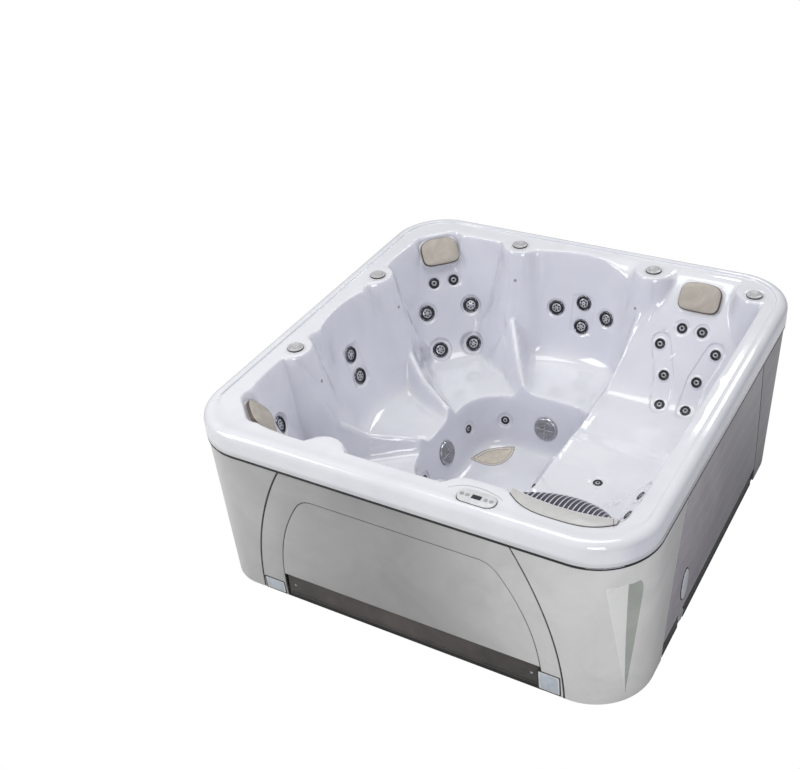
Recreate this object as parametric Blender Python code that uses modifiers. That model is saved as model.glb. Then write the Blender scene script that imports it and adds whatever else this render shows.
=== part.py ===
"""Hot tub with four seats, a lounger and a panelled cabinet. Metres, +Z up.

The front of the tub faces -Y, and the origin is on the ground under its middle.
"""
import math

import bmesh
import bpy
import numpy as np
from mathutils import Matrix, Vector
from mathutils.bvhtree import BVHTree

# Driving dimensions
WIDTH = 2.13
DEPTH = 2.20
HEIGHT = 0.95
RIM_CORNER_RADIUS = 0.28
RIM_ROLL = 0.038
SKIRT_DROP = 0.106
SHELL_THICKNESS = 0.009
SHELL_DROP_MAX = 0.055
CLEARANCE = 0.0003
CUT_OVERRUN = 0.004

# The lip: a raised outer band, a groove and the flat deck inside it
GROOVE_INSET = 0.059
DECK_STEP = 0.008
STEP_WIDTH = 0.012
LIP_WIDTH_LEFT = 0.128
LIP_WIDTH_RIGHT = 0.112
LIP_WIDTH_BACK = 0.124
LIP_WIDTH_FRONT = 0.130
EDGE_ROUND = 0.045
RIDGE_ROUND = 0.035

# Levels of the seats, the steps and the floor
FOOTWELL_LEVEL = 0.050
CORNER_SEAT_LEVEL = 0.325
BACK_SEAT_LEVEL = 0.360
LEFT_SEAT_LEVEL = 0.335
STEP_LEVEL = 0.420
UPPER_STEP_LEVEL = 0.680
LOUNGE_LEVEL = 0.405
KNEE_RISE = 0.035

# The size that the seats are laid out for: they stretch with the tub from there
LAYOUT_WIDTH = 2.13
LAYOUT_DEPTH = 2.20
LAYOUT_HEIGHT = 0.95
LAID_W = LAYOUT_WIDTH / 2
LAID_D = LAYOUT_DEPTH / 2
LAID_DECK_Z = LAYOUT_HEIGHT - DECK_STEP

HALF_W = WIDTH / 2
HALF_D = DEPTH / 2
DECK_Z = HEIGHT - DECK_STEP
TRIM_TOP = HEIGHT - SKIRT_DROP
DIAGONAL = math.sqrt(0.5)


# Smooth blends of heights

def blend_min(a, b, width):
    """Lower of two heights, rounded over the given height."""
    share = np.clip(0.5 + 0.5 * (b - a) / width, 0, 1)
    return b * (1 - share) + a * share - width * share * (1 - share)


def blend_max(a, b, width):
    """Higher of two heights, rounded over the given height."""
    return -blend_min(-a, -b, width)


def smooth_step(value):
    """Goes from 0 to 1 with level ends."""
    value = np.clip(value, 0, 1)
    return value * value * (3 - 2 * value)


def ramp(distance, slope, cove):
    """Level before zero and a slope after it, with a cove of the given width."""
    return slope * cove * np.logaddexp(0, distance / cove)


def rounded_box(x, y, half_x, half_y, radius):
    """Distance outside a rounded rectangle about the origin, negative inside."""
    qx = np.abs(x) - half_x + radius
    qy = np.abs(y) - half_y + radius
    outside = np.hypot(np.maximum(qx, 0), np.maximum(qy, 0))
    return np.minimum(np.maximum(qx, qy), 0) + outside - radius


# Walls of a seat

WALL_POWER = 6.0


def joined_rise(rises):
    """Rise of several walls together, with round corners between them."""
    total = sum(rise ** WALL_POWER for rise in rises)
    return total ** (1 / WALL_POWER)


def wall_to_edge(x, y, direction, edge, level, slope, cove, bow_radius=0.0, middle=0.0):
    """Rise of a wall that reaches the deck where a point lies edge along direction."""
    nx, ny = direction
    along = nx * x + ny * y
    across = -ny * x + nx * y - middle
    base = edge - (LAID_DECK_Z - level) / slope
    if bow_radius:
        base = base - across ** 2 / (2 * bow_radius)
    return ramp(along - base, slope, cove)


def side_of_line(x, y, start, end):
    """Distance to the left of the line from start to end."""
    dx, dy = end[0] - start[0], end[1] - start[1]
    length = math.hypot(dx, dy)
    return (-dy * (x - start[0]) + dx * (y - start[1])) / length


# Ridges between the seats: crest points as shares of half width, half depth and height

RIDGE_LEFT_BACK_SHARES = ((-0.806, 0.375, 0.80), (-0.735, 0.335, 0.60), (-0.60, 0.250, 0.470),
                          (-0.42, 0.148, 0.420), (-0.33, 0.118, 0.385))
RIDGE_BACK_LEFT_SHARES = ((-0.392, 0.800, 0.82), (-0.325, 0.705, 0.63), (-0.225, 0.565, 0.480),
                          (-0.135, 0.430, 0.425), (-0.100, 0.375, 0.390))
RIDGE_LEFT_FRONT_SHARES = ((-0.806, -0.370, 0.80), (-0.735, -0.330, 0.60), (-0.60, -0.245, 0.470),
                           (-0.42, -0.140, 0.420), (-0.33, -0.100, 0.385))
RIDGE_FRONT_SHARES = ((-0.440, -0.850, 0.93), (-0.355, -0.760, 0.74), (-0.200, -0.540, 0.545),
                      (-0.105, -0.365, 0.450), (-0.085, -0.310, 0.430))
RIDGE_STEP_SHARES = ((0.420, -0.850, 0.93), (0.380, -0.760, 0.72), (0.310, -0.600, 0.545),
                     (0.285, -0.450, 0.480), (0.280, -0.370, 0.460))
RIDGE_SIDE_SLOPE = 1.9
RIDGE_HALF_WIDTH = 0.006


def laid_out(point_shares):
    """A place of the layout, given as shares of its half width, half depth and height."""
    x, y, z = point_shares
    return Vector((x * LAID_W, y * LAID_D, z * LAYOUT_HEIGHT))


def ridge_height(x, y, crest_shares):
    """Height of a ridge that follows its crest points and falls off on both sides."""
    crest = [laid_out(point) for point in crest_shares]
    height = None
    for a, b in zip(crest, crest[1:]):
        run = (b.x - a.x, b.y - a.y)
        length2 = run[0] ** 2 + run[1] ** 2
        share = np.clip(((x - a.x) * run[0] + (y - a.y) * run[1]) / length2, 0, 1)
        away = np.hypot(x - a.x - share * run[0], y - a.y - share * run[1])
        soft = np.sqrt(away ** 2 + RIDGE_HALF_WIDTH ** 2) - RIDGE_HALF_WIDTH
        piece = a.z + share * (b.z - a.z) - RIDGE_SIDE_SLOPE * soft
        height = piece if height is None else np.maximum(height, piece)
    return height


# Pods: round widenings of the deck that carry the knobs and the control panel

POD_RADIUS = 0.105
POD_SLOPE = 4.2
POD_NOSE_LEFT = 0.222
POD_NOSE_BACK = 0.238
POD_NOSE_FRONT = 0.200
SIDE_KNOB_Y = 0.378
BACK_KNOB_X = 0.371
PANEL_POD_HALF = 0.075
CORNER_POD_RADIUS = 0.125
CORNER_POD_INSET = 0.150

PODS = (
    (-LAID_W + POD_NOSE_LEFT - POD_RADIUS, SIDE_KNOB_Y, 0.0, POD_RADIUS),
    (-LAID_W + POD_NOSE_LEFT - POD_RADIUS, -SIDE_KNOB_Y, 0.0, POD_RADIUS),
    (-BACK_KNOB_X, LAID_D - POD_NOSE_BACK + POD_RADIUS, 0.0, POD_RADIUS),
    (BACK_KNOB_X, LAID_D - POD_NOSE_BACK + POD_RADIUS, 0.0, POD_RADIUS),
    (-BACK_KNOB_X, -LAID_D + POD_NOSE_FRONT - POD_RADIUS, 0.0, POD_RADIUS),
    (BACK_KNOB_X, -LAID_D + POD_NOSE_FRONT - POD_RADIUS, PANEL_POD_HALF, POD_RADIUS),
    (LAID_W - CORNER_POD_INSET, LAID_D - CORNER_POD_INSET, 0.0, CORNER_POD_RADIUS),
)


def pod_height(x, y, pod):
    """A pod stands above the deck inside its outline and falls steeply outside it."""
    centre_x, centre_y, half_length, radius = pod
    away = np.hypot(np.maximum(np.abs(x - centre_x) - half_length, 0), y - centre_y)
    return LAID_DECK_Z + POD_SLOPE * (radius - away)


# The seats

COVE = 0.028
TIGHT_COVE = 0.018
SIDE_WALL_SLOPE = 4.5
CORNER_BACK_SLOPE = 2.1
CORNER_BACK_CUT = 0.305
CORNER_FRONT_SLOPE = 1.95
CORNER_FRONT_CUT = 0.325
RIDGE_WALL_SLOPE = 3.0
INNER_WALL_SLOPE = 3.0
BACK_SEAT_BOW = 0.58
LEFT_SEAT_BOW = 0.60
LEFT_SEAT_SLOPE = 3.0
LEFT_SEAT_REACH = 0.039
LEFT_LIP_SLOPE = 9.0
CORNER_SIDE_EDGE_LEFT = 0.141
CORNER_SIDE_EDGE_BACK = 0.160
BACK_SEAT_RIGHT_EDGE = 0.362
BACK_SEAT_RIGHT_SLOPE = 7.0


def ridge_line(crest_shares):
    """The two ends of a ridge in plan, from the lip to the footwell."""
    first = laid_out(crest_shares[0])
    last = laid_out(crest_shares[-2])
    return (first.x, first.y), (last.x, last.y)


def corner_seat(x, y, sign, left_ridge, right_ridge):
    """Corner seat at the left: sign 1 is at the back and -1 at the front."""
    level = CORNER_SEAT_LEVEL
    slope = CORNER_BACK_SLOPE if sign > 0 else CORNER_FRONT_SLOPE
    reach = (LAID_W + LAID_D) * DIAGONAL - (CORNER_BACK_CUT if sign > 0 else CORNER_FRONT_CUT)
    to_corner = (-DIAGONAL, sign * DIAGONAL)
    edge_y = LAID_D - (CORNER_SIDE_EDGE_BACK if sign > 0 else LIP_WIDTH_FRONT)
    rises = [
        wall_to_edge(x, y, to_corner, reach, level, slope, COVE),
        wall_to_edge(x, y, (-1, 0), LAID_W - CORNER_SIDE_EDGE_LEFT, level, SIDE_WALL_SLOPE, TIGHT_COVE),
        wall_to_edge(x, y, (0, sign), edge_y, level, SIDE_WALL_SLOPE, TIGHT_COVE),
        ramp(-sign * side_of_line(x, y, *left_ridge), RIDGE_WALL_SLOPE, TIGHT_COVE),
        ramp(sign * side_of_line(x, y, *right_ridge), RIDGE_WALL_SLOPE, TIGHT_COVE),
        ramp((x - sign * y) * DIAGONAL, INNER_WALL_SLOPE, TIGHT_COVE),
    ]
    return level + joined_rise(rises)


def back_seat(x, y):
    """Middle seat at the back, with a wall that is bowed in plan."""
    level = BACK_SEAT_LEVEL
    left = ridge_line(RIDGE_BACK_LEFT_SHARES)
    rises = [
        wall_to_edge(x, y, (0, 1), LAID_D - LIP_WIDTH_BACK, level, SIDE_WALL_SLOPE, COVE, BACK_SEAT_BOW),
        ramp(-side_of_line(x, y, *left), RIDGE_WALL_SLOPE, TIGHT_COVE),
        wall_to_edge(x, y, (1, 0), BACK_SEAT_RIGHT_EDGE, level, BACK_SEAT_RIGHT_SLOPE, TIGHT_COVE),
        ramp(-y, INNER_WALL_SLOPE, TIGHT_COVE),
    ]
    return level + joined_rise(rises)


def left_seat(x, y):
    """Middle seat at the left, with a wall that is bowed in plan."""
    level = LEFT_SEAT_LEVEL
    back = ridge_line(RIDGE_LEFT_BACK_SHARES)
    front = ridge_line(RIDGE_LEFT_FRONT_SHARES)
    rises = [
        wall_to_edge(x, y, (-1, 0), LAID_W - LIP_WIDTH_LEFT + LEFT_SEAT_REACH, level,
                     LEFT_SEAT_SLOPE, COVE, LEFT_SEAT_BOW),
        wall_to_edge(x, y, (-1, 0), LAID_W - LIP_WIDTH_LEFT, level, LEFT_LIP_SLOPE, COVE, LEFT_SEAT_BOW),
        ramp(side_of_line(x, y, *back), RIDGE_WALL_SLOPE, TIGHT_COVE),
        ramp(-side_of_line(x, y, *front), RIDGE_WALL_SLOPE, TIGHT_COVE),
        ramp(x, INNER_WALL_SLOPE, TIGHT_COVE),
    ]
    return level + joined_rise(rises)


STEP_RISER_Y = 0.660
STEP_RISER_SLOPE = 3.0
UPPER_STEP_INNER_Y = 0.480


def entry_steps(x, y):
    """Step and upper step at the front, between the front ridge and the step ridge."""
    left = ridge_line(RIDGE_FRONT_SHARES)
    right = ridge_line(RIDGE_STEP_SHARES)
    sides = [
        ramp(side_of_line(x, y, *left), RIDGE_WALL_SLOPE, TIGHT_COVE),
        ramp(-side_of_line(x, y, *right), RIDGE_WALL_SLOPE, TIGHT_COVE),
    ]
    riser = ramp(-y - STEP_RISER_Y, STEP_RISER_SLOPE, TIGHT_COVE)
    inner = ramp(y, INNER_WALL_SLOPE, TIGHT_COVE)
    lower = STEP_LEVEL + joined_rise(sides + [riser, inner])
    front = wall_to_edge(x, y, (0, -1), LAID_D - LIP_WIDTH_FRONT, UPPER_STEP_LEVEL,
                         SIDE_WALL_SLOPE, TIGHT_COVE)
    upper_inner = ramp(y + UPPER_STEP_INNER_Y, INNER_WALL_SLOPE, TIGHT_COVE)
    upper = UPPER_STEP_LEVEL + joined_rise(sides + [front, upper_inner])
    return blend_min(lower, upper, RIDGE_ROUND)


LOUNGE_BACK_Y = 0.570
LOUNGE_BACK_SLOPE = 1.50
LOUNGE_TOP_SLOPE = 1.0
LOUNGE_TOP_Y = 0.840
LOUNGE_COVE = 0.022
LOUNGE_RIGHT_SLOPE = 12.0
LOUNGE_LEFT_X = 0.250
KNEE_START_Y = 0.240
KNEE_RUN = 0.160
FOOT_SIDE_X = 0.600
FOOT_SIDE_SLOPE = 1.2
FOOT_SIDE_START_Y = 0.200
FOOT_SIDE_RUN = 0.220
FOOT_WALL_Y = 0.565
FOOT_WALL_SLOPE = 2.1


def lounger(x, y):
    """Long seat at the right: sloped back, knee rise, leg trough and foot wall."""
    knee = KNEE_RISE * smooth_step((KNEE_START_Y - y) / KNEE_RUN)
    level = LOUNGE_LEVEL + knee
    back = ramp(y - LOUNGE_BACK_Y, LOUNGE_BACK_SLOPE, LOUNGE_COVE)
    top_rise = LOUNGE_BACK_SLOPE * (LOUNGE_TOP_Y - LOUNGE_BACK_Y)
    top = top_rise + LOUNGE_TOP_SLOPE * (y - LOUNGE_TOP_Y)
    back = blend_min(back, np.maximum(top, 0), RIDGE_ROUND)
    left = ridge_line(RIDGE_STEP_SHARES)
    foot_share = smooth_step((-y - FOOT_SIDE_START_Y) / FOOT_SIDE_RUN)
    rises = [
        np.maximum(back, 0),
        wall_to_edge(x, y, (1, 0), LAID_W - LIP_WIDTH_RIGHT, LOUNGE_LEVEL, LOUNGE_RIGHT_SLOPE, TIGHT_COVE),
        ramp(LOUNGE_LEFT_X - x, INNER_WALL_SLOPE, TIGHT_COVE),
        ramp(side_of_line(x, y, *left), RIDGE_WALL_SLOPE, TIGHT_COVE),
        ramp(x - FOOT_SIDE_X, FOOT_SIDE_SLOPE, COVE) * foot_share,
        ramp(-y - FOOT_WALL_Y, FOOT_WALL_SLOPE, TIGHT_COVE),
    ]
    return level + joined_rise(rises)


# The filter well at the front right, which keeps its own size

WELL_SIDE_INSET = 0.375
WELL_FRONT_INSET = 0.305
WELL_DEPTH = 0.522
WELL_X = HALF_W - WELL_SIDE_INSET
WELL_Y = WELL_FRONT_INSET - HALF_D
WELL_HALF_X = 0.180
WELL_HALF_Y = 0.085
WELL_RADIUS = 0.035
WELL_SLOPE = 8.0


def filter_well(x, y):
    """Deep pocket for the filter, behind its grille."""
    away = rounded_box(x - WELL_X, y - WELL_Y, WELL_HALF_X, WELL_HALF_Y, WELL_RADIUS)
    return DECK_Z - WELL_DEPTH + ramp(away, WELL_SLOPE, TIGHT_COVE / 3)


# The footwell

FOOTWELL_LEFT = 0.337
FOOTWELL_RIGHT = 0.190
FOOTWELL_BACK = 0.385
FOOTWELL_FRONT = 0.337
FOOTWELL_ROUND = 0.155
FOOTWELL_CORNER = 0.050
FOOTWELL_SLOPE = 4.5
MOUND_X = 0.238
MOUND_Y = 0.016
MOUND_TOP = 0.400
MOUND_SLOPE = 2.0


def footwell(x, y):
    """Deep middle with a round left end and a foot mound at its right wall."""
    half_x = (FOOTWELL_LEFT + FOOTWELL_RIGHT) / 2
    half_y = (FOOTWELL_BACK + FOOTWELL_FRONT) / 2
    own_x = x - (FOOTWELL_RIGHT - FOOTWELL_LEFT) / 2
    own_y = y - (FOOTWELL_BACK - FOOTWELL_FRONT) / 2
    round_end = rounded_box(own_x, own_y, half_x, half_y, FOOTWELL_ROUND)
    square_end = rounded_box(own_x, own_y, half_x, half_y, FOOTWELL_CORNER)
    away = np.where(own_x < 0, round_end, square_end)
    well = FOOTWELL_LEVEL + ramp(away, FOOTWELL_SLOPE, TIGHT_COVE)
    mound = MOUND_TOP - MOUND_SLOPE * np.hypot(x - MOUND_X, y - MOUND_Y)
    return blend_max(well, mound, RIDGE_ROUND)


# Headrest recesses: place shares, turn of the facing direction and tilt

HEADREST_WIDTH = 0.208
HEADREST_HEIGHT = 0.150
HEADREST_THICKNESS = 0.034
HEADREST_CORNER = 0.045
HEADREST_MARGIN = 0.008
RECESS_SLOPE = 4.0
HEADREST_TILT = math.radians(48)
HEADRESTS = (
    ("back_left", (-0.764, 0.767, 0.908), math.radians(135)),
    ("front_left", (-0.764, -0.767, 0.908), math.radians(225)),
    ("lounge", (0.594, 0.815, 0.912), math.radians(90)),
)


def scaled(point_shares):
    """A place given as shares of half width, half depth and height."""
    x, y, z = point_shares
    return Vector((x * HALF_W, y * HALF_D, z * HEIGHT))


def headrest_recess(x, y, centre_shares, turn):
    """Flat tilted bed with steep sides that a headrest lies in."""
    centre = scaled(centre_shares)
    out_x, out_y = math.cos(turn), math.sin(turn)
    up = (x - centre.x) * out_x + (y - centre.y) * out_y
    across = -(x - centre.x) * out_y + (y - centre.y) * out_x
    half_up = (HEADREST_HEIGHT / 2 + HEADREST_MARGIN) * math.cos(HEADREST_TILT)
    half_across = HEADREST_WIDTH / 2 + HEADREST_MARGIN
    away = rounded_box(across, up, half_across, half_up, HEADREST_CORNER)
    return centre.z + up * math.tan(HEADREST_TILT) + ramp(away, RECESS_SLOPE, TIGHT_COVE / 3)


def rim_distance(x, y):
    """Distance inwards from the outer edge of the rim."""
    return -rounded_box(x, y, HALF_W, HALF_D, RIM_CORNER_RADIUS)


def deck_height(x, y):
    """Top of the lip: the raised outer band and the lower deck."""
    inset = rim_distance(x, y)
    return HEIGHT - DECK_STEP * smooth_step((inset - GROOVE_INSET + STEP_WIDTH / 2) / STEP_WIDTH)


def seats(x, y):
    """Height of the seats, the steps, the ridges and the pods of the layout."""
    left_back = ridge_line(RIDGE_LEFT_BACK_SHARES)
    back_left = ridge_line(RIDGE_BACK_LEFT_SHARES)
    left_front = ridge_line(RIDGE_LEFT_FRONT_SHARES)
    front = ridge_line(RIDGE_FRONT_SHARES)
    height = corner_seat(x, y, 1, left_back, back_left)
    for other in (corner_seat(x, y, -1, left_front, front), back_seat(x, y), left_seat(x, y),
                  entry_steps(x, y), lounger(x, y)):
        height = blend_min(height, other, RIDGE_ROUND)
    for crest in (RIDGE_LEFT_BACK_SHARES, RIDGE_BACK_LEFT_SHARES, RIDGE_LEFT_FRONT_SHARES,
                  RIDGE_FRONT_SHARES, RIDGE_STEP_SHARES):
        height = blend_max(height, ridge_height(x, y, crest), RIDGE_ROUND)
    for pod in PODS:
        height = blend_max(height, pod_height(x, y, pod), RIDGE_ROUND)
    return height


def stretched(form, x, y):
    """Height of a form of the layout in a tub of the real size."""
    height = form(x * LAYOUT_WIDTH / WIDTH, y * LAYOUT_DEPTH / DEPTH)
    return height * HEIGHT / LAYOUT_HEIGHT


def shell_height(x, y):
    """Height of the shell's bathing side over a point of the plan."""
    height = stretched(seats, x, y)
    for _, place_shares, turn in HEADRESTS:
        height = blend_min(height, headrest_recess(x, y, place_shares, turn), RIDGE_ROUND / 3)
    height = blend_min(height, filter_well(x, y), RIDGE_ROUND)
    height = blend_min(height, stretched(footwell, x, y), RIDGE_ROUND)
    return blend_min(height, deck_height(x, y), EDGE_ROUND)


# The scene and its collections

MERGE_DISTANCE = 0.00001


def new_collection(name):
    """Collection linked to the scene."""
    collection = bpy.data.collections.new(name)
    bpy.context.scene.collection.children.link(collection)
    return collection


for old in list(bpy.data.objects):
    bpy.data.objects.remove(old)
PARTS = new_collection("hot_tub")
CUTTERS = new_collection("cutters")


def paint(obj, colour, roughness, metallic=0.0):
    """Gives an object its own plain material."""
    material = bpy.data.materials.new(obj.name)
    material.use_nodes = True
    shader = material.node_tree.nodes["Principled BSDF"]
    shader.inputs["Base Color"].default_value = (*colour, 1.0)
    shader.inputs["Roughness"].default_value = roughness
    shader.inputs["Metallic"].default_value = metallic
    obj.data.materials.clear()
    obj.data.materials.append(material)
    return obj


ACRYLIC = ((0.80, 0.80, 0.86), 0.15)
SILVER_PANEL = ((0.62, 0.62, 0.61), 0.35)
GREY_PANEL = ((0.36, 0.34, 0.36), 0.45)
DARK_PLASTIC = ((0.05, 0.045, 0.045), 0.5)
CHROME = ((0.70, 0.72, 0.75), 0.15, 1.0)
CHARCOAL = ((0.10, 0.11, 0.13), 0.4)
PILLOW = ((0.45, 0.40, 0.34), 0.6)
WARM_GREY = ((0.55, 0.51, 0.46), 0.4)
PIPE_WHITE = ((0.80, 0.80, 0.78), 0.4)
FRAME_STEEL = ((0.45, 0.46, 0.48), 0.4, 0.8)
MOTOR_BLUE = ((0.05, 0.09, 0.16), 0.4)
FILTER_PAPER = ((0.85, 0.86, 0.88), 0.8)


# Solids

def as_mesh(obj):
    """The same object as a plain mesh, with its modifiers applied and its points welded."""
    graph = bpy.context.evaluated_depsgraph_get()
    mesh = bpy.data.meshes.new_from_object(obj.evaluated_get(graph))
    built = bmesh.new()
    built.from_mesh(mesh)
    bmesh.ops.remove_doubles(built, verts=built.verts, dist=MERGE_DISTANCE)
    built.to_mesh(mesh)
    built.free()
    name = obj.name
    matrix = obj.matrix_world.copy()
    bpy.data.objects.remove(obj)
    result = bpy.data.objects.new(name, mesh)
    PARTS.objects.link(result)
    result.matrix_world = matrix
    return result


def from_bmesh(name, built, matrix=None):
    """New part from a bmesh, which is freed."""
    mesh = bpy.data.meshes.new(name)
    built.to_mesh(mesh)
    built.free()
    obj = bpy.data.objects.new(name, mesh)
    PARTS.objects.link(obj)
    if matrix is not None:
        obj.matrix_world = matrix
    return obj


def turned(name, profile, sides, matrix=None):
    """Solid of revolution about Z: its profile runs from the top down the outer side."""
    mesh = bpy.data.meshes.new(name)
    points = [(radius, 0, height) for radius, height in profile]
    mesh.from_pydata(points, [(i, i + 1) for i in range(len(points) - 1)], [])
    obj = bpy.data.objects.new(name, mesh)
    PARTS.objects.link(obj)
    screw = obj.modifiers.new("Turn", "SCREW")
    screw.steps = sides
    screw.render_steps = sides
    screw.use_merge_vertices = True
    screw.merge_threshold = MERGE_DISTANCE
    if matrix is not None:
        obj.matrix_world = matrix
    return as_mesh(obj)


def plate(name, loops, thickness, matrix=None):
    """Flat plate centred on its own XY plane: an outline and then its holes."""
    curve = bpy.data.curves.new(name, "CURVE")
    curve.dimensions = "2D"
    curve.fill_mode = "BOTH"
    curve.extrude = thickness / 2
    for loop in loops:
        spline = curve.splines.new("POLY")
        spline.points.add(len(loop) - 1)
        for point, (x, y) in zip(spline.points, loop):
            point.co = (x, y, 0, 1)
        spline.use_cyclic_u = True
    obj = bpy.data.objects.new(name, curve)
    PARTS.objects.link(obj)
    if matrix is not None:
        obj.matrix_world = matrix
    return as_mesh(obj)


def block(name, size, matrix, bevel=0.0):
    """Box centred on its matrix, with bevelled edges where a bevel is given."""
    built = bmesh.new()
    bmesh.ops.create_cube(built, size=1, matrix=Matrix.Diagonal((*size, 1)))
    obj = from_bmesh(name, built, matrix)
    if bevel:
        modifier = obj.modifiers.new("Edges", "BEVEL")
        modifier.width = bevel
        modifier.segments = 1
        obj = as_mesh(obj)
    return obj


def tube(name, points, radius, resolution=1):
    """Pipe with filled ends along straight runs between points."""
    curve = bpy.data.curves.new(name, "CURVE")
    curve.dimensions = "3D"
    curve.bevel_depth = radius
    curve.bevel_resolution = resolution
    curve.use_fill_caps = True
    spline = curve.splines.new("POLY")
    spline.points.add(len(points) - 1)
    for point, place in zip(spline.points, points):
        point.co = (*place, 1)
    obj = bpy.data.objects.new(name, curve)
    PARTS.objects.link(obj)
    return as_mesh(obj)


def combine(base, others, operation):
    """Boolean of the base with other solids, which are used up."""
    for other in others:
        modifier = base.modifiers.new("Combine", "BOOLEAN")
        modifier.operation = operation
        modifier.solver = "EXACT"
        modifier.object = other
    result = as_mesh(base)
    for other in others:
        bpy.data.objects.remove(other)
    return result


def add_cylinder(built, radius, low, high, sides, matrix):
    """Adds a closed cylinder along the matrix's Z axis to a bmesh, with a corner on its X axis."""
    middle = Matrix.Translation((0, 0, (low + high) / 2)) @ Matrix.Rotation(-math.pi / 2, 4, "Z")
    bmesh.ops.create_cone(built, cap_ends=True, segments=sides, radius1=radius, radius2=radius,
                          depth=high - low, matrix=matrix @ middle)


def at(x, y, z):
    """Translation matrix."""
    return Matrix.Translation((x, y, z))


def along(origin, x_axis, y_axis, z_axis):
    """Matrix with the given axes and origin."""
    matrix = Matrix((x_axis, y_axis, z_axis)).transposed().to_4x4()
    matrix.translation = origin
    return matrix


def rounded_loop(half_x, half_y, radius, segments):
    """Outline of a rounded rectangle about the origin."""
    points = []
    for corner, (sign_x, sign_y) in enumerate(((1, 1), (-1, 1), (-1, -1), (1, -1))):
        for step in range(segments + 1):
            angle = (corner + step / segments) * math.pi / 2
            points.append((sign_x * (half_x - radius) + radius * math.cos(angle),
                           sign_y * (half_y - radius) + radius * math.sin(angle)))
    return points


def shifted(loop, x, y):
    """The same outline moved in its plane."""
    return [(px + x, py + y) for px, py in loop]


# The shell as an open sheet, fine at first and then thinned out

SHEET_COLUMNS = 176
SHEET_ROWS = 62
SHEET_SAMPLES = 480
SHEET_FACES = 2100
ROLL_STEPS = 4
LOOP_SEGMENTS = 64
SHEET_CENTRE_SHARES = (-0.056, 0.027)
BEND_WEIGHT = 0.10
SLOPE_STEP = 0.0005


def height_at(x, y):
    """Height of the bathing side over one point."""
    return float(shell_height(np.array([x]), np.array([y]))[0])


def slope_at(x, y):
    """Slope of the bathing side along X and Y."""
    slope_x = (shell_height(x + SLOPE_STEP, y) - shell_height(x - SLOPE_STEP, y)) / (2 * SLOPE_STEP)
    slope_y = (shell_height(x, y + SLOPE_STEP) - shell_height(x, y - SLOPE_STEP)) / (2 * SLOPE_STEP)
    return slope_x, slope_y


def outward(x, y):
    """Unit direction from a point to the nearest point of the rim."""
    qx = np.abs(x) - HALF_W + RIM_CORNER_RADIUS
    qy = np.abs(y) - HALF_D + RIM_CORNER_RADIUS
    in_corner = (qx > 0) & (qy > 0)
    length = np.where(in_corner, np.hypot(qx, qy), 1)
    nx = np.where(in_corner, qx / length, np.where(qx > qy, 1.0, 0.0))
    ny = np.where(in_corner, qy / length, np.where(qx > qy, 0.0, 1.0))
    return nx * np.sign(x), ny * np.sign(y)


def rim_places():
    """Points evenly spaced along the outer edge of the rim."""
    loop = np.array(rounded_loop(HALF_W, HALF_D, RIM_CORNER_RADIUS, LOOP_SEGMENTS))
    closed = np.vstack([loop, loop[:1]])
    lengths = np.hypot(*np.diff(closed, axis=0).T)
    travel = np.concatenate([[0], np.cumsum(lengths)])
    wanted = np.linspace(0, travel[-1], SHEET_COLUMNS, endpoint=False)
    return np.interp(wanted, travel, closed[:, 0]), np.interp(wanted, travel, closed[:, 1])


def radial_rows(start_x, start_y):
    """Points from the rolled edge to the middle, closer where the shell bends."""
    centre_x = SHEET_CENTRE_SHARES[0] * HALF_W
    centre_y = SHEET_CENTRE_SHARES[1] * HALF_D
    share = np.linspace(0, 1, SHEET_SAMPLES)
    x = start_x[:, None] + (centre_x - start_x)[:, None] * share
    y = start_y[:, None] + (centre_y - start_y)[:, None] * share
    z = shell_height(x, y)
    run = np.hypot(np.diff(x), np.diff(y))
    rise = np.diff(z)
    bend = np.abs(np.diff(np.arctan2(rise, run)))
    weight = np.hypot(run, rise)
    weight[:, 1:] += BEND_WEIGHT * bend
    travel = np.concatenate([np.zeros((len(x), 1)), np.cumsum(weight, axis=1)], axis=1)
    rows = []
    for i in range(len(x)):
        wanted = np.linspace(0, travel[i, -1], SHEET_ROWS + 1)[1:-1]
        chosen = np.interp(wanted, travel[i], share)
        px = start_x[i] + (centre_x - start_x[i]) * chosen
        py = start_y[i] + (centre_y - start_y[i]) * chosen
        rows.append(np.stack([px, py], axis=-1))
    plan = np.array(rows)
    heights = shell_height(plan[..., 0], plan[..., 1])
    return np.concatenate([plan, heights[..., None]], axis=-1)


def sheet_points():
    """Columns of points from the skirt's lower edge, over the roll, to the middle."""
    x, y = rim_places()
    nx, ny = outward(x, y)
    rings = [np.stack([x, y, np.full_like(x, TRIM_TOP)], axis=-1)]
    for step in range(ROLL_STEPS + 1):
        angle = step / ROLL_STEPS * math.pi / 2
        inset = RIM_ROLL * (1 - math.cos(angle))
        height = HEIGHT - RIM_ROLL + RIM_ROLL * math.sin(angle)
        rings.append(np.stack([x - nx * inset, y - ny * inset, np.full_like(x, height)], axis=-1))
    inner = radial_rows(rings[-1][:, 0], rings[-1][:, 1])
    return np.concatenate([np.stack(rings, axis=1), inner], axis=1)


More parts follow.
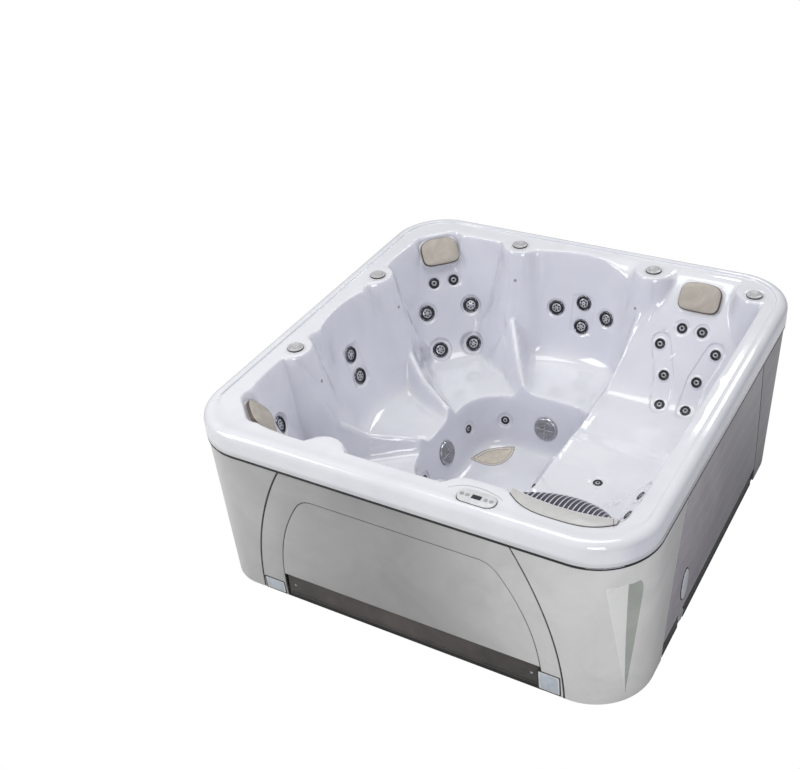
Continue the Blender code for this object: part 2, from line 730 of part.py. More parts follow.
def shell_sheet():
    """Bathing side of the shell as an open mesh with its faces up."""
    points = sheet_points()
    columns, rows = points.shape[:2]
    centre_x = SHEET_CENTRE_SHARES[0] * HALF_W
    centre_y = SHEET_CENTRE_SHARES[1] * HALF_D
    verts = points.reshape(-1, 3).tolist() + [[centre_x, centre_y, height_at(centre_x, centre_y)]]
    faces = []
    for i in range(columns):
        j = (i + 1) % columns
        for k in range(rows - 1):
            faces.append((i * rows + k, j * rows + k, j * rows + k + 1, i * rows + k + 1))
        faces.append((i * rows + rows - 1, j * rows + rows - 1, len(verts) - 1))
    mesh = bpy.data.meshes.new("shell")
    mesh.from_pydata(verts, [], faces)
    obj = bpy.data.objects.new("shell", mesh)
    PARTS.objects.link(obj)
    decimate = obj.modifiers.new("Thin", "DECIMATE")
    decimate.ratio = SHEET_FACES / (2 * len(faces))
    return as_mesh(obj)


def tidy_rim(points):
    """Brings thinned points back to the skirt's lower edge and inside the rim."""
    x, y, z = points.T
    nx, ny = outward(x, y)
    inset = rim_distance(x, y)
    over = np.maximum(-inset, 0)
    at_edge = (inset < SHELL_THICKNESS) & (z < TRIM_TOP + SHELL_THICKNESS / 2)
    z = np.where(at_edge, TRIM_TOP, np.minimum(z, HEIGHT))
    return np.stack([x - nx * over, y - ny * over, z], axis=-1)


def underside(points):
    """The shell's other side, point by point."""
    x, y, z = points.T
    nx, ny = outward(x, y)
    inset = rim_distance(x, y)
    slope_x, slope_y = slope_at(x, y)
    drop = np.minimum(SHELL_THICKNESS * np.sqrt(1 + slope_x ** 2 + slope_y ** 2), SHELL_DROP_MAX)
    inner = np.stack([x, y, z - drop], axis=-1)
    to_roll = RIM_ROLL - inset
    fall = np.maximum(z - (HEIGHT - RIM_ROLL), 0)
    reach = np.maximum(np.hypot(to_roll, fall), SHELL_THICKNESS)
    step_in = SHELL_THICKNESS * to_roll / reach
    step_down = SHELL_THICKNESS * fall / reach
    outer = np.stack([x - nx * step_in, y - ny * step_in, z - step_down], axis=-1)
    return np.where((inset < RIM_ROLL)[:, None], outer, inner)


def thicken(sheet):
    """Closed body from the sheet and its underside."""
    top = np.array([tuple(v.co) for v in sheet.data.vertices])
    top = tidy_rim(top)
    low = underside(top)
    count = len(top)
    faces = [tuple(p.vertices) for p in sheet.data.polygons]
    sides = {}
    for face in faces:
        for a, b in zip(face, face[1:] + face[:1]):
            sides[(a, b)] = sides.get((a, b), 0) + 1
    walls = [(b, a, a + count, b + count) for a, b in sides if (b, a) not in sides]
    body = [face for face in faces] + [tuple(v + count for v in reversed(face)) for face in faces]
    mesh = bpy.data.meshes.new("shell")
    mesh.from_pydata(top.tolist() + low.tolist(), [], body + walls)
    name = sheet.name
    bpy.data.objects.remove(sheet)
    obj = bpy.data.objects.new(name, mesh)
    PARTS.objects.link(obj)
    return obj


# Seats of the fittings on the shell

NORMAL_STEPS = 40
SEAT_DISC_RINGS_SHARES = (0.0, 0.35, 0.7, 1.0)
SEAT_DISC_TURNS = 20
SEAT_REACH = 0.060


def seat_on_shell(place_shares):
    """Nearest point of the bathing side to a place, and the surface's normal there."""
    target = scaled(place_shares)
    x, y = target.x, target.y
    for _ in range(NORMAL_STEPS):
        slope_x, slope_y = (float(s[0]) for s in slope_at(np.array([x]), np.array([y])))
        height = height_at(x, y)
        lean = 1 + slope_x ** 2 + slope_y ** 2
        off = (target - Vector((x, y, height))).dot(Vector((1, 0, slope_x))) / lean
        off_y = (target - Vector((x, y, height))).dot(Vector((0, 1, slope_y))) / lean
        x += off / 2
        y += off_y / 2
    normal = Vector((-slope_x, -slope_y, 1)).normalized()
    return Vector((x, y, height_at(x, y))), normal


def seat_matrix(place_shares):
    """Matrix on the shell at a place, with Z along the surface's normal."""
    origin, normal = seat_on_shell(place_shares)
    level = Vector((0, 0, 1)).cross(normal)
    x_axis = level.normalized() if level.length > SLOPE_STEP else Vector((1, 0, 0))
    return along(origin, x_axis, normal.cross(x_axis), normal)


def lift_above(tree, matrix, radius):
    """How far a disc has to stand off its matrix to clear the facets under it."""
    direction = -(matrix.to_3x3() @ Vector((0, 0, 1)))
    highest = 0.0
    for ring_share in SEAT_DISC_RINGS_SHARES:
        for turn in range(SEAT_DISC_TURNS):
            angle = turn / SEAT_DISC_TURNS * 2 * math.pi
            spot = Vector((math.cos(angle), math.sin(angle), 0)) * radius * ring_share
            start = matrix @ (spot + Vector((0, 0, SEAT_REACH)))
            hit = tree.ray_cast(start, direction, SEAT_REACH * 2)
            if hit[0] is not None:
                highest = max(highest, SEAT_REACH - hit[3])
    return highest + CLEARANCE


# Jets: kind and place shares of half width, half depth and height; a bend is a point of the pipe

JET_SIDES = 8
JET_LARGE_RADIUS = 0.044
JET_MIDDLE_RADIUS = 0.042
JET_SMALL_RADIUS = 0.030
JET_LOUNGE_RADIUS = 0.027
JET_FLOOR_RADIUS = 0.023
JET_FACE_HEIGHT = 0.008
JET_DISH_SHARE = 0.72
JET_DISH_DEPTH = 0.005
JET_STEM_RADIUS = 0.011
JET_STEM_LENGTH = 0.056
JET_STEM_SHORT = 0.050
PIPE_RADIUS = 0.0135
INSERT_GAP = 0.0012
INSERT_HEIGHT = 0.007
INSERT_NOZZLE_RADIUS = 0.008
INSERT_NOZZLE_HEIGHT = 0.004

JET_GROUPS = {
    "jets_back_left": [
        ("small", (-0.761, 0.692, 0.747)), ("small", (-0.689, 0.765, 0.744)),
        ("large", (-0.595, 0.764, 0.598)), ("large", (-0.547, 0.689, 0.398)),
        ("large", (-0.670, 0.563, 0.406)), ("large", (-0.756, 0.601, 0.603))],
    "jets_back": [
        ("middle", (-0.131, 0.810, 0.671)), ("middle", (0.003, 0.809, 0.583)),
        ("middle", (0.135, 0.815, 0.665)), ("middle", (0.004, 0.835, 0.718))],
    "jets_lounge_back": [
        ("lounge", (0.544, 0.722, 0.777)), ("lounge", (0.460, 0.667, 0.696)),
        ("lounge", (0.512, 0.598, 0.560)), ("lounge", (0.528, 0.520, 0.424)),
        ("lounge", (0.653, 0.520, 0.424)), ("lounge", (0.669, 0.598, 0.561)),
        ("lounge", (0.725, 0.665, 0.701)), ("lounge", (0.640, 0.718, 0.780))],
    "jets_left": [
        ("large", (-0.832, 0.010, 0.709)), ("large", (-0.793, 0.013, 0.581))],
    "jets_front_left": [
        ("small", (-0.724, -0.716, 0.779)), ("large", (-0.802, -0.594, 0.728)),
        ("large", (-0.737, -0.568, 0.564)), ("large", (-0.656, -0.522, 0.394)),
        ("large", (-0.541, -0.641, 0.401)), ("large", (-0.582, -0.721, 0.569)),
        ("large", (-0.613, -0.791, 0.729))],
    "jets_footwell": [
        ("floor", (-0.209, 0.368, 0.200)), ("bend", (-0.340, 0.362, 0.185)),
        ("floor", (-0.343, 0.235, 0.200)), ("bend", (-0.413, 0.095, 0.124)),
        ("bend", (-0.413, -0.055, 0.124)), ("floor", (-0.342, -0.191, 0.207)),
        ("bend", (-0.338, -0.318, 0.185)), ("floor", (-0.206, -0.330, 0.209))],
    "jets_footwell_mound": [
        ("floor", (0.133, 0.067, 0.200)), ("floor", (0.133, -0.036, 0.200))],
    "jets_lounge_seat": [
        ("floor", (0.798, -0.568, 0.767)), ("floor", (0.798, -0.456, 0.783)),
        ("bend", (0.817, -0.409, 0.379)), ("floor", (0.496, -0.140, 0.462))],
}
JET_RADII = {"large": JET_LARGE_RADIUS, "middle": JET_MIDDLE_RADIUS, "small": JET_SMALL_RADIUS,
             "lounge": JET_LOUNGE_RADIUS, "floor": JET_FLOOR_RADIUS}
INSERT_JETS = {("jets_back_left", 2): "jet_insert_1", ("jets_back_left", 3): "jet_insert_2",
               ("jets_back_left", 4): "jet_insert_3", ("jets_back_left", 5): "jet_insert_4"}


def jet_body(radius, lift, has_insert):
    """Face and stem of a jet, with a dished face or a pocket for a turning insert."""
    face = lift + JET_FACE_HEIGHT
    dish = radius * JET_DISH_SHARE
    floor = face - JET_DISH_DEPTH
    profile = [(0, floor)]
    profile += [(dish, floor), (dish, face)] if has_insert else [(dish, face)]
    profile += [(radius, lift + JET_FACE_HEIGHT / 3), (JET_STEM_RADIUS, lift),
                (JET_STEM_RADIUS, -JET_STEM_LENGTH), (0, -JET_STEM_LENGTH)]
    return profile


def jet_insert(name, radius, lift, matrix):
    """Turning nozzle that lies in the pocket of a large jet."""
    own_radius = radius * JET_DISH_SHARE * math.cos(math.pi / JET_SIDES) - INSERT_GAP
    base = lift + JET_FACE_HEIGHT - JET_DISH_DEPTH + CLEARANCE
    top = base + INSERT_HEIGHT
    disc = turned(name, [(0, top), (own_radius * JET_DISH_SHARE, top), (own_radius, base + CLEARANCE),
                         (own_radius, base), (0, base)], JET_SIDES, matrix)
    nozzle = turned("nozzle", [(0, top + INSERT_NOZZLE_HEIGHT),
                               (INSERT_NOZZLE_RADIUS, top + INSERT_NOZZLE_HEIGHT),
                               (INSERT_NOZZLE_RADIUS, base + INSERT_HEIGHT / 2),
                               (0, base + INSERT_HEIGHT / 2)], JET_SIDES,
                    matrix @ at(own_radius / 2, 0, 0))
    return paint(combine(disc, [nozzle], "UNION"), *CHROME)


def jet_group(name, jets, tree, holes):
    """Jets of one seat with the manifold pipe that joins their stems behind the shell."""
    bodies = []
    stem_ends = []
    for index, (kind, place_shares) in enumerate(jets):
        if kind == "bend":
            stem_ends.append(scaled(place_shares))
            continue
        radius = JET_RADII[kind]
        matrix = seat_matrix(place_shares)
        lift = lift_above(tree, matrix, radius)
        insert = INSERT_JETS.get((name, index))
        bodies.append(turned("jet", jet_body(radius, lift, insert is not None), JET_SIDES, matrix))
        add_stem_hole(holes, matrix, JET_STEM_RADIUS, JET_SIDES)
        stem_ends.append(matrix @ Vector((0, 0, -JET_STEM_SHORT)))
        if insert:
            jet_insert(insert, radius, lift, matrix)
    pipe = tube(name, stem_ends, PIPE_RADIUS)
    return paint(combine(pipe, bodies, "UNION"), *CHROME)


STEM_HOLE_ABOVE = 0.025
STEM_HOLE_BELOW = 0.045


def add_stem_hole(holes, matrix, radius, sides):
    """Hole through the shell with the clearance all round a stem."""
    gap = CLEARANCE / math.cos(math.pi / sides)
    add_cylinder(holes, radius + gap, -STEM_HOLE_BELOW, STEM_HOLE_ABOVE, sides, matrix)


# Suction covers in the footwell

COVER_RADIUS = 0.0635
COVER_HEIGHT = 0.022
COVER_SIDES = 12
COVER_PIPE_RADIUS = 0.024
COVER_CROWN_SHARES = ((0.62, 0.92), (0.90, 0.62), (1.0, 0.30))
COVERS = (
    ("suction_cover_back", (0.008, 0.377, 0.207)),
    ("suction_cover_left", (-0.346, 0.020, 0.209)),
    ("suction_cover_front", (0.008, -0.335, 0.211)),
)


def suction_cover(name, place_shares, tree, holes):
    """Domed cover with its pipe through the shell."""
    matrix = seat_matrix(place_shares)
    lift = lift_above(tree, matrix, COVER_RADIUS)
    profile = [(0, lift + COVER_HEIGHT)]
    profile += [(COVER_RADIUS * r, lift + COVER_HEIGHT * h) for r, h in COVER_CROWN_SHARES]
    profile += [(COVER_RADIUS, lift), (COVER_PIPE_RADIUS, lift),
                (COVER_PIPE_RADIUS, -JET_STEM_LENGTH), (0, -JET_STEM_LENGTH)]
    add_stem_hole(holes, matrix, COVER_PIPE_RADIUS, COVER_SIDES)
    return paint(turned(name, profile, COVER_SIDES, matrix), *CHARCOAL)


# Knobs on the lip and the valves under them

KNOB_RADIUS = 0.040
KNOB_EDGE = 0.004
KNOB_SIDES = 20
KNOB_CAP_RADIUS = 0.023
KNOB_CAP_HEIGHT = 0.0175
KNOB_FLAT_RADIUS = 0.0325
KNOB_FLAT_HEIGHT = 0.0118
SPINDLE_RADIUS = 0.010
SPINDLE_SIDES = 8
VALVE_RADIUS = 0.026
VALVE_TOP_DROP = 0.022
VALVE_HEIGHT = 0.075
VALVE_PORT_RADIUS = 0.015
VALVE_PORT_LENGTH = 0.040
POCKET_LIFT = 0.0001
POCKET_REACH = 0.030
KNOBS = (
    ("1", (-0.862, -0.351, 0.0)),
    ("2", (-0.859, 0.336, 0.0)),
    ("3", (-0.348, 0.855, 0.0)),
    ("4", (0.347, 0.857, 0.0)),
    ("5", (0.839, 0.812, 0.0)),
)


def knob_and_valve(number, place_shares, holes):
    """Stepped round knob on the deck and the valve body that hangs below it."""
    place = scaled(place_shares)
    matrix = at(place.x, place.y, DECK_Z)
    base = CLEARANCE
    cap = base + KNOB_CAP_HEIGHT
    flat = base + KNOB_FLAT_HEIGHT
    knob = turned("knob_" + number, [(0, cap), (KNOB_CAP_RADIUS - KNOB_EDGE / 4, cap),
                                     (KNOB_CAP_RADIUS, flat), (KNOB_FLAT_RADIUS, flat),
                                     (KNOB_RADIUS, base + KNOB_EDGE), (KNOB_RADIUS, base),
                                     (0, base)], KNOB_SIDES, matrix)
    paint(knob, *WARM_GREY)
    body_top = -VALVE_TOP_DROP
    body_low = body_top - VALVE_HEIGHT
    valve = turned("valve_" + number, [(0, -CLEARANCE), (SPINDLE_RADIUS, -CLEARANCE),
                                       (SPINDLE_RADIUS, body_top), (VALVE_RADIUS, body_top),
                                       (VALVE_RADIUS, body_low), (VALVE_PORT_RADIUS, body_low),
                                       (VALVE_PORT_RADIUS, body_low - VALVE_PORT_LENGTH),
                                       (0, body_low - VALVE_PORT_LENGTH)], SPINDLE_SIDES, matrix)
    paint(valve, *PIPE_WHITE)
    add_stem_hole(holes, matrix, SPINDLE_RADIUS, SPINDLE_SIDES)
    add_cylinder(holes, KNOB_RADIUS + KNOB_EDGE / 4, POCKET_LIFT, POCKET_REACH, KNOB_SIDES, matrix)


# Headrests: crowned pads with drawn-in sides

PAD_INNER_STEPS = 2
PAD_EDGE_DROP = 0.45
PAD_SIDE_DRAW = 0.10
PAD_CROWN_POWER = 4
PAD_OUTER_TAPER = 0.16
HEADREST_GAP = 0.0006
HEADREST_SINK = 0.003
BED_REACH = 0.060


def headrest_matrix(centre_shares, turn):
    """Matrix of a headrest: X across it, Y up the slope and Z out of its bed."""
    out = Vector((math.cos(turn), math.sin(turn), 0))
    up = out * math.cos(HEADREST_TILT) + Vector((0, 0, math.sin(HEADREST_TILT)))
    across = Vector((-math.sin(turn), math.cos(turn), 0))
    normal = across.cross(up)
    if normal.z < 0:
        across = -across
        normal = -normal
    return along(scaled(centre_shares), across, up, normal)


def headrest(name, centre_shares, turn, holes):
    """Crowned pad: flat underneath, thinner at the rim, narrower towards its outer end."""
    matrix = headrest_matrix(centre_shares, turn) @ at(0, 0, -HEADREST_SINK)
    built = bmesh.new()
    bmesh.ops.create_cube(built, size=2)
    bmesh.ops.subdivide_edges(built, edges=built.edges[:], cuts=PAD_INNER_STEPS, use_grid_fill=True)
    for vert in built.verts:
        u, v, w = vert.co
        crown = 1 - PAD_EDGE_DROP * max(abs(u), abs(v)) ** PAD_CROWN_POWER
        draw = 1 - PAD_SIDE_DRAW * (u * v) ** 2
        taper = 1 - PAD_OUTER_TAPER * max(v, 0) ** 2
        height = HEADREST_THICKNESS * crown if w > 0 else 0
        vert.co = (u * HEADREST_WIDTH / 2 * draw * taper, v * HEADREST_HEIGHT / 2 * draw,
                   height + HEADREST_GAP)
    pad = from_bmesh(name, built, matrix)
    rounding = pad.modifiers.new("Round", "SUBSURF")
    rounding.levels = 1
    rounding.render_levels = 1
    bed = Matrix.Diagonal((HEADREST_WIDTH + 2 * HEADREST_MARGIN, HEADREST_HEIGHT + 2 * HEADREST_MARGIN,
                           BED_REACH, 1))
    middle = at(0, 0, HEADREST_GAP / 2 + BED_REACH / 2)
    bmesh.ops.create_cube(holes, size=1, matrix=matrix @ middle @ bed)
    return paint(as_mesh(pad), *PILLOW)


# Control panel on the front lip, with four buttons

PANEL_FROM_KNOB = 0.002
PANEL_X = BACK_KNOB_X * WIDTH / LAYOUT_WIDTH - PANEL_FROM_KNOB
PANEL_INSET = 0.088
PANEL_LENGTH = 0.172
PANEL_WIDTH = 0.080
PANEL_THICKNESS = 0.009
PANEL_ROUND_SEGMENTS = 4
PANEL_STUB_RADIUS = 0.014
PANEL_STUB_LENGTH = 0.034
BUTTON_RADIUS = 0.0085
BUTTON_SIDES = 12
BUTTON_TRAVEL = 0.001
BUTTON_STAND = 0.0022
BUTTON_POCKET = 0.005
BUTTON_NEAR = 0.040
BUTTON_FAR = 0.064


def control_panel(holes):
    """Pill-shaped panel that lies on the lip, held by a stub through the shell."""
    matrix = at(PANEL_X, -HALF_D + PANEL_INSET, DECK_Z)
    middle = CLEARANCE + PANEL_THICKNESS / 2
    outline = rounded_loop(PANEL_LENGTH / 2, PANEL_WIDTH / 2, PANEL_WIDTH / 2 - CLEARANCE,
                           PANEL_ROUND_SEGMENTS)
    panel = plate("control_panel", [outline], PANEL_THICKNESS, matrix @ at(0, 0, middle))
    stub = turned("stub", [(0, middle), (PANEL_STUB_RADIUS, middle),
                           (PANEL_STUB_RADIUS, -PANEL_STUB_LENGTH), (0, -PANEL_STUB_LENGTH)],
                  BUTTON_SIDES, matrix)
    top = CLEARANCE + PANEL_THICKNESS
    pockets = bmesh.new()
    for number, x in enumerate((-BUTTON_FAR, -BUTTON_NEAR, BUTTON_NEAR, BUTTON_FAR), start=1):
        add_cylinder(pockets, BUTTON_RADIUS + CLEARANCE / math.cos(math.pi / BUTTON_SIDES),
                     top - BUTTON_POCKET, top + CUT_OVERRUN, BUTTON_SIDES, at(x, 0, 0))
        base = top - BUTTON_POCKET + BUTTON_TRAVEL + CLEARANCE
        cap = top + BUTTON_STAND
        button = turned("button_" + str(number), [(0, cap), (BUTTON_RADIUS, cap - BUTTON_STAND / 4),
                                                  (BUTTON_RADIUS, base), (0, base)],
                        BUTTON_SIDES, matrix @ at(x, 0, 0))
        paint(button, *CHARCOAL)
    cutter = from_bmesh("button_pockets", pockets, matrix)
    panel = combine(panel, [stub], "UNION")
    paint(combine(panel, [cutter], "DIFFERENCE"), *WARM_GREY)
    add_stem_hole(holes, matrix, PANEL_STUB_RADIUS, BUTTON_SIDES)
    pocket = Matrix.Diagonal((PANEL_LENGTH + 2 * CLEARANCE, PANEL_WIDTH + 2 * CLEARANCE, POCKET_REACH, 1))
    bmesh.ops.create_cube(holes, size=1, matrix=matrix @ at(0, 0, POCKET_LIFT + POCKET_REACH / 2) @ pocket)


# Filter: grille with curved fins and the cartridge under it

GRILLE_OFFSET_X = 0.002
GRILLE_OFFSET_Y = 0.089
GRILLE_DROP = 0.220
GRILLE_X = WELL_X + GRILLE_OFFSET_X
GRILLE_BACK_Y = WELL_Y - GRILLE_OFFSET_Y
GRILLE_REACH = 0.175
GRILLE_HALF = 0.192
GRILLE_LOW_Z = DECK_Z - GRILLE_DROP
FIN_COUNT = 19
FIN_PITCH = 0.0195
FIN_THICKNESS = 0.004
FIN_DEPTH = 0.011
FIN_STEPS = 5
FIN_RUN = 0.050
RAIL_WIDTH = 0.016
RAIL_THICKNESS = 0.008
RAIL_STEPS = 12
FLANGE_HALF = 0.222
FLANGE_OUTER_REACH = 0.112
FLANGE_OUTER_Y = GRILLE_BACK_Y - FLANGE_OUTER_REACH
FLANGE_OUTER_BOW = 0.070
FLANGE_INNER_REACH = 0.042
FLANGE_INNER_Y = GRILLE_BACK_Y - FLANGE_INNER_REACH
FLANGE_INNER_BOW = 0.045
FLANGE_STEPS = 10
FLANGE_THICKNESS = 0.007
CARTRIDGE_RADIUS = 0.055
CARTRIDGE_DROP = 0.242
CARTRIDGE_SIDES = 16
CARTRIDGE_CAP = 0.012
CARTRIDGE_CAP_LIP = 0.004


def grille_reach(x):
    """How far a fin stands out at a place along the grille."""
    return GRILLE_REACH * math.sqrt(max(1 - (x / GRILLE_HALF) ** 2, 0))


def flange_outline():
    """Bowed band that lies on the lip in front of the well."""
    outer = []
    inner = []
    for step in range(FLANGE_STEPS + 1):
        share = 2 * step / FLANGE_STEPS - 1
        x = FLANGE_HALF * share
        outer.append((x, FLANGE_OUTER_Y + FLANGE_OUTER_BOW * abs(share) ** 3))
        inner.append((x, FLANGE_INNER_Y + FLANGE_INNER_BOW * share ** 2))
    return outer + inner[::-1]


def fin_outline(x):
    """Level run and quarter ring of one fin, in a plane square to X: Y and Z."""
    reach = grille_reach(x)
    rise = DECK_Z + CLEARANCE + FLANGE_THICKNESS / 2 - GRILLE_LOW_Z
    outer = [(GRILLE_BACK_Y - FIN_RUN, GRILLE_LOW_Z + rise)]
    inner = [(GRILLE_BACK_Y - FIN_RUN, GRILLE_LOW_Z + rise - RAIL_THICKNESS / 2)]
    for step in range(FIN_STEPS + 1):
        angle = step / FIN_STEPS * math.pi / 2
        outer.append((GRILLE_BACK_Y + reach * math.sin(angle), GRILLE_LOW_Z + rise * math.cos(angle)))
        inner.append((GRILLE_BACK_Y - FIN_DEPTH + reach * math.sin(angle),
                      GRILLE_LOW_Z + (rise - RAIL_THICKNESS / 2) * math.cos(angle)))
    return outer + inner[::-1]


def rail_outline():
    """Lower rail: a half ellipse that all fins end in."""
    outer = []
    inner = []
    for step in range(RAIL_STEPS + 1):
        angle = step / RAIL_STEPS * math.pi
        outer.append((GRILLE_HALF * math.cos(angle), GRILLE_BACK_Y + GRILLE_REACH * math.sin(angle)))
        inner.append(((GRILLE_HALF - RAIL_WIDTH) * math.cos(angle),
                      GRILLE_BACK_Y + (GRILLE_REACH - RAIL_WIDTH) * math.sin(angle)))
    return outer + inner[::-1]


def filter_grille():
    """Flange, fins and lower rail as one moulding."""
    flange_z = DECK_Z + CLEARANCE + FLANGE_THICKNESS / 2
    flange = plate("filter_grille", [flange_outline()], FLANGE_THICKNESS, at(GRILLE_X, 0, flange_z))
    rail = plate("rail", [rail_outline()], RAIL_THICKNESS, at(GRILLE_X, 0, GRILLE_LOW_Z))
    parts = [rail]
    for index in range(FIN_COUNT):
        x = (index - (FIN_COUNT - 1) / 2) * FIN_PITCH
        upright = along((GRILLE_X + x, 0, 0), Vector((0, 1, 0)), Vector((0, 0, 1)), Vector((1, 0, 0)))
        parts.append(plate("fin", [fin_outline(x)], FIN_THICKNESS, upright))
    return paint(combine(flange, parts, "UNION"), *WARM_GREY)


def filter_cartridge(tree):
    """Filter element that stands in the well: end caps and pleated body."""
    matrix = at(WELL_X, WELL_Y, DECK_Z - WELL_DEPTH)
    base = lift_above(tree, matrix, CARTRIDGE_RADIUS)
    top = WELL_DEPTH - CARTRIDGE_DROP
    pleat = CARTRIDGE_RADIUS - CARTRIDGE_CAP_LIP
    profile = [(0, top), (CARTRIDGE_RADIUS, top), (CARTRIDGE_RADIUS, top - CARTRIDGE_CAP),
               (pleat, top - CARTRIDGE_CAP), (pleat, base + CARTRIDGE_CAP),
               (CARTRIDGE_RADIUS, base + CARTRIDGE_CAP), (CARTRIDGE_RADIUS, base), (0, base)]
    return paint(turned("filter_cartridge", profile, CARTRIDGE_SIDES, matrix), *FILTER_PAPER)


# Cabinet: faces with a slight draft, joined by round corners

TRIM_HEIGHT = 0.010
TRIM_INSET = 0.001
TRIM_WIDTH = 0.020
PANEL_TOP = TRIM_TOP - TRIM_HEIGHT
PANEL_BOTTOM = 0.015
PANEL_GAUGE = 0.012
TOP_INSET = 0.006
BASE_INSET = 0.030
BASE_INSET_FRONT = 0.060
PANEL_RADIUS = RIM_CORNER_RADIUS - TOP_INSET
SEAM_GAP = 0.004
FRONT_SEAM_DRAW = 0.210
FRONT_SEAM_POWER = 2
SIDE_SEAM_DRAW = 0.150
SIDE_SEAM_POWER = 1.3
SEAM_STEPS = 6
ARC_STEPS = 6
LOOP_STEPS = 6

SIDE_DRAFT = (BASE_INSET - TOP_INSET) / PANEL_TOP
FRONT_DRAFT = (BASE_INSET_FRONT - TOP_INSET) / PANEL_TOP
SIDE_BASE = HALF_W - BASE_INSET
BACK_BASE = HALF_D - BASE_INSET
FRONT_BASE = HALF_D - BASE_INSET_FRONT
FRONT_SEAM_INSET = 0.006
SIDE_SEAM_INSET = 0.091
FLAT_HALF = min(SIDE_BASE, FRONT_BASE) - PANEL_RADIUS
FRONT_SEAM_LOW = SIDE_BASE - PANEL_RADIUS - FRONT_SEAM_INSET
SIDE_SEAM_LOW = FLAT_HALF - SIDE_SEAM_INSET


def front_seam(z):
    """Half width between the two seams of the front face."""
    return FRONT_SEAM_LOW - FRONT_SEAM_DRAW * (z / PANEL_TOP) ** FRONT_SEAM_POWER


def side_seam(z):
    """Half width between the two seams of the other faces."""
    return SIDE_SEAM_LOW - SIDE_SEAM_DRAW * (z / PANEL_TOP) ** SIDE_SEAM_POWER


def face_matrix(turn, base, draft):
    """Matrix on a face's outer plane: X along it, Y up its slope and Z outwards."""
    up = Vector((0, -draft, 1)).normalized()
    across = Vector((1, 0, 0))
    face = along((0, -base, 0), across, up, across.cross(up))
    return Matrix.Rotation(turn, 4, "Z") @ face


def up_slope(points, draft):
    """Outline points given with real heights, in the plane of a face with a draft."""
    stretch = math.sqrt(1 + draft ** 2)
    return [(x, z * stretch) for x, z in points]


def panel_top(draft):
    """Height of a panel's outer top edge, so that its leaning inner edge stays under the trim."""
    return PANEL_TOP - PANEL_GAUGE * draft


def levels(low, high, steps):
    """Evenly spaced heights."""
    return [low + (high - low) * step / steps for step in range(steps + 1)]


def face_plate(name, loop, turn, base, draft):
    """Flat cabinet panel whose outer side lies in the plane of its face."""
    matrix = face_matrix(turn, base, draft) @ at(0, 0, -PANEL_GAUGE / 2)
    return plate(name, [up_slope(loop, draft)], PANEL_GAUGE, matrix)


RIGHT_PANEL_BOTTOM = 0.105


def side_panel(name, turn, base, bottom, finish):
    """Side or back panel between two curved seams."""
    heights = levels(bottom, panel_top(SIDE_DRAFT), SEAM_STEPS)
    right = [(side_seam(z) - SEAM_GAP, z) for z in heights]
    left = [(-x, z) for x, z in reversed(right)]
    return paint(face_plate(name, right + left, turn, base, SIDE_DRAFT), *finish)


# Front: panel round the door, the door and the kick strip

DOOR_BOTTOM = 0.165
DOOR_TOP_INSET = 0.137
DOOR_SIDE_INSET = 0.105
DOOR_TOP = PANEL_TOP - DOOR_TOP_INSET
DOOR_LOW_HALF = FRONT_SEAM_LOW - DOOR_SIDE_INSET
DOOR_DRAW = 0.200
DOOR_POWER = 2.5
DOOR_CORNER = 0.060
CORNER_STEPS = 4
DOOR_PAD_Z = 0.420
DOOR_PAD_SIZE = 0.030
KICK_SIDE_INSET = 0.010
KICK_HALF = DOOR_LOW_HALF - KICK_SIDE_INSET
KICK_BOTTOM = 0.035
KICK_THICKNESS = 0.010
KICK_GAP = 0.006


def door_half(z):
    """Half width of the door at a height."""
    return DOOR_LOW_HALF - DOOR_DRAW * (z / DOOR_TOP) ** DOOR_POWER


def door_edge(bottom, grow):
    """Right edge of the door from its bottom to its round top corner."""
    corner_z = DOOR_TOP - DOOR_CORNER
    points = [(door_half(z) + grow, z) for z in levels(bottom, corner_z, SEAM_STEPS)]
    middle_x = door_half(corner_z) - DOOR_CORNER
    for step in range(1, CORNER_STEPS + 1):
        angle = step / CORNER_STEPS * math.pi / 2
        points.append((middle_x + (DOOR_CORNER + grow) * math.cos(angle),
                       corner_z + (DOOR_CORNER + grow) * math.sin(angle)))
    return points


def front_panel():
    """Front panel as an arch over the door."""
    outer = [(front_seam(z) - SEAM_GAP, z) for z in levels(PANEL_BOTTOM, panel_top(FRONT_DRAFT), SEAM_STEPS)]
    inner = door_edge(PANEL_BOTTOM, SEAM_GAP)
    loop = outer + [(-x, z) for x, z in reversed(outer)]
    loop += [(-x, z) for x, z in inner] + list(reversed(inner))
    return paint(face_plate("front_panel", loop, 0, FRONT_BASE, FRONT_DRAFT), *SILVER_PANEL)


def front_door():
    """Access door with two pads on its back that rest on the frame's posts."""
    edge = door_edge(DOOR_BOTTOM, 0)
    loop = edge + [(-x, z) for x, z in reversed(edge)]
    door = face_plate("front_access_door", loop, 0, FRONT_BASE, FRONT_DRAFT)
    outer_y = FRONT_BASE + FRONT_DRAFT * DOOR_PAD_Z - PANEL_GAUGE / 2
    inner_y = FRAME_FRONT + CLEARANCE
    pads = [block("pad", (DOOR_PAD_SIZE, outer_y - inner_y, DOOR_PAD_SIZE),
                  at(sign * FRAME_POST, -(outer_y + inner_y) / 2, DOOR_PAD_Z)) for sign in (-1, 1)]
    return paint(combine(door, pads, "UNION"), *SILVER_PANEL)


def kick_strip():
    """Dark strip under the door, in front of the pan's rim."""
    back_y = PAN_FRONT + CLEARANCE
    middle = at(0, -(back_y + KICK_THICKNESS / 2), (KICK_BOTTOM + DOOR_BOTTOM - KICK_GAP) / 2)
    size = (2 * KICK_HALF, KICK_THICKNESS, DOOR_BOTTOM - KICK_GAP - KICK_BOTTOM)
    return paint(block("kick_strip", size, middle, CLEARANCE * 4), *DARK_PLASTIC)


# Corner panels, one of them with a V-shaped recess

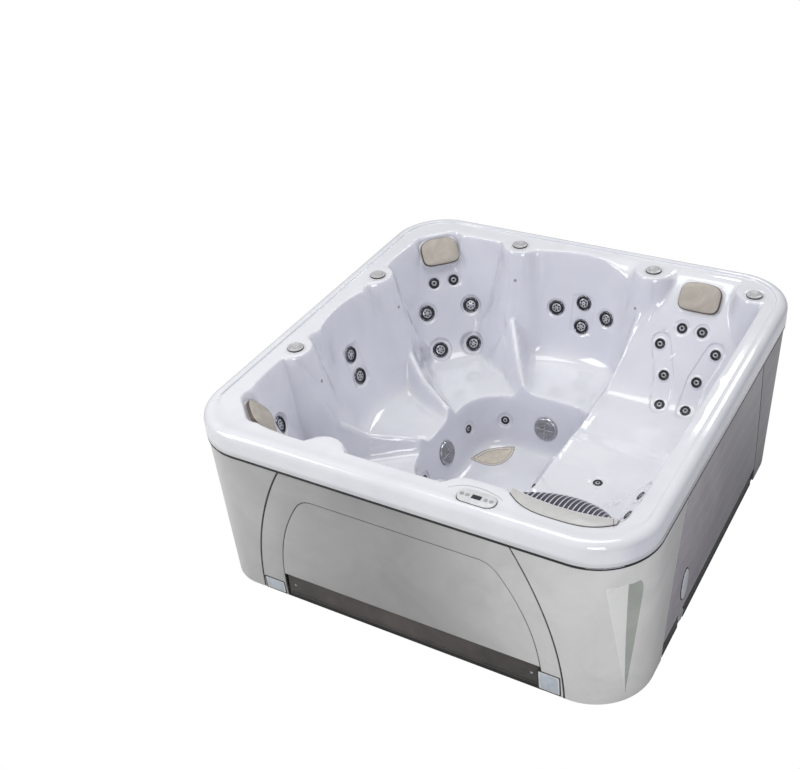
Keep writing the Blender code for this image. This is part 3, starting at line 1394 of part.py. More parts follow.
RECESS_LOW = 0.065
RECESS_TOP_INSET = 0.134
RECESS_CLOSE_RUN = 0.022
RECESS_HIGH = PANEL_TOP - RECESS_TOP_INSET
RECESS_CLOSE = RECESS_HIGH + RECESS_CLOSE_RUN
RECESS_DEPTH = 0.030
RECESS_START = 0.04
RECESS_APEX = math.radians(51.5)
RECESS_LEFT_SPREAD = math.radians(20)
RECESS_VALLEY_SPREAD = math.radians(2)
RECESS_RIGHT_SPREAD = math.radians(14.5)
RECESS_SIDE_STEPS = 3
RECESS_LEVEL_SHARES = (0.28, 0.52, 0.76)


def recess_share(z):
    """How far the recess has opened at a height, from its apex to its top."""
    return min(max((z - RECESS_LOW) / (RECESS_HIGH - RECESS_LOW), RECESS_START), 1)


def corner_angles(z, has_recess):
    """Angles from the front or back face of the columns round a corner."""
    quarter = math.pi / 2
    if not has_recess:
        return [step / ARC_STEPS * quarter for step in range(ARC_STEPS + 1)]
    share = recess_share(z)
    left = RECESS_APEX - RECESS_LEFT_SPREAD * share
    valley = RECESS_APEX - RECESS_VALLEY_SPREAD * share
    right = RECESS_APEX + RECESS_RIGHT_SPREAD * share
    before = [step / RECESS_SIDE_STEPS * left for step in range(RECESS_SIDE_STEPS)]
    after = [right + (quarter - right) * (step + 1) / RECESS_SIDE_STEPS for step in range(RECESS_SIDE_STEPS)]
    return before + [left, valley, right] + after


def recess_depth(z):
    """Depth of the recess's valley at a height."""
    if z <= RECESS_LOW or z >= RECESS_CLOSE:
        return 0.0
    if z <= RECESS_HIGH:
        return RECESS_DEPTH * (z - RECESS_LOW) / (RECESS_HIGH - RECESS_LOW)
    return RECESS_DEPTH * (RECESS_CLOSE - z) / (RECESS_CLOSE - RECESS_HIGH)


def corner_row(z, sign_x, sign_y, has_recess):
    """Points of a corner panel at a height, from its front or back seam to its side seam."""
    half_x = SIDE_BASE + SIDE_DRAFT * z
    half_y = BACK_BASE + SIDE_DRAFT * z if sign_y > 0 else FRONT_BASE + FRONT_DRAFT * z
    seam_x = side_seam(z) if sign_y > 0 else front_seam(z)
    middle_x = half_x - PANEL_RADIUS
    middle_y = half_y - PANEL_RADIUS
    row = [(sign_x * seam_x, sign_y * half_y, z)]
    for column, angle in enumerate(corner_angles(z, has_recess)):
        in_valley = has_recess and column == RECESS_SIDE_STEPS + 1
        radius = PANEL_RADIUS - (recess_depth(z) if in_valley else 0)
        row.append((sign_x * (middle_x + radius * math.sin(angle)),
                    sign_y * (middle_y + radius * math.cos(angle)), z))
    row.append((sign_x * half_x, sign_y * side_seam(z), z))
    return row


def corner_panel(name, sign_x, sign_y, has_recess, finish):
    """Round corner of the cabinet between two curved seams."""
    top = panel_top(max(FRONT_DRAFT, SIDE_DRAFT))
    heights = levels(PANEL_BOTTOM, top, SEAM_STEPS)
    if has_recess:
        heights = [PANEL_BOTTOM, RECESS_LOW]
        heights += [RECESS_LOW + (RECESS_HIGH - RECESS_LOW) * share for share in RECESS_LEVEL_SHARES]
        heights += [RECESS_HIGH, RECESS_CLOSE, top]
    rows = [corner_row(z, sign_x, sign_y, has_recess) for z in heights]
    columns = len(rows[0])
    faces = []
    for k in range(len(rows) - 1):
        for i in range(columns - 1):
            face = (k * columns + i, k * columns + i + 1, (k + 1) * columns + i + 1, (k + 1) * columns + i)
            faces.append(face[::-1] if sign_x * sign_y > 0 else face)
    mesh = bpy.data.meshes.new(name)
    mesh.from_pydata([point for row in rows for point in row], [], faces)
    obj = bpy.data.objects.new(name, mesh)
    PARTS.objects.link(obj)
    solidify = obj.modifiers.new("Wall", "SOLIDIFY")
    solidify.thickness = PANEL_GAUGE
    solidify.offset = -1
    return paint(as_mesh(obj), *finish)


def trim_band():
    """Thin ring between the shell's skirt and the cabinet."""
    outer = rounded_loop(HALF_W - TRIM_INSET, HALF_D - TRIM_INSET, RIM_CORNER_RADIUS - TRIM_INSET, LOOP_STEPS)
    inset = TRIM_INSET + TRIM_WIDTH
    inner = rounded_loop(HALF_W - inset, HALF_D - inset, RIM_CORNER_RADIUS - inset, LOOP_STEPS)
    middle = at(0, 0, PANEL_TOP + TRIM_HEIGHT / 2)
    return paint(plate("trim_band", [outer, inner], TRIM_HEIGHT - 2 * CLEARANCE, middle), *DARK_PLASTIC)


# Base pan: a tray with a rim inside the panels and a pad under the footwell

PAN_FLOOR = 0.020
PAN_RIM = 0.095
PAN_WALL = 0.008
PAN_FRONT = FRONT_BASE + FRONT_DRAFT * PANEL_BOTTOM - CLEARANCE
PAN_FRONT -= PANEL_GAUGE * math.sqrt(1 + FRONT_DRAFT ** 2)
PAN_BACK = BACK_BASE + SIDE_DRAFT * PANEL_BOTTOM - PANEL_GAUGE * math.sqrt(1 + SIDE_DRAFT ** 2) - CLEARANCE
PAN_SIDE = SIDE_BASE + SIDE_DRAFT * PANEL_BOTTOM - PANEL_GAUGE * math.sqrt(1 + SIDE_DRAFT ** 2) - CLEARANCE
PAN_CORNER_EASE = 0.012
PAN_RADIUS = PANEL_RADIUS - PANEL_GAUGE + PAN_CORNER_EASE
PAN_PAD_LENGTH = 0.340
PAN_PAD_WIDTH = 0.480
PAN_PAD_X = -0.100
PAN_PAD_Y = 0.024
PAD_STEPS = 12
DRAIN_Y = -0.410
DRAIN_Z = 0.052
DRAIN_RADIUS = 0.032
DRAIN_THICKNESS = 0.010
DRAIN_EDGE = 0.003
DRAIN_GRIP = 0.005
DRAIN_STEM_RADIUS = 0.012
DRAIN_SIDES = 12


def pan_outline(wall):
    """Outline of the pan, drawn in by a wall."""
    loop = rounded_loop(PAN_SIDE - wall, (PAN_FRONT + PAN_BACK) / 2 - wall, PAN_RADIUS - wall, LOOP_STEPS)
    return shifted(loop, 0, (PAN_BACK - PAN_FRONT) / 2)


def lowest_over(tree, x, y, length, width):
    """Lowest point of the shell's underside over a rectangle."""
    lowest = HEIGHT
    for i in range(PAD_STEPS + 1):
        for j in range(PAD_STEPS + 1):
            start = Vector((x + length * (i / PAD_STEPS - 1 / 2), y + width * (j / PAD_STEPS - 1 / 2), 0))
            hit = tree.ray_cast(start, Vector((0, 0, 1)))
            if hit[0] is not None:
                lowest = min(lowest, hit[0].z)
    return lowest


def drain_matrix():
    """On the outer side of the pan's right rim, with Z outwards."""
    return along((PAN_SIDE, DRAIN_Y, DRAIN_Z), Vector((0, 1, 0)), Vector((0, 0, 1)), Vector((1, 0, 0)))


def base_pan(tree):
    """Tray that the whole tub stands on."""
    pan = plate("base_pan", [pan_outline(0)], PAN_RIM, at(0, 0, PAN_RIM / 2))
    height = PAN_RIM - PAN_FLOOR + CUT_OVERRUN
    hollow = plate("hollow", [pan_outline(PAN_WALL)], height, at(0, 0, PAN_FLOOR + height / 2))
    drain_hole = bmesh.new()
    hole_radius = (DRAIN_STEM_RADIUS + CLEARANCE) / math.cos(math.pi / DRAIN_SIDES)
    add_cylinder(drain_hole, hole_radius, -PAN_WALL - CUT_OVERRUN, CUT_OVERRUN,
                 DRAIN_SIDES, drain_matrix())
    pan = combine(pan, [hollow, from_bmesh("drain_hole", drain_hole)], "DIFFERENCE")
    top = lowest_over(tree, PAN_PAD_X, PAN_PAD_Y, PAN_PAD_LENGTH, PAN_PAD_WIDTH) - CLEARANCE
    low = PAN_FLOOR - CUT_OVERRUN
    pad = block("pad", (PAN_PAD_LENGTH, PAN_PAD_WIDTH, top - low), at(PAN_PAD_X, PAN_PAD_Y, (top + low) / 2))
    return paint(combine(pan, [pad], "UNION"), *DARK_PLASTIC)


def drain_cap():
    """Screw cap low on the right side, with its stem through the pan's rim."""
    base = CLEARANCE
    top = base + DRAIN_THICKNESS
    cap = turned("drain_cap", [(0, top), (DRAIN_RADIUS - DRAIN_EDGE, top), (DRAIN_RADIUS, top - DRAIN_EDGE),
                               (DRAIN_RADIUS, base), (DRAIN_STEM_RADIUS, base),
                               (DRAIN_STEM_RADIUS, -PAN_WALL), (0, -PAN_WALL)],
                 DRAIN_SIDES, drain_matrix())
    grip = block("grip", (DRAIN_RADIUS, DRAIN_GRIP, DRAIN_GRIP), drain_matrix() @ at(0, 0, top))
    return paint(combine(cap, [grip], "UNION"), *DARK_PLASTIC)


# Support frames that stand in the pan behind the panels

FRAME_DEPTH = 0.036
FRAME_WIDTH = 0.045
FRAME_GAP = 0.0015
FRAME_CORNER_GAP = 0.021
FRAME_HALF = FLAT_HALF - FRAME_CORNER_GAP
FRAME_TOP_DROP = 0.028
FRAME_FRONT_TOP_DROP = 0.090
FRAME_BAY = 0.310
FRAME_POST = FRAME_HALF - FRAME_BAY
FRAME_FRONT = PAN_FRONT - PAN_WALL - FRAME_GAP
FRAME_BACK = PAN_BACK - PAN_WALL - FRAME_GAP
FRAME_SIDE = PAN_SIDE - PAN_WALL - FRAME_GAP


def wall_frame(name, turn, outer, top):
    """Upright frame with two inner posts."""
    low = PAN_FLOOR + CLEARANCE
    half_post = FRAME_WIDTH / 2
    outline = [(-FRAME_HALF, low), (FRAME_HALF, low), (FRAME_HALF, top), (-FRAME_HALF, top)]
    edges = [-FRAME_HALF + half_post, -FRAME_POST, FRAME_POST, FRAME_HALF - half_post]
    bays = []
    for left, right in zip(edges, edges[1:]):
        bays.append([(left + half_post, low + FRAME_WIDTH), (right - half_post, low + FRAME_WIDTH),
                     (right - half_post, top - FRAME_WIDTH), (left + half_post, top - FRAME_WIDTH)])
    matrix = face_matrix(turn, outer - FRAME_DEPTH / 2, 0)
    return paint(plate(name, [outline] + bays, FRAME_DEPTH, matrix), *FRAME_STEEL)


# Equipment behind the access door

PUMP_X = 0.340
PUMP_INSET = 0.310
PUMP_Y = PUMP_INSET - FRONT_BASE
PUMP_AXIS_Z = 0.125
MOTOR_RADIUS = 0.070
MOTOR_LENGTH = 0.210
MOTOR_BELL = 0.012
MOTOR_SIDES = 16
MOTOR_FOOT_LENGTH = 0.130
MOTOR_FOOT_WIDTH = 0.110
WET_RADIUS = 0.085
WET_LENGTH = 0.065
WET_PORT_RADIUS = 0.026
WET_PORT_LENGTH = 0.060
WET_FOOT = 0.050
HEATER_X = 0.0
HEATER_INSET = 0.480
HEATER_Y = HEATER_INSET - FRONT_BASE
HEATER_Z = 0.090
HEATER_RADIUS = 0.032
HEATER_LENGTH = 0.420
HEATER_FLANGE_RADIUS = 0.042
HEATER_FLANGE = 0.016
HEATER_SADDLE = 0.030
HEATER_SADDLE_X = 0.130
BOX_LENGTH = 0.340
BOX_WIDTH = 0.100
BOX_HEIGHT = 0.210
BOX_INSET = 0.125
BOX_Y = BOX_INSET - FRONT_BASE
BOX_BEVEL = 0.008
OZONE_X = 0.330
OZONE_LENGTH = 0.110
OZONE_WIDTH = 0.070
OZONE_HEIGHT = 0.150


def lying(x, y, z, sign):
    """Matrix whose Z axis runs along X, towards the given sign."""
    return along((x, y, z), Vector((0, 1, 0)), Vector((0, 0, sign)), Vector((sign, 0, 0)))


def foot(x, y, length, width, top):
    """Block that stands on the pan's floor."""
    low = PAN_FLOOR + CLEARANCE
    return block("foot", (length, width, top - low), at(x, y, (top + low) / 2))


def pump(number, sign):
    """Motor with a foot, and the wet end that its shaft drives."""
    motor_x = sign * PUMP_X
    profile = [(0, MOTOR_LENGTH / 2), (MOTOR_RADIUS - MOTOR_BELL, MOTOR_LENGTH / 2),
               (MOTOR_RADIUS, MOTOR_LENGTH / 2 - MOTOR_BELL),
               (MOTOR_RADIUS, MOTOR_BELL - MOTOR_LENGTH / 2),
               (MOTOR_RADIUS - MOTOR_BELL, -MOTOR_LENGTH / 2), (0, -MOTOR_LENGTH / 2)]
    motor = turned("pump_motor_" + number, profile, MOTOR_SIDES, lying(motor_x, PUMP_Y, PUMP_AXIS_Z, sign))
    base = foot(motor_x, PUMP_Y, MOTOR_FOOT_LENGTH, MOTOR_FOOT_WIDTH, PUMP_AXIS_Z - MOTOR_RADIUS / 2)
    paint(combine(motor, [base], "UNION"), *MOTOR_BLUE)
    wet_x = motor_x - sign * (MOTOR_LENGTH / 2 + CLEARANCE + WET_LENGTH / 2)
    half = WET_LENGTH / 2
    profile = [(0, half + WET_PORT_LENGTH), (WET_PORT_RADIUS, half + WET_PORT_LENGTH),
               (WET_PORT_RADIUS, half), (WET_RADIUS - MOTOR_BELL, half), (WET_RADIUS, half - MOTOR_BELL),
               (WET_RADIUS, -half), (0, -half)]
    wet = turned("pump_wet_end_" + number, profile, MOTOR_SIDES, lying(wet_x, PUMP_Y, PUMP_AXIS_Z, -sign))
    port = tube("port", [(wet_x, PUMP_Y, PUMP_AXIS_Z + WET_RADIUS / 2),
                         (wet_x, PUMP_Y, PUMP_AXIS_Z + WET_RADIUS + WET_PORT_LENGTH)], WET_PORT_RADIUS)
    base = foot(wet_x, PUMP_Y, WET_FOOT, MOTOR_FOOT_WIDTH, PUMP_AXIS_Z - WET_RADIUS / 2)
    paint(combine(wet, [port, base], "UNION"), *CHARCOAL)


def heater():
    """Heater tube with end flanges on two saddles."""
    half = HEATER_LENGTH / 2
    profile = [(0, half), (HEATER_FLANGE_RADIUS, half), (HEATER_FLANGE_RADIUS, half - HEATER_FLANGE),
               (HEATER_RADIUS, half - HEATER_FLANGE), (HEATER_RADIUS, HEATER_FLANGE - half),
               (HEATER_FLANGE_RADIUS, HEATER_FLANGE - half), (HEATER_FLANGE_RADIUS, -half), (0, -half)]
    body = turned("heater", profile, MOTOR_SIDES, lying(HEATER_X, HEATER_Y, HEATER_Z, 1))
    feet = [foot(HEATER_X + sign * HEATER_SADDLE_X, HEATER_Y, HEATER_SADDLE, HEATER_RADIUS,
                 HEATER_Z - HEATER_RADIUS / 2) for sign in (-1, 1)]
    return paint(combine(body, feet, "UNION"), *FRAME_STEEL)


def standing_box(name, x, length, width, height, finish):
    """Housing that stands on the pan's floor."""
    low = PAN_FLOOR + CLEARANCE
    return paint(block(name, (length, width, height), at(x, BOX_Y, low + height / 2), BOX_BEVEL), *finish)


# The whole tub

def build_tub():
    """Builds every part and cuts the fittings' holes in the shell."""
    shell = thicken(shell_sheet())
    tree = BVHTree.FromObject(shell, bpy.context.evaluated_depsgraph_get())
    holes = bmesh.new()
    for name, jets in JET_GROUPS.items():
        jet_group(name, jets, tree, holes)
    for name, place_shares in COVERS:
        suction_cover(name, place_shares, tree, holes)
    for number, place_shares in KNOBS:
        knob_and_valve(number, place_shares, holes)
    for name, place_shares, turn in HEADRESTS:
        headrest("headrest_" + name, place_shares, turn, holes)
    control_panel(holes)
    filter_grille()
    filter_cartridge(tree)
    trim_band()
    for name, sign_x, sign_y, finish in (("corner_panel_front_left", -1, -1, SILVER_PANEL),
                                         ("corner_panel_front_right", 1, -1, SILVER_PANEL),
                                         ("corner_panel_back_left", -1, 1, GREY_PANEL),
                                         ("corner_panel_back_right", 1, 1, GREY_PANEL)):
        corner_panel(name, sign_x, sign_y, name == "corner_panel_front_right", finish)
    front_panel()
    front_door()
    kick_strip()
    side_panel("right_panel", math.pi / 2, SIDE_BASE, RIGHT_PANEL_BOTTOM, GREY_PANEL)
    side_panel("back_panel", math.pi, BACK_BASE, PANEL_BOTTOM, GREY_PANEL)
    side_panel("left_panel", -math.pi / 2, SIDE_BASE, PANEL_BOTTOM, GREY_PANEL)
    base_pan(tree)
    drain_cap()
    wall_frame("frame_front", 0, FRAME_FRONT, HEIGHT - FRAME_FRONT_TOP_DROP)
    wall_frame("frame_right", math.pi / 2, FRAME_SIDE, HEIGHT - FRAME_TOP_DROP)
    wall_frame("frame_back", math.pi, FRAME_BACK, HEIGHT - FRAME_TOP_DROP)
    wall_frame("frame_left", -math.pi / 2, FRAME_SIDE, HEIGHT - FRAME_TOP_DROP)
    pump("1", -1)
    pump("2", 1)
    heater()
    standing_box("control_box", 0, BOX_LENGTH, BOX_WIDTH, BOX_HEIGHT, CHARCOAL)
    standing_box("ozone_generator", OZONE_X, OZONE_LENGTH, OZONE_WIDTH, OZONE_HEIGHT, PIPE_WHITE)
    cutter = from_bmesh("shell_holes", holes)
    PARTS.objects.unlink(cutter)
    CUTTERS.objects.link(cutter)
    cutter.hide_render = True
    cutter.display_type = "WIRE"
    cut = shell.modifiers.new("Holes", "BOOLEAN")
    cut.operation = "DIFFERENCE"
    cut.solver = "EXACT"
    cut.object = cutter
    paint(shell, *ACRYLIC)


build_tub()
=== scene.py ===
"""Looks of the hot tub: its moulded shell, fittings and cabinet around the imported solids."""
import math

import bmesh
import bpy
import numpy as np
from mathutils import Matrix, Vector


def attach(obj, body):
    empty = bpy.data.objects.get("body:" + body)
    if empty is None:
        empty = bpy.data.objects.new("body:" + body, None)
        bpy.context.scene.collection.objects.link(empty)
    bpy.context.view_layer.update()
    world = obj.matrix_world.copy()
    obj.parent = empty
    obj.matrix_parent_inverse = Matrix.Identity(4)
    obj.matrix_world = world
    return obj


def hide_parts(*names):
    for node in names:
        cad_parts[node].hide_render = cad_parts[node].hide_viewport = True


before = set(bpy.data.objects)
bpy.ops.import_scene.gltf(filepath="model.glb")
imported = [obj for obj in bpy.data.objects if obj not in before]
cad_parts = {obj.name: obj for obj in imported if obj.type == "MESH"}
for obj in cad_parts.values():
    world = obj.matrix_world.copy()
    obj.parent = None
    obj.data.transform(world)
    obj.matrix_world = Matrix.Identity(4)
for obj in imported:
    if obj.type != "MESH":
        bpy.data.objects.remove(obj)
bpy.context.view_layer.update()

# Driving dimensions
WIDTH = 2.13
DEPTH = 2.20
HEIGHT = 0.95
RIM_CORNER_RADIUS = 0.28
RIM_ROLL = 0.038
SKIRT_DROP = 0.106
CLEARANCE = 0.0003

# The lip: a raised outer band, a groove and the flat deck inside it
GROOVE_INSET = 0.059
DECK_STEP = 0.008
STEP_WIDTH = 0.012
FRONT_STEP_START = 0.040
FRONT_STEP_WIDTH = 0.060
FRONT_DECK_REACH = 0.24
FRONT_DECK_BLEND = 0.10
LIP_WIDTH_LEFT = 0.128
LIP_WIDTH_RIGHT = 0.112
LIP_WIDTH_BACK = 0.124
LIP_WIDTH_FRONT = 0.130
EDGE_ROUND = 0.045
RIDGE_ROUND = 0.035

# Levels of the seats, the steps and the floor
FOOTWELL_LEVEL = 0.050
CORNER_SEAT_LEVEL = 0.325
BACK_SEAT_LEVEL = 0.360
LEFT_SEAT_LEVEL = 0.335
STEP_LEVEL = 0.420
UPPER_STEP_LEVEL = 0.680
LOUNGE_LEVEL = 0.405
KNEE_RISE = 0.035
FILTER_WELL_LEVEL = 0.420

HALF_W = WIDTH / 2
HALF_D = DEPTH / 2
DECK_Z = HEIGHT - DECK_STEP
TRIM_TOP = HEIGHT - SKIRT_DROP
DIAGONAL = math.sqrt(0.5)


# Smooth blends of heights

def blend_min(a, b, width):
    """Lower of two heights, rounded over the given height."""
    share = np.clip(0.5 + 0.5 * (b - a) / width, 0, 1)
    return b * (1 - share) + a * share - width * share * (1 - share)


def blend_max(a, b, width):
    """Higher of two heights, rounded over the given height."""
    return -blend_min(-a, -b, width)


def smooth_step(value):
    """Goes from 0 to 1 with level ends."""
    value = np.clip(value, 0, 1)
    return value * value * (3 - 2 * value)


def ramp(distance, slope, cove):
    """Level before zero and a slope after it, with a cove of the given width."""
    return slope * cove * np.logaddexp(0, distance / cove)


def rounded_box(x, y, half_x, half_y, radius):
    """Distance outside a rounded rectangle about the origin, negative inside."""
    qx = np.abs(x) - half_x + radius
    qy = np.abs(y) - half_y + radius
    outside = np.hypot(np.maximum(qx, 0), np.maximum(qy, 0))
    return np.minimum(np.maximum(qx, qy), 0) + outside - radius


# Walls of a seat

WALL_POWER = 6.0


def joined_rise(rises):
    """Rise of several walls together, with round corners between them."""
    total = sum(rise ** WALL_POWER for rise in rises)
    return total ** (1 / WALL_POWER)


def wall_to_edge(x, y, direction, edge, level, slope, cove, bow_radius=0.0):
    """Rise of a wall that reaches the deck where a point lies edge along direction."""
    nx, ny = direction
    along = nx * x + ny * y
    across = -ny * x + nx * y
    base = edge - (DECK_Z - level) / slope
    if bow_radius:
        base = base - across ** 2 / (2 * bow_radius)
    return ramp(along - base, slope, cove)


def side_of_line(x, y, start, end):
    """Distance to the left of the line from start to end."""
    dx, dy = end[0] - start[0], end[1] - start[1]
    length = math.hypot(dx, dy)
    return (-dy * (x - start[0]) + dx * (y - start[1])) / length


# Ridges between the seats: crest points as shares of half width, half depth and height

RIDGE_LEFT_BACK_SHARES = ((-0.806, 0.375, 0.80), (-0.735, 0.335, 0.60), (-0.60, 0.250, 0.470),
                          (-0.42, 0.148, 0.420), (-0.33, 0.118, 0.385))
RIDGE_BACK_LEFT_SHARES = ((-0.392, 0.800, 0.82), (-0.325, 0.705, 0.63), (-0.225, 0.565, 0.480),
                          (-0.135, 0.430, 0.425), (-0.100, 0.375, 0.390))
RIDGE_LEFT_FRONT_SHARES = ((-0.806, -0.370, 0.80), (-0.735, -0.330, 0.60), (-0.60, -0.245, 0.470),
                           (-0.42, -0.140, 0.420), (-0.33, -0.100, 0.385))
RIDGE_FRONT_SHARES = ((-0.440, -0.850, 0.93), (-0.355, -0.760, 0.74), (-0.200, -0.540, 0.545),
                      (-0.105, -0.365, 0.450), (-0.085, -0.310, 0.430))
RIDGE_STEP_SHARES = ((0.420, -0.850, 0.93), (0.380, -0.760, 0.72), (0.310, -0.600, 0.545),
                     (0.285, -0.450, 0.480), (0.280, -0.370, 0.460))
RIDGE_SIDE_SLOPE = 1.9
RIDGE_HALF_WIDTH = 0.006


def scaled(point_shares):
    """A place given as shares of half width, half depth and height."""
    x, y, z = point_shares
    return Vector((x * HALF_W, y * HALF_D, z * HEIGHT))


def ridge_height(x, y, crest_shares):
    """Height of a ridge that follows its crest points and falls off on both sides."""
    crest = [scaled(point) for point in crest_shares]
    height = None
    for a, b in zip(crest, crest[1:]):
        run = (b.x - a.x, b.y - a.y)
        length2 = run[0] ** 2 + run[1] ** 2
        share = np.clip(((x - a.x) * run[0] + (y - a.y) * run[1]) / length2, 0, 1)
        away = np.hypot(x - a.x - share * run[0], y - a.y - share * run[1])
        soft = np.sqrt(away ** 2 + RIDGE_HALF_WIDTH ** 2) - RIDGE_HALF_WIDTH
        piece = a.z + share * (b.z - a.z) - RIDGE_SIDE_SLOPE * soft
        height = piece if height is None else np.maximum(height, piece)
    return height


# Pods: round widenings of the deck that carry the knobs and the control panel

POD_RADIUS = 0.105
POD_SLOPE = 4.2
POD_NOSE_LEFT = 0.222
POD_NOSE_BACK = 0.238
POD_NOSE_FRONT = 0.200
SIDE_KNOB_Y = 0.378
BACK_KNOB_X = 0.371
PANEL_POD_HALF = 0.075
CORNER_POD_RADIUS = 0.125
CORNER_POD_INSET = 0.150

PODS = (
    (-HALF_W + POD_NOSE_LEFT - POD_RADIUS, SIDE_KNOB_Y, 0.0, POD_RADIUS),
    (-HALF_W + POD_NOSE_LEFT - POD_RADIUS, -SIDE_KNOB_Y, 0.0, POD_RADIUS),
    (-BACK_KNOB_X, HALF_D - POD_NOSE_BACK + POD_RADIUS, 0.0, POD_RADIUS),
    (BACK_KNOB_X, HALF_D - POD_NOSE_BACK + POD_RADIUS, 0.0, POD_RADIUS),
    (-BACK_KNOB_X, -HALF_D + POD_NOSE_FRONT - POD_RADIUS, 0.0, POD_RADIUS),
    (BACK_KNOB_X, -HALF_D + POD_NOSE_FRONT - POD_RADIUS, PANEL_POD_HALF, POD_RADIUS),
    (HALF_W - CORNER_POD_INSET, HALF_D - CORNER_POD_INSET, 0.0, CORNER_POD_RADIUS),
)


def pod_height(x, y, pod):
    """A pod stands above the deck inside its outline and falls steeply outside it."""
    centre_x, centre_y, half_length, radius = pod
    away = np.hypot(np.maximum(np.abs(x - centre_x) - half_length, 0), y - centre_y)
    return DECK_Z + POD_SLOPE * (radius - away)


# The seats

COVE = 0.028
TIGHT_COVE = 0.018
SIDE_WALL_SLOPE = 4.5
CORNER_BACK_SLOPE = 2.1
CORNER_BACK_CUT = 0.305
CORNER_FRONT_SLOPE = 1.95
CORNER_FRONT_CUT = 0.325
WALL_SLOPE = 3.0
BACK_SEAT_BOW = 0.58
LEFT_SEAT_BOW = 0.60
LEFT_SEAT_SLOPE = 3.0
LEFT_SEAT_REACH = 0.039
LEFT_LIP_SLOPE = 9.0
CORNER_SIDE_EDGE_LEFT = 0.141
CORNER_SIDE_EDGE_BACK = 0.160
BACK_SEAT_RIGHT_EDGE = 0.362
BACK_SEAT_RIGHT_SLOPE = 7.0


def ridge_line(crest_shares):
    """The two ends of a ridge in plan, from the lip to the footwell."""
    first = scaled(crest_shares[0])
    last = scaled(crest_shares[-2])
    return (first.x, first.y), (last.x, last.y)


def plain_wall(distance):
    """Rise of a wall of the usual slope, which starts where the distance is 0."""
    return ramp(distance, WALL_SLOPE, TIGHT_COVE)


def ridge_wall(x, y, crest_shares, sign):
    """Rise of the wall at a ridge: to the left of its line with sign 1, to the right with -1."""
    return plain_wall(sign * side_of_line(x, y, *ridge_line(crest_shares)))


def corner_seat(x, y, sign, left_ridge, right_ridge):
    """Corner seat at the left: sign 1 is at the back and -1 at the front."""
    level = CORNER_SEAT_LEVEL
    slope = CORNER_BACK_SLOPE if sign > 0 else CORNER_FRONT_SLOPE
    reach = (HALF_W + HALF_D) * DIAGONAL - (CORNER_BACK_CUT if sign > 0 else CORNER_FRONT_CUT)
    to_corner = (-DIAGONAL, sign * DIAGONAL)
    edge_y = HALF_D - (CORNER_SIDE_EDGE_BACK if sign > 0 else LIP_WIDTH_FRONT)
    rises = [
        wall_to_edge(x, y, to_corner, reach, level, slope, COVE),
        wall_to_edge(x, y, (-1, 0), HALF_W - CORNER_SIDE_EDGE_LEFT, level, SIDE_WALL_SLOPE, TIGHT_COVE),
        wall_to_edge(x, y, (0, sign), edge_y, level, SIDE_WALL_SLOPE, TIGHT_COVE),
        ridge_wall(x, y, left_ridge, -sign),
        ridge_wall(x, y, right_ridge, sign),
        plain_wall((x - sign * y) * DIAGONAL),
    ]
    return level + joined_rise(rises)


def back_seat(x, y):
    """Middle seat at the back, with a wall that is bowed in plan."""
    level = BACK_SEAT_LEVEL
    rises = [
        wall_to_edge(x, y, (0, 1), HALF_D - LIP_WIDTH_BACK, level, SIDE_WALL_SLOPE, COVE, BACK_SEAT_BOW),
        ridge_wall(x, y, RIDGE_BACK_LEFT_SHARES, -1),
        wall_to_edge(x, y, (1, 0), BACK_SEAT_RIGHT_EDGE, level, BACK_SEAT_RIGHT_SLOPE, TIGHT_COVE),
        plain_wall(-y),
    ]
    return level + joined_rise(rises)


def left_seat(x, y):
    """Middle seat at the left, with a wall that is bowed in plan."""
    level = LEFT_SEAT_LEVEL
    rises = [
        wall_to_edge(x, y, (-1, 0), HALF_W - LIP_WIDTH_LEFT + LEFT_SEAT_REACH, level,
                     LEFT_SEAT_SLOPE, COVE, LEFT_SEAT_BOW),
        wall_to_edge(x, y, (-1, 0), HALF_W - LIP_WIDTH_LEFT, level, LEFT_LIP_SLOPE, COVE, LEFT_SEAT_BOW),
        ridge_wall(x, y, RIDGE_LEFT_BACK_SHARES, 1),
        ridge_wall(x, y, RIDGE_LEFT_FRONT_SHARES, -1),
        plain_wall(x),
    ]
    return level + joined_rise(rises)


STEP_RISER_Y = 0.660
UPPER_STEP_INNER_Y = 0.480


def entry_steps(x, y):
    """Step and upper step at the front, between the front ridge and the step ridge."""
    sides = [ridge_wall(x, y, RIDGE_FRONT_SHARES, 1), ridge_wall(x, y, RIDGE_STEP_SHARES, -1)]
    lower = STEP_LEVEL + joined_rise(sides + [plain_wall(-y - STEP_RISER_Y), plain_wall(y)])
    front = wall_to_edge(x, y, (0, -1), HALF_D - LIP_WIDTH_FRONT, UPPER_STEP_LEVEL,
                         SIDE_WALL_SLOPE, TIGHT_COVE)
    upper = UPPER_STEP_LEVEL + joined_rise(sides + [front, plain_wall(y + UPPER_STEP_INNER_Y)])
    return blend_min(lower, upper, RIDGE_ROUND)


LOUNGE_BACK_Y = 0.570
LOUNGE_BACK_SLOPE = 1.50
LOUNGE_TOP_SLOPE = 1.0
LOUNGE_TOP_Y = 0.840
LOUNGE_COVE = 0.022
LOUNGE_RIGHT_SLOPE = 12.0
LOUNGE_LEFT_X = 0.250
KNEE_START_Y = 0.240
KNEE_RUN = 0.160
FOOT_SIDE_X = 0.600
FOOT_SIDE_SLOPE = 1.2
FOOT_SIDE_START_Y = 0.200
FOOT_SIDE_RUN = 0.220
FOOT_WALL_Y = 0.565
FOOT_WALL_SLOPE = 2.1


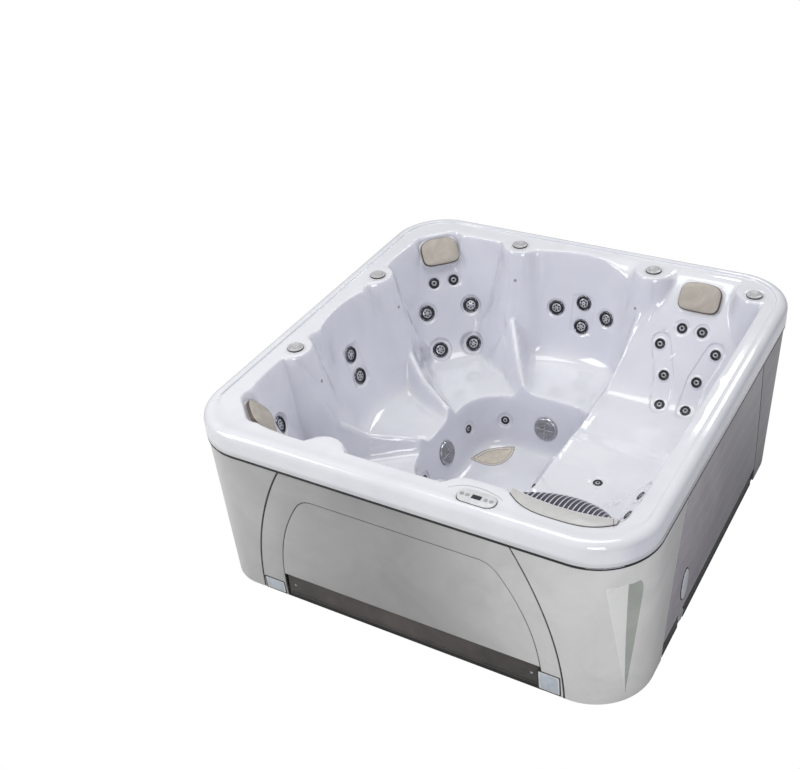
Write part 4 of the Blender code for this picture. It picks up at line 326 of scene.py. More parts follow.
def lounger(x, y):
    """Long seat at the right: sloped back, knee rise, leg trough and foot wall."""
    knee = KNEE_RISE * smooth_step((KNEE_START_Y - y) / KNEE_RUN)
    level = LOUNGE_LEVEL + knee
    back = ramp(y - LOUNGE_BACK_Y, LOUNGE_BACK_SLOPE, LOUNGE_COVE)
    top_rise = LOUNGE_BACK_SLOPE * (LOUNGE_TOP_Y - LOUNGE_BACK_Y)
    top = top_rise + LOUNGE_TOP_SLOPE * (y - LOUNGE_TOP_Y)
    back = blend_min(back, np.maximum(top, 0), RIDGE_ROUND)
    foot_share = smooth_step((-y - FOOT_SIDE_START_Y) / FOOT_SIDE_RUN)
    rises = [
        np.maximum(back, 0),
        wall_to_edge(x, y, (1, 0), HALF_W - LIP_WIDTH_RIGHT, LOUNGE_LEVEL, LOUNGE_RIGHT_SLOPE, TIGHT_COVE),
        plain_wall(LOUNGE_LEFT_X - x),
        ridge_wall(x, y, RIDGE_STEP_SHARES, 1),
        ramp(x - FOOT_SIDE_X, FOOT_SIDE_SLOPE, COVE) * foot_share,
        ramp(-y - FOOT_WALL_Y, FOOT_WALL_SLOPE, TIGHT_COVE),
    ]
    return level + joined_rise(rises)


# The filter well at the front right

WELL_X = 0.690
WELL_Y = -0.795
WELL_HALF_X = 0.180
WELL_HALF_Y = 0.085
WELL_RADIUS = 0.035
WELL_SLOPE = 8.0


def filter_well(x, y):
    """Deep pocket for the filter, behind its grille."""
    away = rounded_box(x - WELL_X, y - WELL_Y, WELL_HALF_X, WELL_HALF_Y, WELL_RADIUS)
    return FILTER_WELL_LEVEL + ramp(away, WELL_SLOPE, TIGHT_COVE / 3)


# The footwell

FOOTWELL_LEFT = 0.337
FOOTWELL_RIGHT = 0.190
FOOTWELL_BACK = 0.385
FOOTWELL_FRONT = 0.337
FOOTWELL_ROUND = 0.155
FOOTWELL_CORNER = 0.050
FOOTWELL_SLOPE = 4.5
MOUND_X = 0.238
MOUND_Y = 0.016
MOUND_TOP = 0.400
MOUND_SLOPE = 2.0


def footwell(x, y):
    """Deep middle with a round left end and a foot mound at its right wall."""
    half_x = (FOOTWELL_LEFT + FOOTWELL_RIGHT) / 2
    half_y = (FOOTWELL_BACK + FOOTWELL_FRONT) / 2
    own_x = x - (FOOTWELL_RIGHT - FOOTWELL_LEFT) / 2
    own_y = y - (FOOTWELL_BACK - FOOTWELL_FRONT) / 2
    round_end = rounded_box(own_x, own_y, half_x, half_y, FOOTWELL_ROUND)
    square_end = rounded_box(own_x, own_y, half_x, half_y, FOOTWELL_CORNER)
    away = np.where(own_x < 0, round_end, square_end)
    well = FOOTWELL_LEVEL + ramp(away, FOOTWELL_SLOPE, TIGHT_COVE)
    mound = MOUND_TOP - MOUND_SLOPE * np.hypot(x - MOUND_X, y - MOUND_Y)
    return blend_max(well, mound, RIDGE_ROUND)


# Headrest recesses: place shares, turn of the facing direction and tilt

HEADREST_WIDTH = 0.208
HEADREST_HEIGHT = 0.150
HEADREST_THICKNESS = 0.034
HEADREST_CORNER = 0.045
HEADREST_MARGIN = 0.008
RECESS_SLOPE = 4.0
HEADREST_TILT = math.radians(48)
HEADRESTS = (
    ("back_left", (-0.764, 0.767, 0.908), math.radians(135)),
    ("front_left", (-0.764, -0.767, 0.908), math.radians(225)),
    ("lounge", (0.594, 0.815, 0.912), math.radians(90)),
)


def headrest_recess(x, y, centre_shares, turn):
    """Flat tilted bed with steep sides that a headrest lies in."""
    centre = scaled(centre_shares)
    out_x, out_y = math.cos(turn), math.sin(turn)
    up = (x - centre.x) * out_x + (y - centre.y) * out_y
    across = -(x - centre.x) * out_y + (y - centre.y) * out_x
    half_up = (HEADREST_HEIGHT / 2 + HEADREST_MARGIN) * math.cos(HEADREST_TILT)
    half_across = HEADREST_WIDTH / 2 + HEADREST_MARGIN
    away = rounded_box(across, up, half_across, half_up, HEADREST_CORNER)
    return centre.z + up * math.tan(HEADREST_TILT) + ramp(away, RECESS_SLOPE, TIGHT_COVE / 3)


def rim_distance(x, y):
    """Distance inwards from the outer edge of the rim."""
    return -rounded_box(x, y, HALF_W, HALF_D, RIM_CORNER_RADIUS)


def deck_height(x, y):
    """Top of the lip: the raised outer band and the lower deck."""
    inset = rim_distance(x, y)
    front = smooth_step((FRONT_DECK_REACH - y - HALF_D) / FRONT_DECK_BLEND)
    start = GROOVE_INSET - STEP_WIDTH / 2 + (FRONT_STEP_START - GROOVE_INSET + STEP_WIDTH / 2) * front
    width = STEP_WIDTH + (FRONT_STEP_WIDTH - STEP_WIDTH) * front
    return HEIGHT - DECK_STEP * smooth_step((inset - start) / width)


def shell_height(x, y):
    """Height of the shell's bathing side over a point of the plan."""
    seats = corner_seat(x, y, 1, RIDGE_LEFT_BACK_SHARES, RIDGE_BACK_LEFT_SHARES)
    for other in (corner_seat(x, y, -1, RIDGE_LEFT_FRONT_SHARES, RIDGE_FRONT_SHARES), back_seat(x, y),
                  left_seat(x, y), entry_steps(x, y), lounger(x, y)):
        seats = blend_min(seats, other, RIDGE_ROUND)
    for crest in (RIDGE_LEFT_BACK_SHARES, RIDGE_BACK_LEFT_SHARES, RIDGE_LEFT_FRONT_SHARES,
                  RIDGE_FRONT_SHARES, RIDGE_STEP_SHARES):
        seats = blend_max(seats, ridge_height(x, y, crest), RIDGE_ROUND)
    for pod in PODS:
        seats = blend_max(seats, pod_height(x, y, pod), RIDGE_ROUND)
    for _, place_shares, turn in HEADRESTS:
        seats = blend_min(seats, headrest_recess(x, y, place_shares, turn), RIDGE_ROUND / 3)
    for well in (filter_well(x, y), footwell(x, y)):
        seats = blend_min(seats, well, RIDGE_ROUND)
    return blend_min(seats, deck_height(x, y), EDGE_ROUND)

# Places on the shell

TUB = "tub"
SLOPE_STEP = 0.0005
SEAT_STEPS = 40


def slope_at(x, y):
    """Slope of the bathing side along X and Y."""
    return [(shell_height(x + dx, y + dy) - shell_height(x - dx, y - dy)) / (2 * SLOPE_STEP)
            for dx, dy in ((SLOPE_STEP, 0), (0, SLOPE_STEP))]


def along(origin, x_axis, y_axis, z_axis):
    """Matrix with the given axes and origin."""
    matrix = Matrix((x_axis, y_axis, z_axis)).transposed().to_4x4()
    matrix.translation = origin
    return matrix


def at(x, y, z):
    """Translation matrix."""
    return Matrix.Translation((x, y, z))


def seat_matrices(places):
    """Matrices on the shell nearest to several places, with Z along the surface's normal."""
    targets = np.array([tuple(scaled(place)) for place in places])
    x, y = targets[:, 0].copy(), targets[:, 1].copy()
    for _ in range(SEAT_STEPS):
        slope_x, slope_y = slope_at(x, y)
        off = targets - np.stack([x, y, shell_height(x, y)], axis=1)
        lean = 1 + slope_x ** 2 + slope_y ** 2
        x = x + (off[:, 0] + off[:, 2] * slope_x) / lean / 2
        y = y + (off[:, 1] + off[:, 2] * slope_y) / lean / 2
    matrices = []
    for place in zip(x, y, shell_height(x, y), slope_x, slope_y):
        normal = Vector((-place[3], -place[4], 1)).normalized()
        level = Vector((0, 0, 1)).cross(normal)
        x_axis = level.normalized() if level.length > SLOPE_STEP else Vector((1, 0, 0))
        matrices.append(along(Vector(place[:3]), x_axis, normal.cross(x_axis), normal))
    return matrices


# Fittings: kind and place shares of half width, half depth and height; a bend is a point of the pipe

JET_GROUPS = {
    "jets_back_left": [
        ("small", (-0.761, 0.692, 0.747)), ("small", (-0.689, 0.765, 0.744)),
        ("large", (-0.595, 0.764, 0.598)), ("large", (-0.547, 0.689, 0.398)),
        ("large", (-0.670, 0.563, 0.406)), ("large", (-0.756, 0.601, 0.603))],
    "jets_back": [
        ("middle", (-0.131, 0.810, 0.671)), ("middle", (0.003, 0.809, 0.583)),
        ("middle", (0.135, 0.815, 0.665)), ("middle", (0.004, 0.835, 0.718))],
    "jets_lounge_back": [
        ("lounge", (0.544, 0.722, 0.777)), ("lounge", (0.460, 0.667, 0.696)),
        ("lounge", (0.512, 0.598, 0.560)), ("lounge", (0.528, 0.520, 0.424)),
        ("lounge", (0.653, 0.520, 0.424)), ("lounge", (0.669, 0.598, 0.561)),
        ("lounge", (0.725, 0.665, 0.701)), ("lounge", (0.640, 0.718, 0.780))],
    "jets_left": [
        ("large", (-0.832, 0.010, 0.709)), ("large", (-0.793, 0.013, 0.581))],
    "jets_front_left": [
        ("small", (-0.724, -0.716, 0.779)), ("large", (-0.802, -0.594, 0.728)),
        ("large", (-0.737, -0.568, 0.564)), ("large", (-0.656, -0.522, 0.394)),
        ("large", (-0.541, -0.641, 0.401)), ("large", (-0.582, -0.721, 0.569)),
        ("large", (-0.613, -0.791, 0.729))],
    "jets_footwell": [
        ("floor", (-0.209, 0.368, 0.200)), ("bend", (-0.340, 0.362, 0.185)),
        ("floor", (-0.343, 0.235, 0.200)), ("bend", (-0.413, 0.095, 0.124)),
        ("bend", (-0.413, -0.055, 0.124)), ("floor", (-0.342, -0.191, 0.207)),
        ("bend", (-0.338, -0.318, 0.185)), ("floor", (-0.206, -0.330, 0.209))],
    "jets_footwell_mound": [
        ("floor", (0.133, 0.067, 0.200)), ("floor", (0.133, -0.036, 0.200))],
    "jets_lounge_seat": [
        ("floor", (0.798, -0.568, 0.767)), ("floor", (0.798, -0.456, 0.783)),
        ("bend", (0.817, -0.409, 0.379)), ("floor", (0.496, -0.140, 0.462))],
}
INSERT_JETS = {("jets_back_left", 2): "jet_insert_1", ("jets_back_left", 3): "jet_insert_2",
               ("jets_back_left", 4): "jet_insert_3", ("jets_back_left", 5): "jet_insert_4"}
JET_RADII = {"large": 0.044, "middle": 0.042, "small": 0.030, "lounge": 0.027, "floor": 0.023}
# Flat bed round a jet: its radius, its depth and the width of its edge
JET_BEDS = {"large": (0.058, 0.0060, 0.006), "middle": (0.053, 0.0050, 0.006),
            "small": (0.039, 0.0045, 0.005), "lounge": (0.036, 0.0025, 0.004),
            "floor": (0.043, 0.0030, 0.004)}
WIDE_BEDS = {("jets_back_left", 3): (0.066, 0.0100, 0.007), ("jets_back_left", 4): (0.066, 0.0100, 0.007),
             ("jets_front_left", 3): (0.066, 0.0100, 0.007), ("jets_front_left", 4): (0.066, 0.0100, 0.007),
             ("jets_lounge_back", 0): (0.042, 0.0050, 0.005), ("jets_lounge_back", 7): (0.042, 0.0050, 0.005)}
COVERS = (
    ("suction_cover_back", (0.008, 0.377, 0.207)),
    ("suction_cover_left", (-0.346, 0.020, 0.209)),
    ("suction_cover_front", (0.008, -0.335, 0.211)),
)
KNOBS = (
    ("1", (-0.862, -0.351)), ("2", (-0.859, 0.336)), ("3", (-0.348, 0.855)),
    ("4", (0.347, 0.857)), ("5", (0.839, 0.812)),
)


def jet_bed(group, index, kind):
    """Radius, depth and edge of the bed that a jet sits in."""
    return WIDE_BEDS.get((group, index), JET_BEDS[kind])


# The bathing side: a fine sheet with the beds, channels and grooves pressed into it

SHEET_COLUMNS = 330
SHEET_ROWS = 82
SHEET_SAMPLES = 480
ROLL_STEPS = 7
SKIRT_STEPS = 2
LOOP_SEGMENTS = 64
SHEET_CENTRE = (-0.056 * HALF_W, 0.027 * HALF_D)
BEND_WEIGHT = 0.10
GROOVE_WEIGHT = 0.006
GROOVE_NEAR = 0.009
EDGE_FOLD = 0.008
GROOVE_DEPTH = 0.0042
GROOVE_HALF = 0.0050
GROOVE_FRONT_Y = -0.905
GROOVE_FADE = 0.060
PRESS_REACH = 0.060
CHANNEL_DEPTH = 0.0060
CHANNEL_EDGE = 0.0060
# Channels between the lounger's jets: place shares of a line and the half width
CHANNELS = (
    (((0.463, 0.672, 0.705), (0.512, 0.598, 0.560), (0.525, 0.530, 0.440), (0.527, 0.508, 0.416)), 0.052),
    (((0.722, 0.670, 0.710), (0.669, 0.598, 0.561), (0.655, 0.530, 0.440), (0.653, 0.508, 0.416)), 0.052),
    (((0.798, -0.600, 0.765), (0.798, -0.420, 0.790)), 0.044),
)
SEAT_PADS = (
    ((0.0035, 0.823, 0.652), 0.062, 0.108),
    ((-0.8150, 0.0115, 0.646), 0.062, 0.112),
)
PAD_DEPTH = 0.004
PAD_EDGE = 0.005
PAD_ROUND = 0.012
HEADREST_SINK = 0.003
HEADREST_BED_EDGE = 0.004
KNOB_BED = 0.0425
KNOB_RING = 0.052
KNOB_RING_DEPTH = 0.0016
KNOB_RING_EDGE = 0.003
PANEL_X = 0.369
PANEL_INSET = 0.088
PANEL_LENGTH = 0.172
PANEL_WIDTH = 0.080
PANEL_BED_MARGIN = 0.006
COVER_RADIUS = 0.0635
COVER_BED = 0.070
COVER_BED_DEPTH = 0.002


def rounded_loop(half_x, half_y, radius, segments):
    """Outline of a rounded rectangle about the origin."""
    points = []
    for corner, (sign_x, sign_y) in enumerate(((1, 1), (-1, 1), (-1, -1), (1, -1))):
        for step in range(segments + 1):
            angle = (corner + step / segments) * math.pi / 2
            points.append((sign_x * (half_x - radius) + radius * math.cos(angle),
                           sign_y * (half_y - radius) + radius * math.sin(angle)))
    return points


def outward(x, y):
    """Unit direction from a point to the nearest point of the rim."""
    qx = np.abs(x) - HALF_W + RIM_CORNER_RADIUS
    qy = np.abs(y) - HALF_D + RIM_CORNER_RADIUS
    in_corner = (qx > 0) & (qy > 0)
    length = np.where(in_corner, np.hypot(qx, qy), 1)
    nx = np.where(in_corner, qx / length, np.where(qx > qy, 1.0, 0.0))
    ny = np.where(in_corner, qy / length, np.where(qx > qy, 0.0, 1.0))
    return nx * np.sign(x), ny * np.sign(y)


def rim_places(columns):
    """Points evenly spaced along the outer edge of the rim."""
    loop = np.array(rounded_loop(HALF_W, HALF_D, RIM_CORNER_RADIUS, LOOP_SEGMENTS))
    closed = np.vstack([loop, loop[:1]])
    lengths = np.hypot(*np.diff(closed, axis=0).T)
    travel = np.concatenate([[0], np.cumsum(lengths)])
    wanted = np.linspace(0, travel[-1], columns, endpoint=False)
    return np.interp(wanted, travel, closed[:, 0]), np.interp(wanted, travel, closed[:, 1])


def radial_rows(start_x, start_y, row_count):
    """Points from the rolled edge to the middle, closer where the shell bends."""
    centre_x, centre_y = SHEET_CENTRE
    share = np.linspace(0, 1, SHEET_SAMPLES)
    x = start_x[:, None] + (centre_x - start_x)[:, None] * share
    y = start_y[:, None] + (centre_y - start_y)[:, None] * share
    z = shell_height(x, y)
    run = np.hypot(np.diff(x), np.diff(y))
    rise = np.diff(z)
    bend = np.abs(np.diff(np.arctan2(rise, run)))
    weight = np.hypot(run, rise)
    weight[:, 1:] += BEND_WEIGHT * bend
    near_groove = np.abs(rim_distance(x, y) - GROOVE_INSET)[:, 1:] < GROOVE_NEAR
    weight += GROOVE_WEIGHT * near_groove
    travel = np.concatenate([np.zeros((len(x), 1)), np.cumsum(weight, axis=1)], axis=1)
    rows = []
    for i in range(len(x)):
        wanted = np.linspace(0, travel[i, -1], row_count + 1)[1:-1]
        chosen = np.interp(wanted, travel[i], share)
        rows.append(np.stack([start_x[i] + (centre_x - start_x[i]) * chosen,
                              start_y[i] + (centre_y - start_y[i]) * chosen], axis=-1))
    plan = np.array(rows)
    heights = shell_height(plan[..., 0], plan[..., 1])
    return np.concatenate([plan, heights[..., None]], axis=-1)


def sheet_points(columns, row_count):
    """Columns of points from inside the skirt's lower edge, over the roll, to the middle."""
    x, y = rim_places(columns)
    nx, ny = outward(x, y)
    rings = [np.stack([x - nx * EDGE_FOLD, y - ny * EDGE_FOLD, np.full_like(x, TRIM_TOP)], axis=-1)]
    for step in range(SKIRT_STEPS):
        height = TRIM_TOP + CLEARANCE + (HEIGHT - RIM_ROLL - TRIM_TOP) * step / SKIRT_STEPS
        rings.append(np.stack([x, y, np.full_like(x, height)], axis=-1))
    for step in range(ROLL_STEPS + 1):
        angle = step / ROLL_STEPS * math.pi / 2
        inset = RIM_ROLL * (1 - math.cos(angle))
        height = HEIGHT - RIM_ROLL + RIM_ROLL * math.sin(angle)
        rings.append(np.stack([x - nx * inset, y - ny * inset, np.full_like(x, height)], axis=-1))
    inner = radial_rows(rings[-1][:, 0], rings[-1][:, 1], row_count)
    return np.concatenate([np.stack(rings, axis=1), inner], axis=1)


def sheet_faces(columns, rows):
    """Quads between neighbouring columns, and a fan round the middle point."""
    faces = []
    for i in range(columns):
        j = (i + 1) % columns
        for k in range(rows - 1):
            faces.append((i * rows + k, j * rows + k, j * rows + k + 1, i * rows + k + 1))
        faces.append((i * rows + rows - 1, j * rows + rows - 1, columns * rows))
    return faces


def sheet_mesh(name, columns, row_count):
    """The bathing side as an open mesh with its faces up."""
    points = sheet_points(columns, row_count)
    middle = [*SHEET_CENTRE, float(shell_height(*np.array(SHEET_CENTRE)))]
    verts = points.reshape(-1, 3).tolist() + [middle]
    mesh = bpy.data.meshes.new(name)
    mesh.from_pydata(verts, [], sheet_faces(*points.shape[:2]))
    return mesh


def seated_places():
    """Every place of a fitting or a pad on the shell."""
    places = [place for jets in JET_GROUPS.values() for kind, place in jets if kind != "bend"]
    return places + [place for _, place in COVERS] + [place for place, _, _ in SEAT_PADS]


SEATS = dict(zip(seated_places(), seat_matrices(seated_places())))


def headrest_matrix(centre_shares, turn):
    """Matrix of a headrest: X across it, Y up the slope and Z out of its bed."""
    out = Vector((math.cos(turn), math.sin(turn), 0))
    up = out * math.cos(HEADREST_TILT) + Vector((0, 0, math.sin(HEADREST_TILT)))
    across = Vector((-math.sin(turn), math.cos(turn), 0))
    normal = across.cross(up)
    if normal.z < 0:
        across, normal = -across, -normal
    return along(scaled(centre_shares), across, up, normal)


def pressed_beds():
    """Every flat bed: its matrix, half sizes, corner radius, depth and edge width."""
    beds = []
    for group, jets in JET_GROUPS.items():
        for index, (kind, place_shares) in enumerate(jets):
            if kind != "bend":
                radius, depth, edge = jet_bed(group, index, kind)
                beds.append((SEATS[place_shares], radius, radius, radius, depth, edge))
    for _, place_shares in COVERS:
        beds.append((SEATS[place_shares], COVER_BED, COVER_BED, COVER_BED, COVER_BED_DEPTH, KNOB_RING_EDGE))
    for _, (share_x, share_y) in KNOBS:
        place = at(share_x * HALF_W, share_y * HALF_D, DECK_Z)
        beds.append((place, KNOB_RING, KNOB_RING, KNOB_RING, KNOB_RING_DEPTH, KNOB_RING_EDGE))
        beds.append((place, KNOB_BED, KNOB_BED, KNOB_BED, 0.0, KNOB_RING_EDGE))
    for _, place_shares, turn in HEADRESTS:
        beds.append((headrest_matrix(place_shares, turn), HEADREST_WIDTH / 2 + HEADREST_MARGIN,
                     HEADREST_HEIGHT / 2 + HEADREST_MARGIN, HEADREST_CORNER, HEADREST_SINK,
                     HEADREST_BED_EDGE))
    panel = at(PANEL_X, -HALF_D + PANEL_INSET, DECK_Z)
    half_width = PANEL_WIDTH / 2 + PANEL_BED_MARGIN
    beds.append((panel, PANEL_LENGTH / 2 + PANEL_BED_MARGIN, half_width, half_width, 0.0, KNOB_RING_EDGE))
    return beds


BEDS = pressed_beds()


def to_local(points, matrix):
    """Points in the frame of a matrix."""
    axes = np.array(matrix.to_3x3())
    return (points - np.array(matrix.translation)) @ axes


def bed_share(local, half_x, half_y, radius, edge):
    """How far points lie inside a bed, from 0 outside its edge to 1 on its floor."""
    away = rounded_box(local[:, 0], local[:, 1], half_x, half_y, min(radius, half_x, half_y))
    share = smooth_step(-away / edge)
    return np.where(np.abs(local[:, 2]) < PRESS_REACH, share, 0)


def channel_share(points, line_shares, half_width, edge):
    """How far points lie inside a round-ended channel that follows a line."""
    line = [np.array(scaled(point)) for point in line_shares]
    away = None
    for a, b in zip(line, line[1:]):
        run = b - a
        share = np.clip((points - a) @ run / (run @ run), 0, 1)
        piece = np.linalg.norm(points - a - share[:, None] * run, axis=1)
        away = piece if away is None else np.minimum(away, piece)
    return smooth_step((half_width - away) / edge)


def groove_share(points):
    """How far points lie in the groove round the lip, which ends towards the front."""
    inset = rim_distance(points[:, 0], points[:, 1])
    across = smooth_step(1 - np.abs(inset - GROOVE_INSET) / GROOVE_HALF)
    kept = smooth_step((points[:, 1] - GROOVE_FRONT_Y) / GROOVE_FADE)
    return np.where(points[:, 2] > TRIM_TOP, across * kept, 0)


def pressed(points, normals, grow=0.0):
    """Points of the sheet with the channels, pads, beds and groove pressed in; beds can be grown."""
    push = CHANNEL_DEPTH * sum(channel_share(points, line, half, CHANNEL_EDGE) for line, half in CHANNELS)
    for place_shares, half_x, half_y in SEAT_PADS:
        local = to_local(points, SEATS[place_shares])
        push += PAD_DEPTH * bed_share(local, half_x, half_y, PAD_ROUND, PAD_EDGE)
    push += GROOVE_DEPTH * groove_share(points)
    result = points - normals * push[:, None]
    for matrix, half_x, half_y, radius, depth, edge in BEDS:
        local = to_local(result, matrix)
        move = bed_share(local, half_x + grow, half_y + grow, radius + grow, edge) * (local[:, 2] + depth)
        if grow:
            move = np.maximum(move, 0)
        result = result - np.outer(move, np.array(matrix.to_3x3())[:, 2])
    return result


def sheet_normals(points):
    """Normals of the bathing side at its points; level points of the rim's roll get an upright one."""
    slope_x, slope_y = slope_at(points[:, 0], points[:, 1])
    normals = np.stack([-slope_x, -slope_y, np.ones(len(points))], axis=1)
    return normals / np.linalg.norm(normals, axis=1)[:, None]
# Materials

NOISE_ROUGHNESS = 0.6
NOISE_DISTORTION = 1.2
NOISE_DETAIL = 5
FINE_DETAIL = 2
MOTTLE_LOW = 0.35
MOTTLE_HIGH = 0.65
COAT_ROUGHNESS = 0.03


def tone(red, green, blue):
    """Linear colour from the red, green and blue of a display, from 0 to 255."""
    shares = [value / 255 for value in (red, green, blue)]
    return tuple(s / 12.92 if s < 0.04045 else ((s + 0.055) / 1.055) ** 2.4 for s in shares)


def add_node(tree, kind, values=(), **settings):
    """New shader node with its settings and the first values of its inputs."""
    node = tree.nodes.new("ShaderNode" + kind)
    for name, value in settings.items():
        setattr(node, name, value)
    for name, value in dict(values).items():
        node.inputs[name].default_value = value
    return node


def link(tree, *pairs):
    """Links outputs to inputs: a node and its output, a node and its input."""
    for start, output, end, socket in pairs:
        tree.links.new(start.outputs[output], end.inputs[socket])


def mottle_group():
    """Two colours mixed by soft noise in object space, with a second finer noise as a height."""
    group = bpy.data.node_groups.new("mottled_colour", "ShaderNodeTree")
    for way, kind, names in (("INPUT", "Color", ("Light", "Dark")), ("OUTPUT", "Color", ("Color",)),
                             ("INPUT", "Float", ("Scale", "Contrast", "Fine Scale")),
                             ("OUTPUT", "Float", ("Height",))):
        for name in names:
            group.interface.new_socket(name, in_out=way, socket_type="NodeSocket" + kind)
    start, end = group.nodes.new("NodeGroupInput"), group.nodes.new("NodeGroupOutput")
    place = add_node(group, "TexCoord")
    noise = add_node(group, "TexNoise", {"Detail": NOISE_DETAIL, "Roughness": NOISE_ROUGHNESS,
                                         "Distortion": NOISE_DISTORTION})
    fine = add_node(group, "TexNoise", {"Detail": FINE_DETAIL})
    stretch = add_node(group, "MapRange", {"From Min": MOTTLE_LOW, "From Max": MOTTLE_HIGH})
    share = add_node(group, "Math", operation="MULTIPLY")
    mix = add_node(group, "Mix", data_type="RGBA")
    link(group, (place, "Object", noise, "Vector"), (place, "Object", fine, "Vector"),
         (start, "Scale", noise, "Scale"), (start, "Fine Scale", fine, "Scale"),
         (noise, "Fac", stretch, "Value"), (stretch, "Result", share, 0), (start, "Contrast", share, 1),
         (share, "Value", mix, "Factor"), (start, "Light", mix, "A"), (start, "Dark", mix, "B"),
         (mix, "Result", end, "Color"), (fine, "Fac", end, "Height"))
    return group


MOTTLE = mottle_group()


def mottled_linear(name, light, dark, roughness, scale=4.0, contrast=1.0, fine_scale=60.0, metallic=0.0,
                   coat=0.0, bump=0.0, bump_distance=0.0005):
    """Principled material whose colour is mottled between two close linear colours."""
    material = bpy.data.materials.new(name)
    material.use_nodes = True
    tree = material.node_tree
    shader = tree.nodes["Principled BSDF"]
    group = tree.nodes.new("ShaderNodeGroup")
    group.node_tree = MOTTLE
    for node, values in ((group, {"Light": (*light, 1), "Dark": (*dark, 1), "Scale": scale,
                                  "Contrast": contrast, "Fine Scale": fine_scale}),
                         (shader, {"Roughness": roughness, "Metallic": metallic, "Coat Weight": coat,
                                   "Coat Roughness": COAT_ROUGHNESS})):
        for socket, value in values.items():
            node.inputs[socket].default_value = value
    link(tree, (group, "Color", shader, "Base Color"))
    if bump:
        relief = add_node(tree, "Bump", {"Strength": bump, "Distance": bump_distance})
        link(tree, (group, "Height", relief, "Height"), (relief, "Normal", shader, "Normal"))
    return material


def mottled(name, light, dark, roughness, **looks):
    """Mottled material from two display colours."""
    return mottled_linear(name, tone(*light), tone(*dark), roughness, **looks)


def object_axis(tree, output, axis):
    """One axis of the object's own places or normals."""
    split = add_node(tree, "SeparateXYZ")
    link(tree, (add_node(tree, "TexCoord"), output, split, "Vector"))
    return split.outputs[axis]


def spread(tree, source, low, high, first=0.0, last=1.0, curve="LINEAR"):
    """A value mapped from the range low to high to the range first to last."""
    node = add_node(tree, "MapRange", {"From Min": low, "From Max": high, "To Min": first, "To Max": last},
                    interpolation_type=curve)
    tree.links.new(source, node.inputs["Value"])
    return node.outputs["Result"]


def mix_into(material, blend, factor, colour):
    """Mixes a colour into a material's own; factor and colour are values or outputs of nodes."""
    tree = material.node_tree
    shader = tree.nodes["Principled BSDF"]
    mix = add_node(tree, "Mix", data_type="RGBA", blend_type=blend)
    tree.links.new(shader.inputs["Base Color"].links[0].from_socket, mix.inputs["A"])
    for socket, value in (("Factor", factor), ("B", colour)):
        if isinstance(value, bpy.types.NodeSocket):
            tree.links.new(value, mix.inputs[socket])
        else:
            mix.inputs[socket].default_value = value
    link(tree, (mix, "Result", shader, "Base Color"))
    return material


def shaded_walls(material, shade_colour):
    """Paints shade into a material where the object's own surface stands upright, but not on the front of its
    rim.
    """
    tree = material.node_tree
    share = add_node(tree, "Math", operation="MULTIPLY")
    upright = spread(tree, object_axis(tree, "Normal", "Z"), UPRIGHT_Z, LEVEL_Z, 1, 0, "SMOOTHSTEP")
    behind = spread(tree, object_axis(tree, "Object", "Y"), RIM_FRONT_Y, RIM_BACK_Y, curve="SMOOTHSTEP")
    tree.links.new(upright, share.inputs[0])
    tree.links.new(behind, share.inputs[1])
    return mix_into(material, "MULTIPLY", share.outputs["Value"], (*shade_colour, 1))


def graded(material, axis, low, high, stops):
    """Multiplies a material's colour by greys that change along an axis of the object; on the silver panels
    this is a painted reflection and painted shade, on the side panels painted shade.
    """
    tree = material.node_tree
    ramp_node = add_node(tree, "ValToRGB")
    ramp_node.color_ramp.interpolation = "B_SPLINE"
    elements = ramp_node.color_ramp.elements
    while len(elements) < len(stops):
        elements.new(0.5)
    for element, (position, grey) in zip(elements, stops):
        element.position = position
        element.color = (grey, grey, grey, 1)
    tree.links.new(spread(tree, object_axis(tree, "Object", axis), low, high), ramp_node.inputs["Fac"])
    return mix_into(material, "MULTIPLY", 1, ramp_node.outputs["Color"])


def lined(material, pitch, width, strength, colour):
    """Adds faint light lines that run level round the object at a pitch."""
    tree = material.node_tree
    wrap = add_node(tree, "Math", {1: pitch / 2}, operation="PINGPONG")
    tree.links.new(object_axis(tree, "Object", "Z"), wrap.inputs[0])
    near = spread(tree, wrap.outputs["Value"], 0, width, strength, 0)
    return mix_into(material, "MIX", near, (*tone(*colour), 1))


# Painted shade on the shell: its upright walls are multiplied by a pale lavender shade colour, except on the
# front of the rim.
UPRIGHT_Z = 0.35
LEVEL_Z = 0.85
RIM_FRONT_Y = -1.06
RIM_BACK_Y = -0.97
ACRYLIC = shaded_walls(
    mottled_linear("glossy_acrylic", (0.83, 0.84, 0.865), (0.75, 0.76, 0.80), 0.10, scale=3.0, contrast=0.6,
                   coat=0.6, bump=0.03, fine_scale=9.0, bump_distance=0.01), (0.84, 0.84, 0.89))
FIBREGLASS = mottled_linear("shell_backing", (0.52, 0.49, 0.42), (0.40, 0.37, 0.31), 0.7, scale=9.0, bump=0.5,
                            fine_scale=90.0, bump_distance=0.002)
JET_STEEL = mottled("jet_metal", (128, 130, 137), (84, 86, 93), 0.2, scale=60.0, metallic=1.0)
STAINLESS = mottled("brushed_metal", (205, 207, 211), (158, 161, 168), 0.24, scale=40.0, metallic=1.0,
                    bump=0.15, fine_scale=400.0)
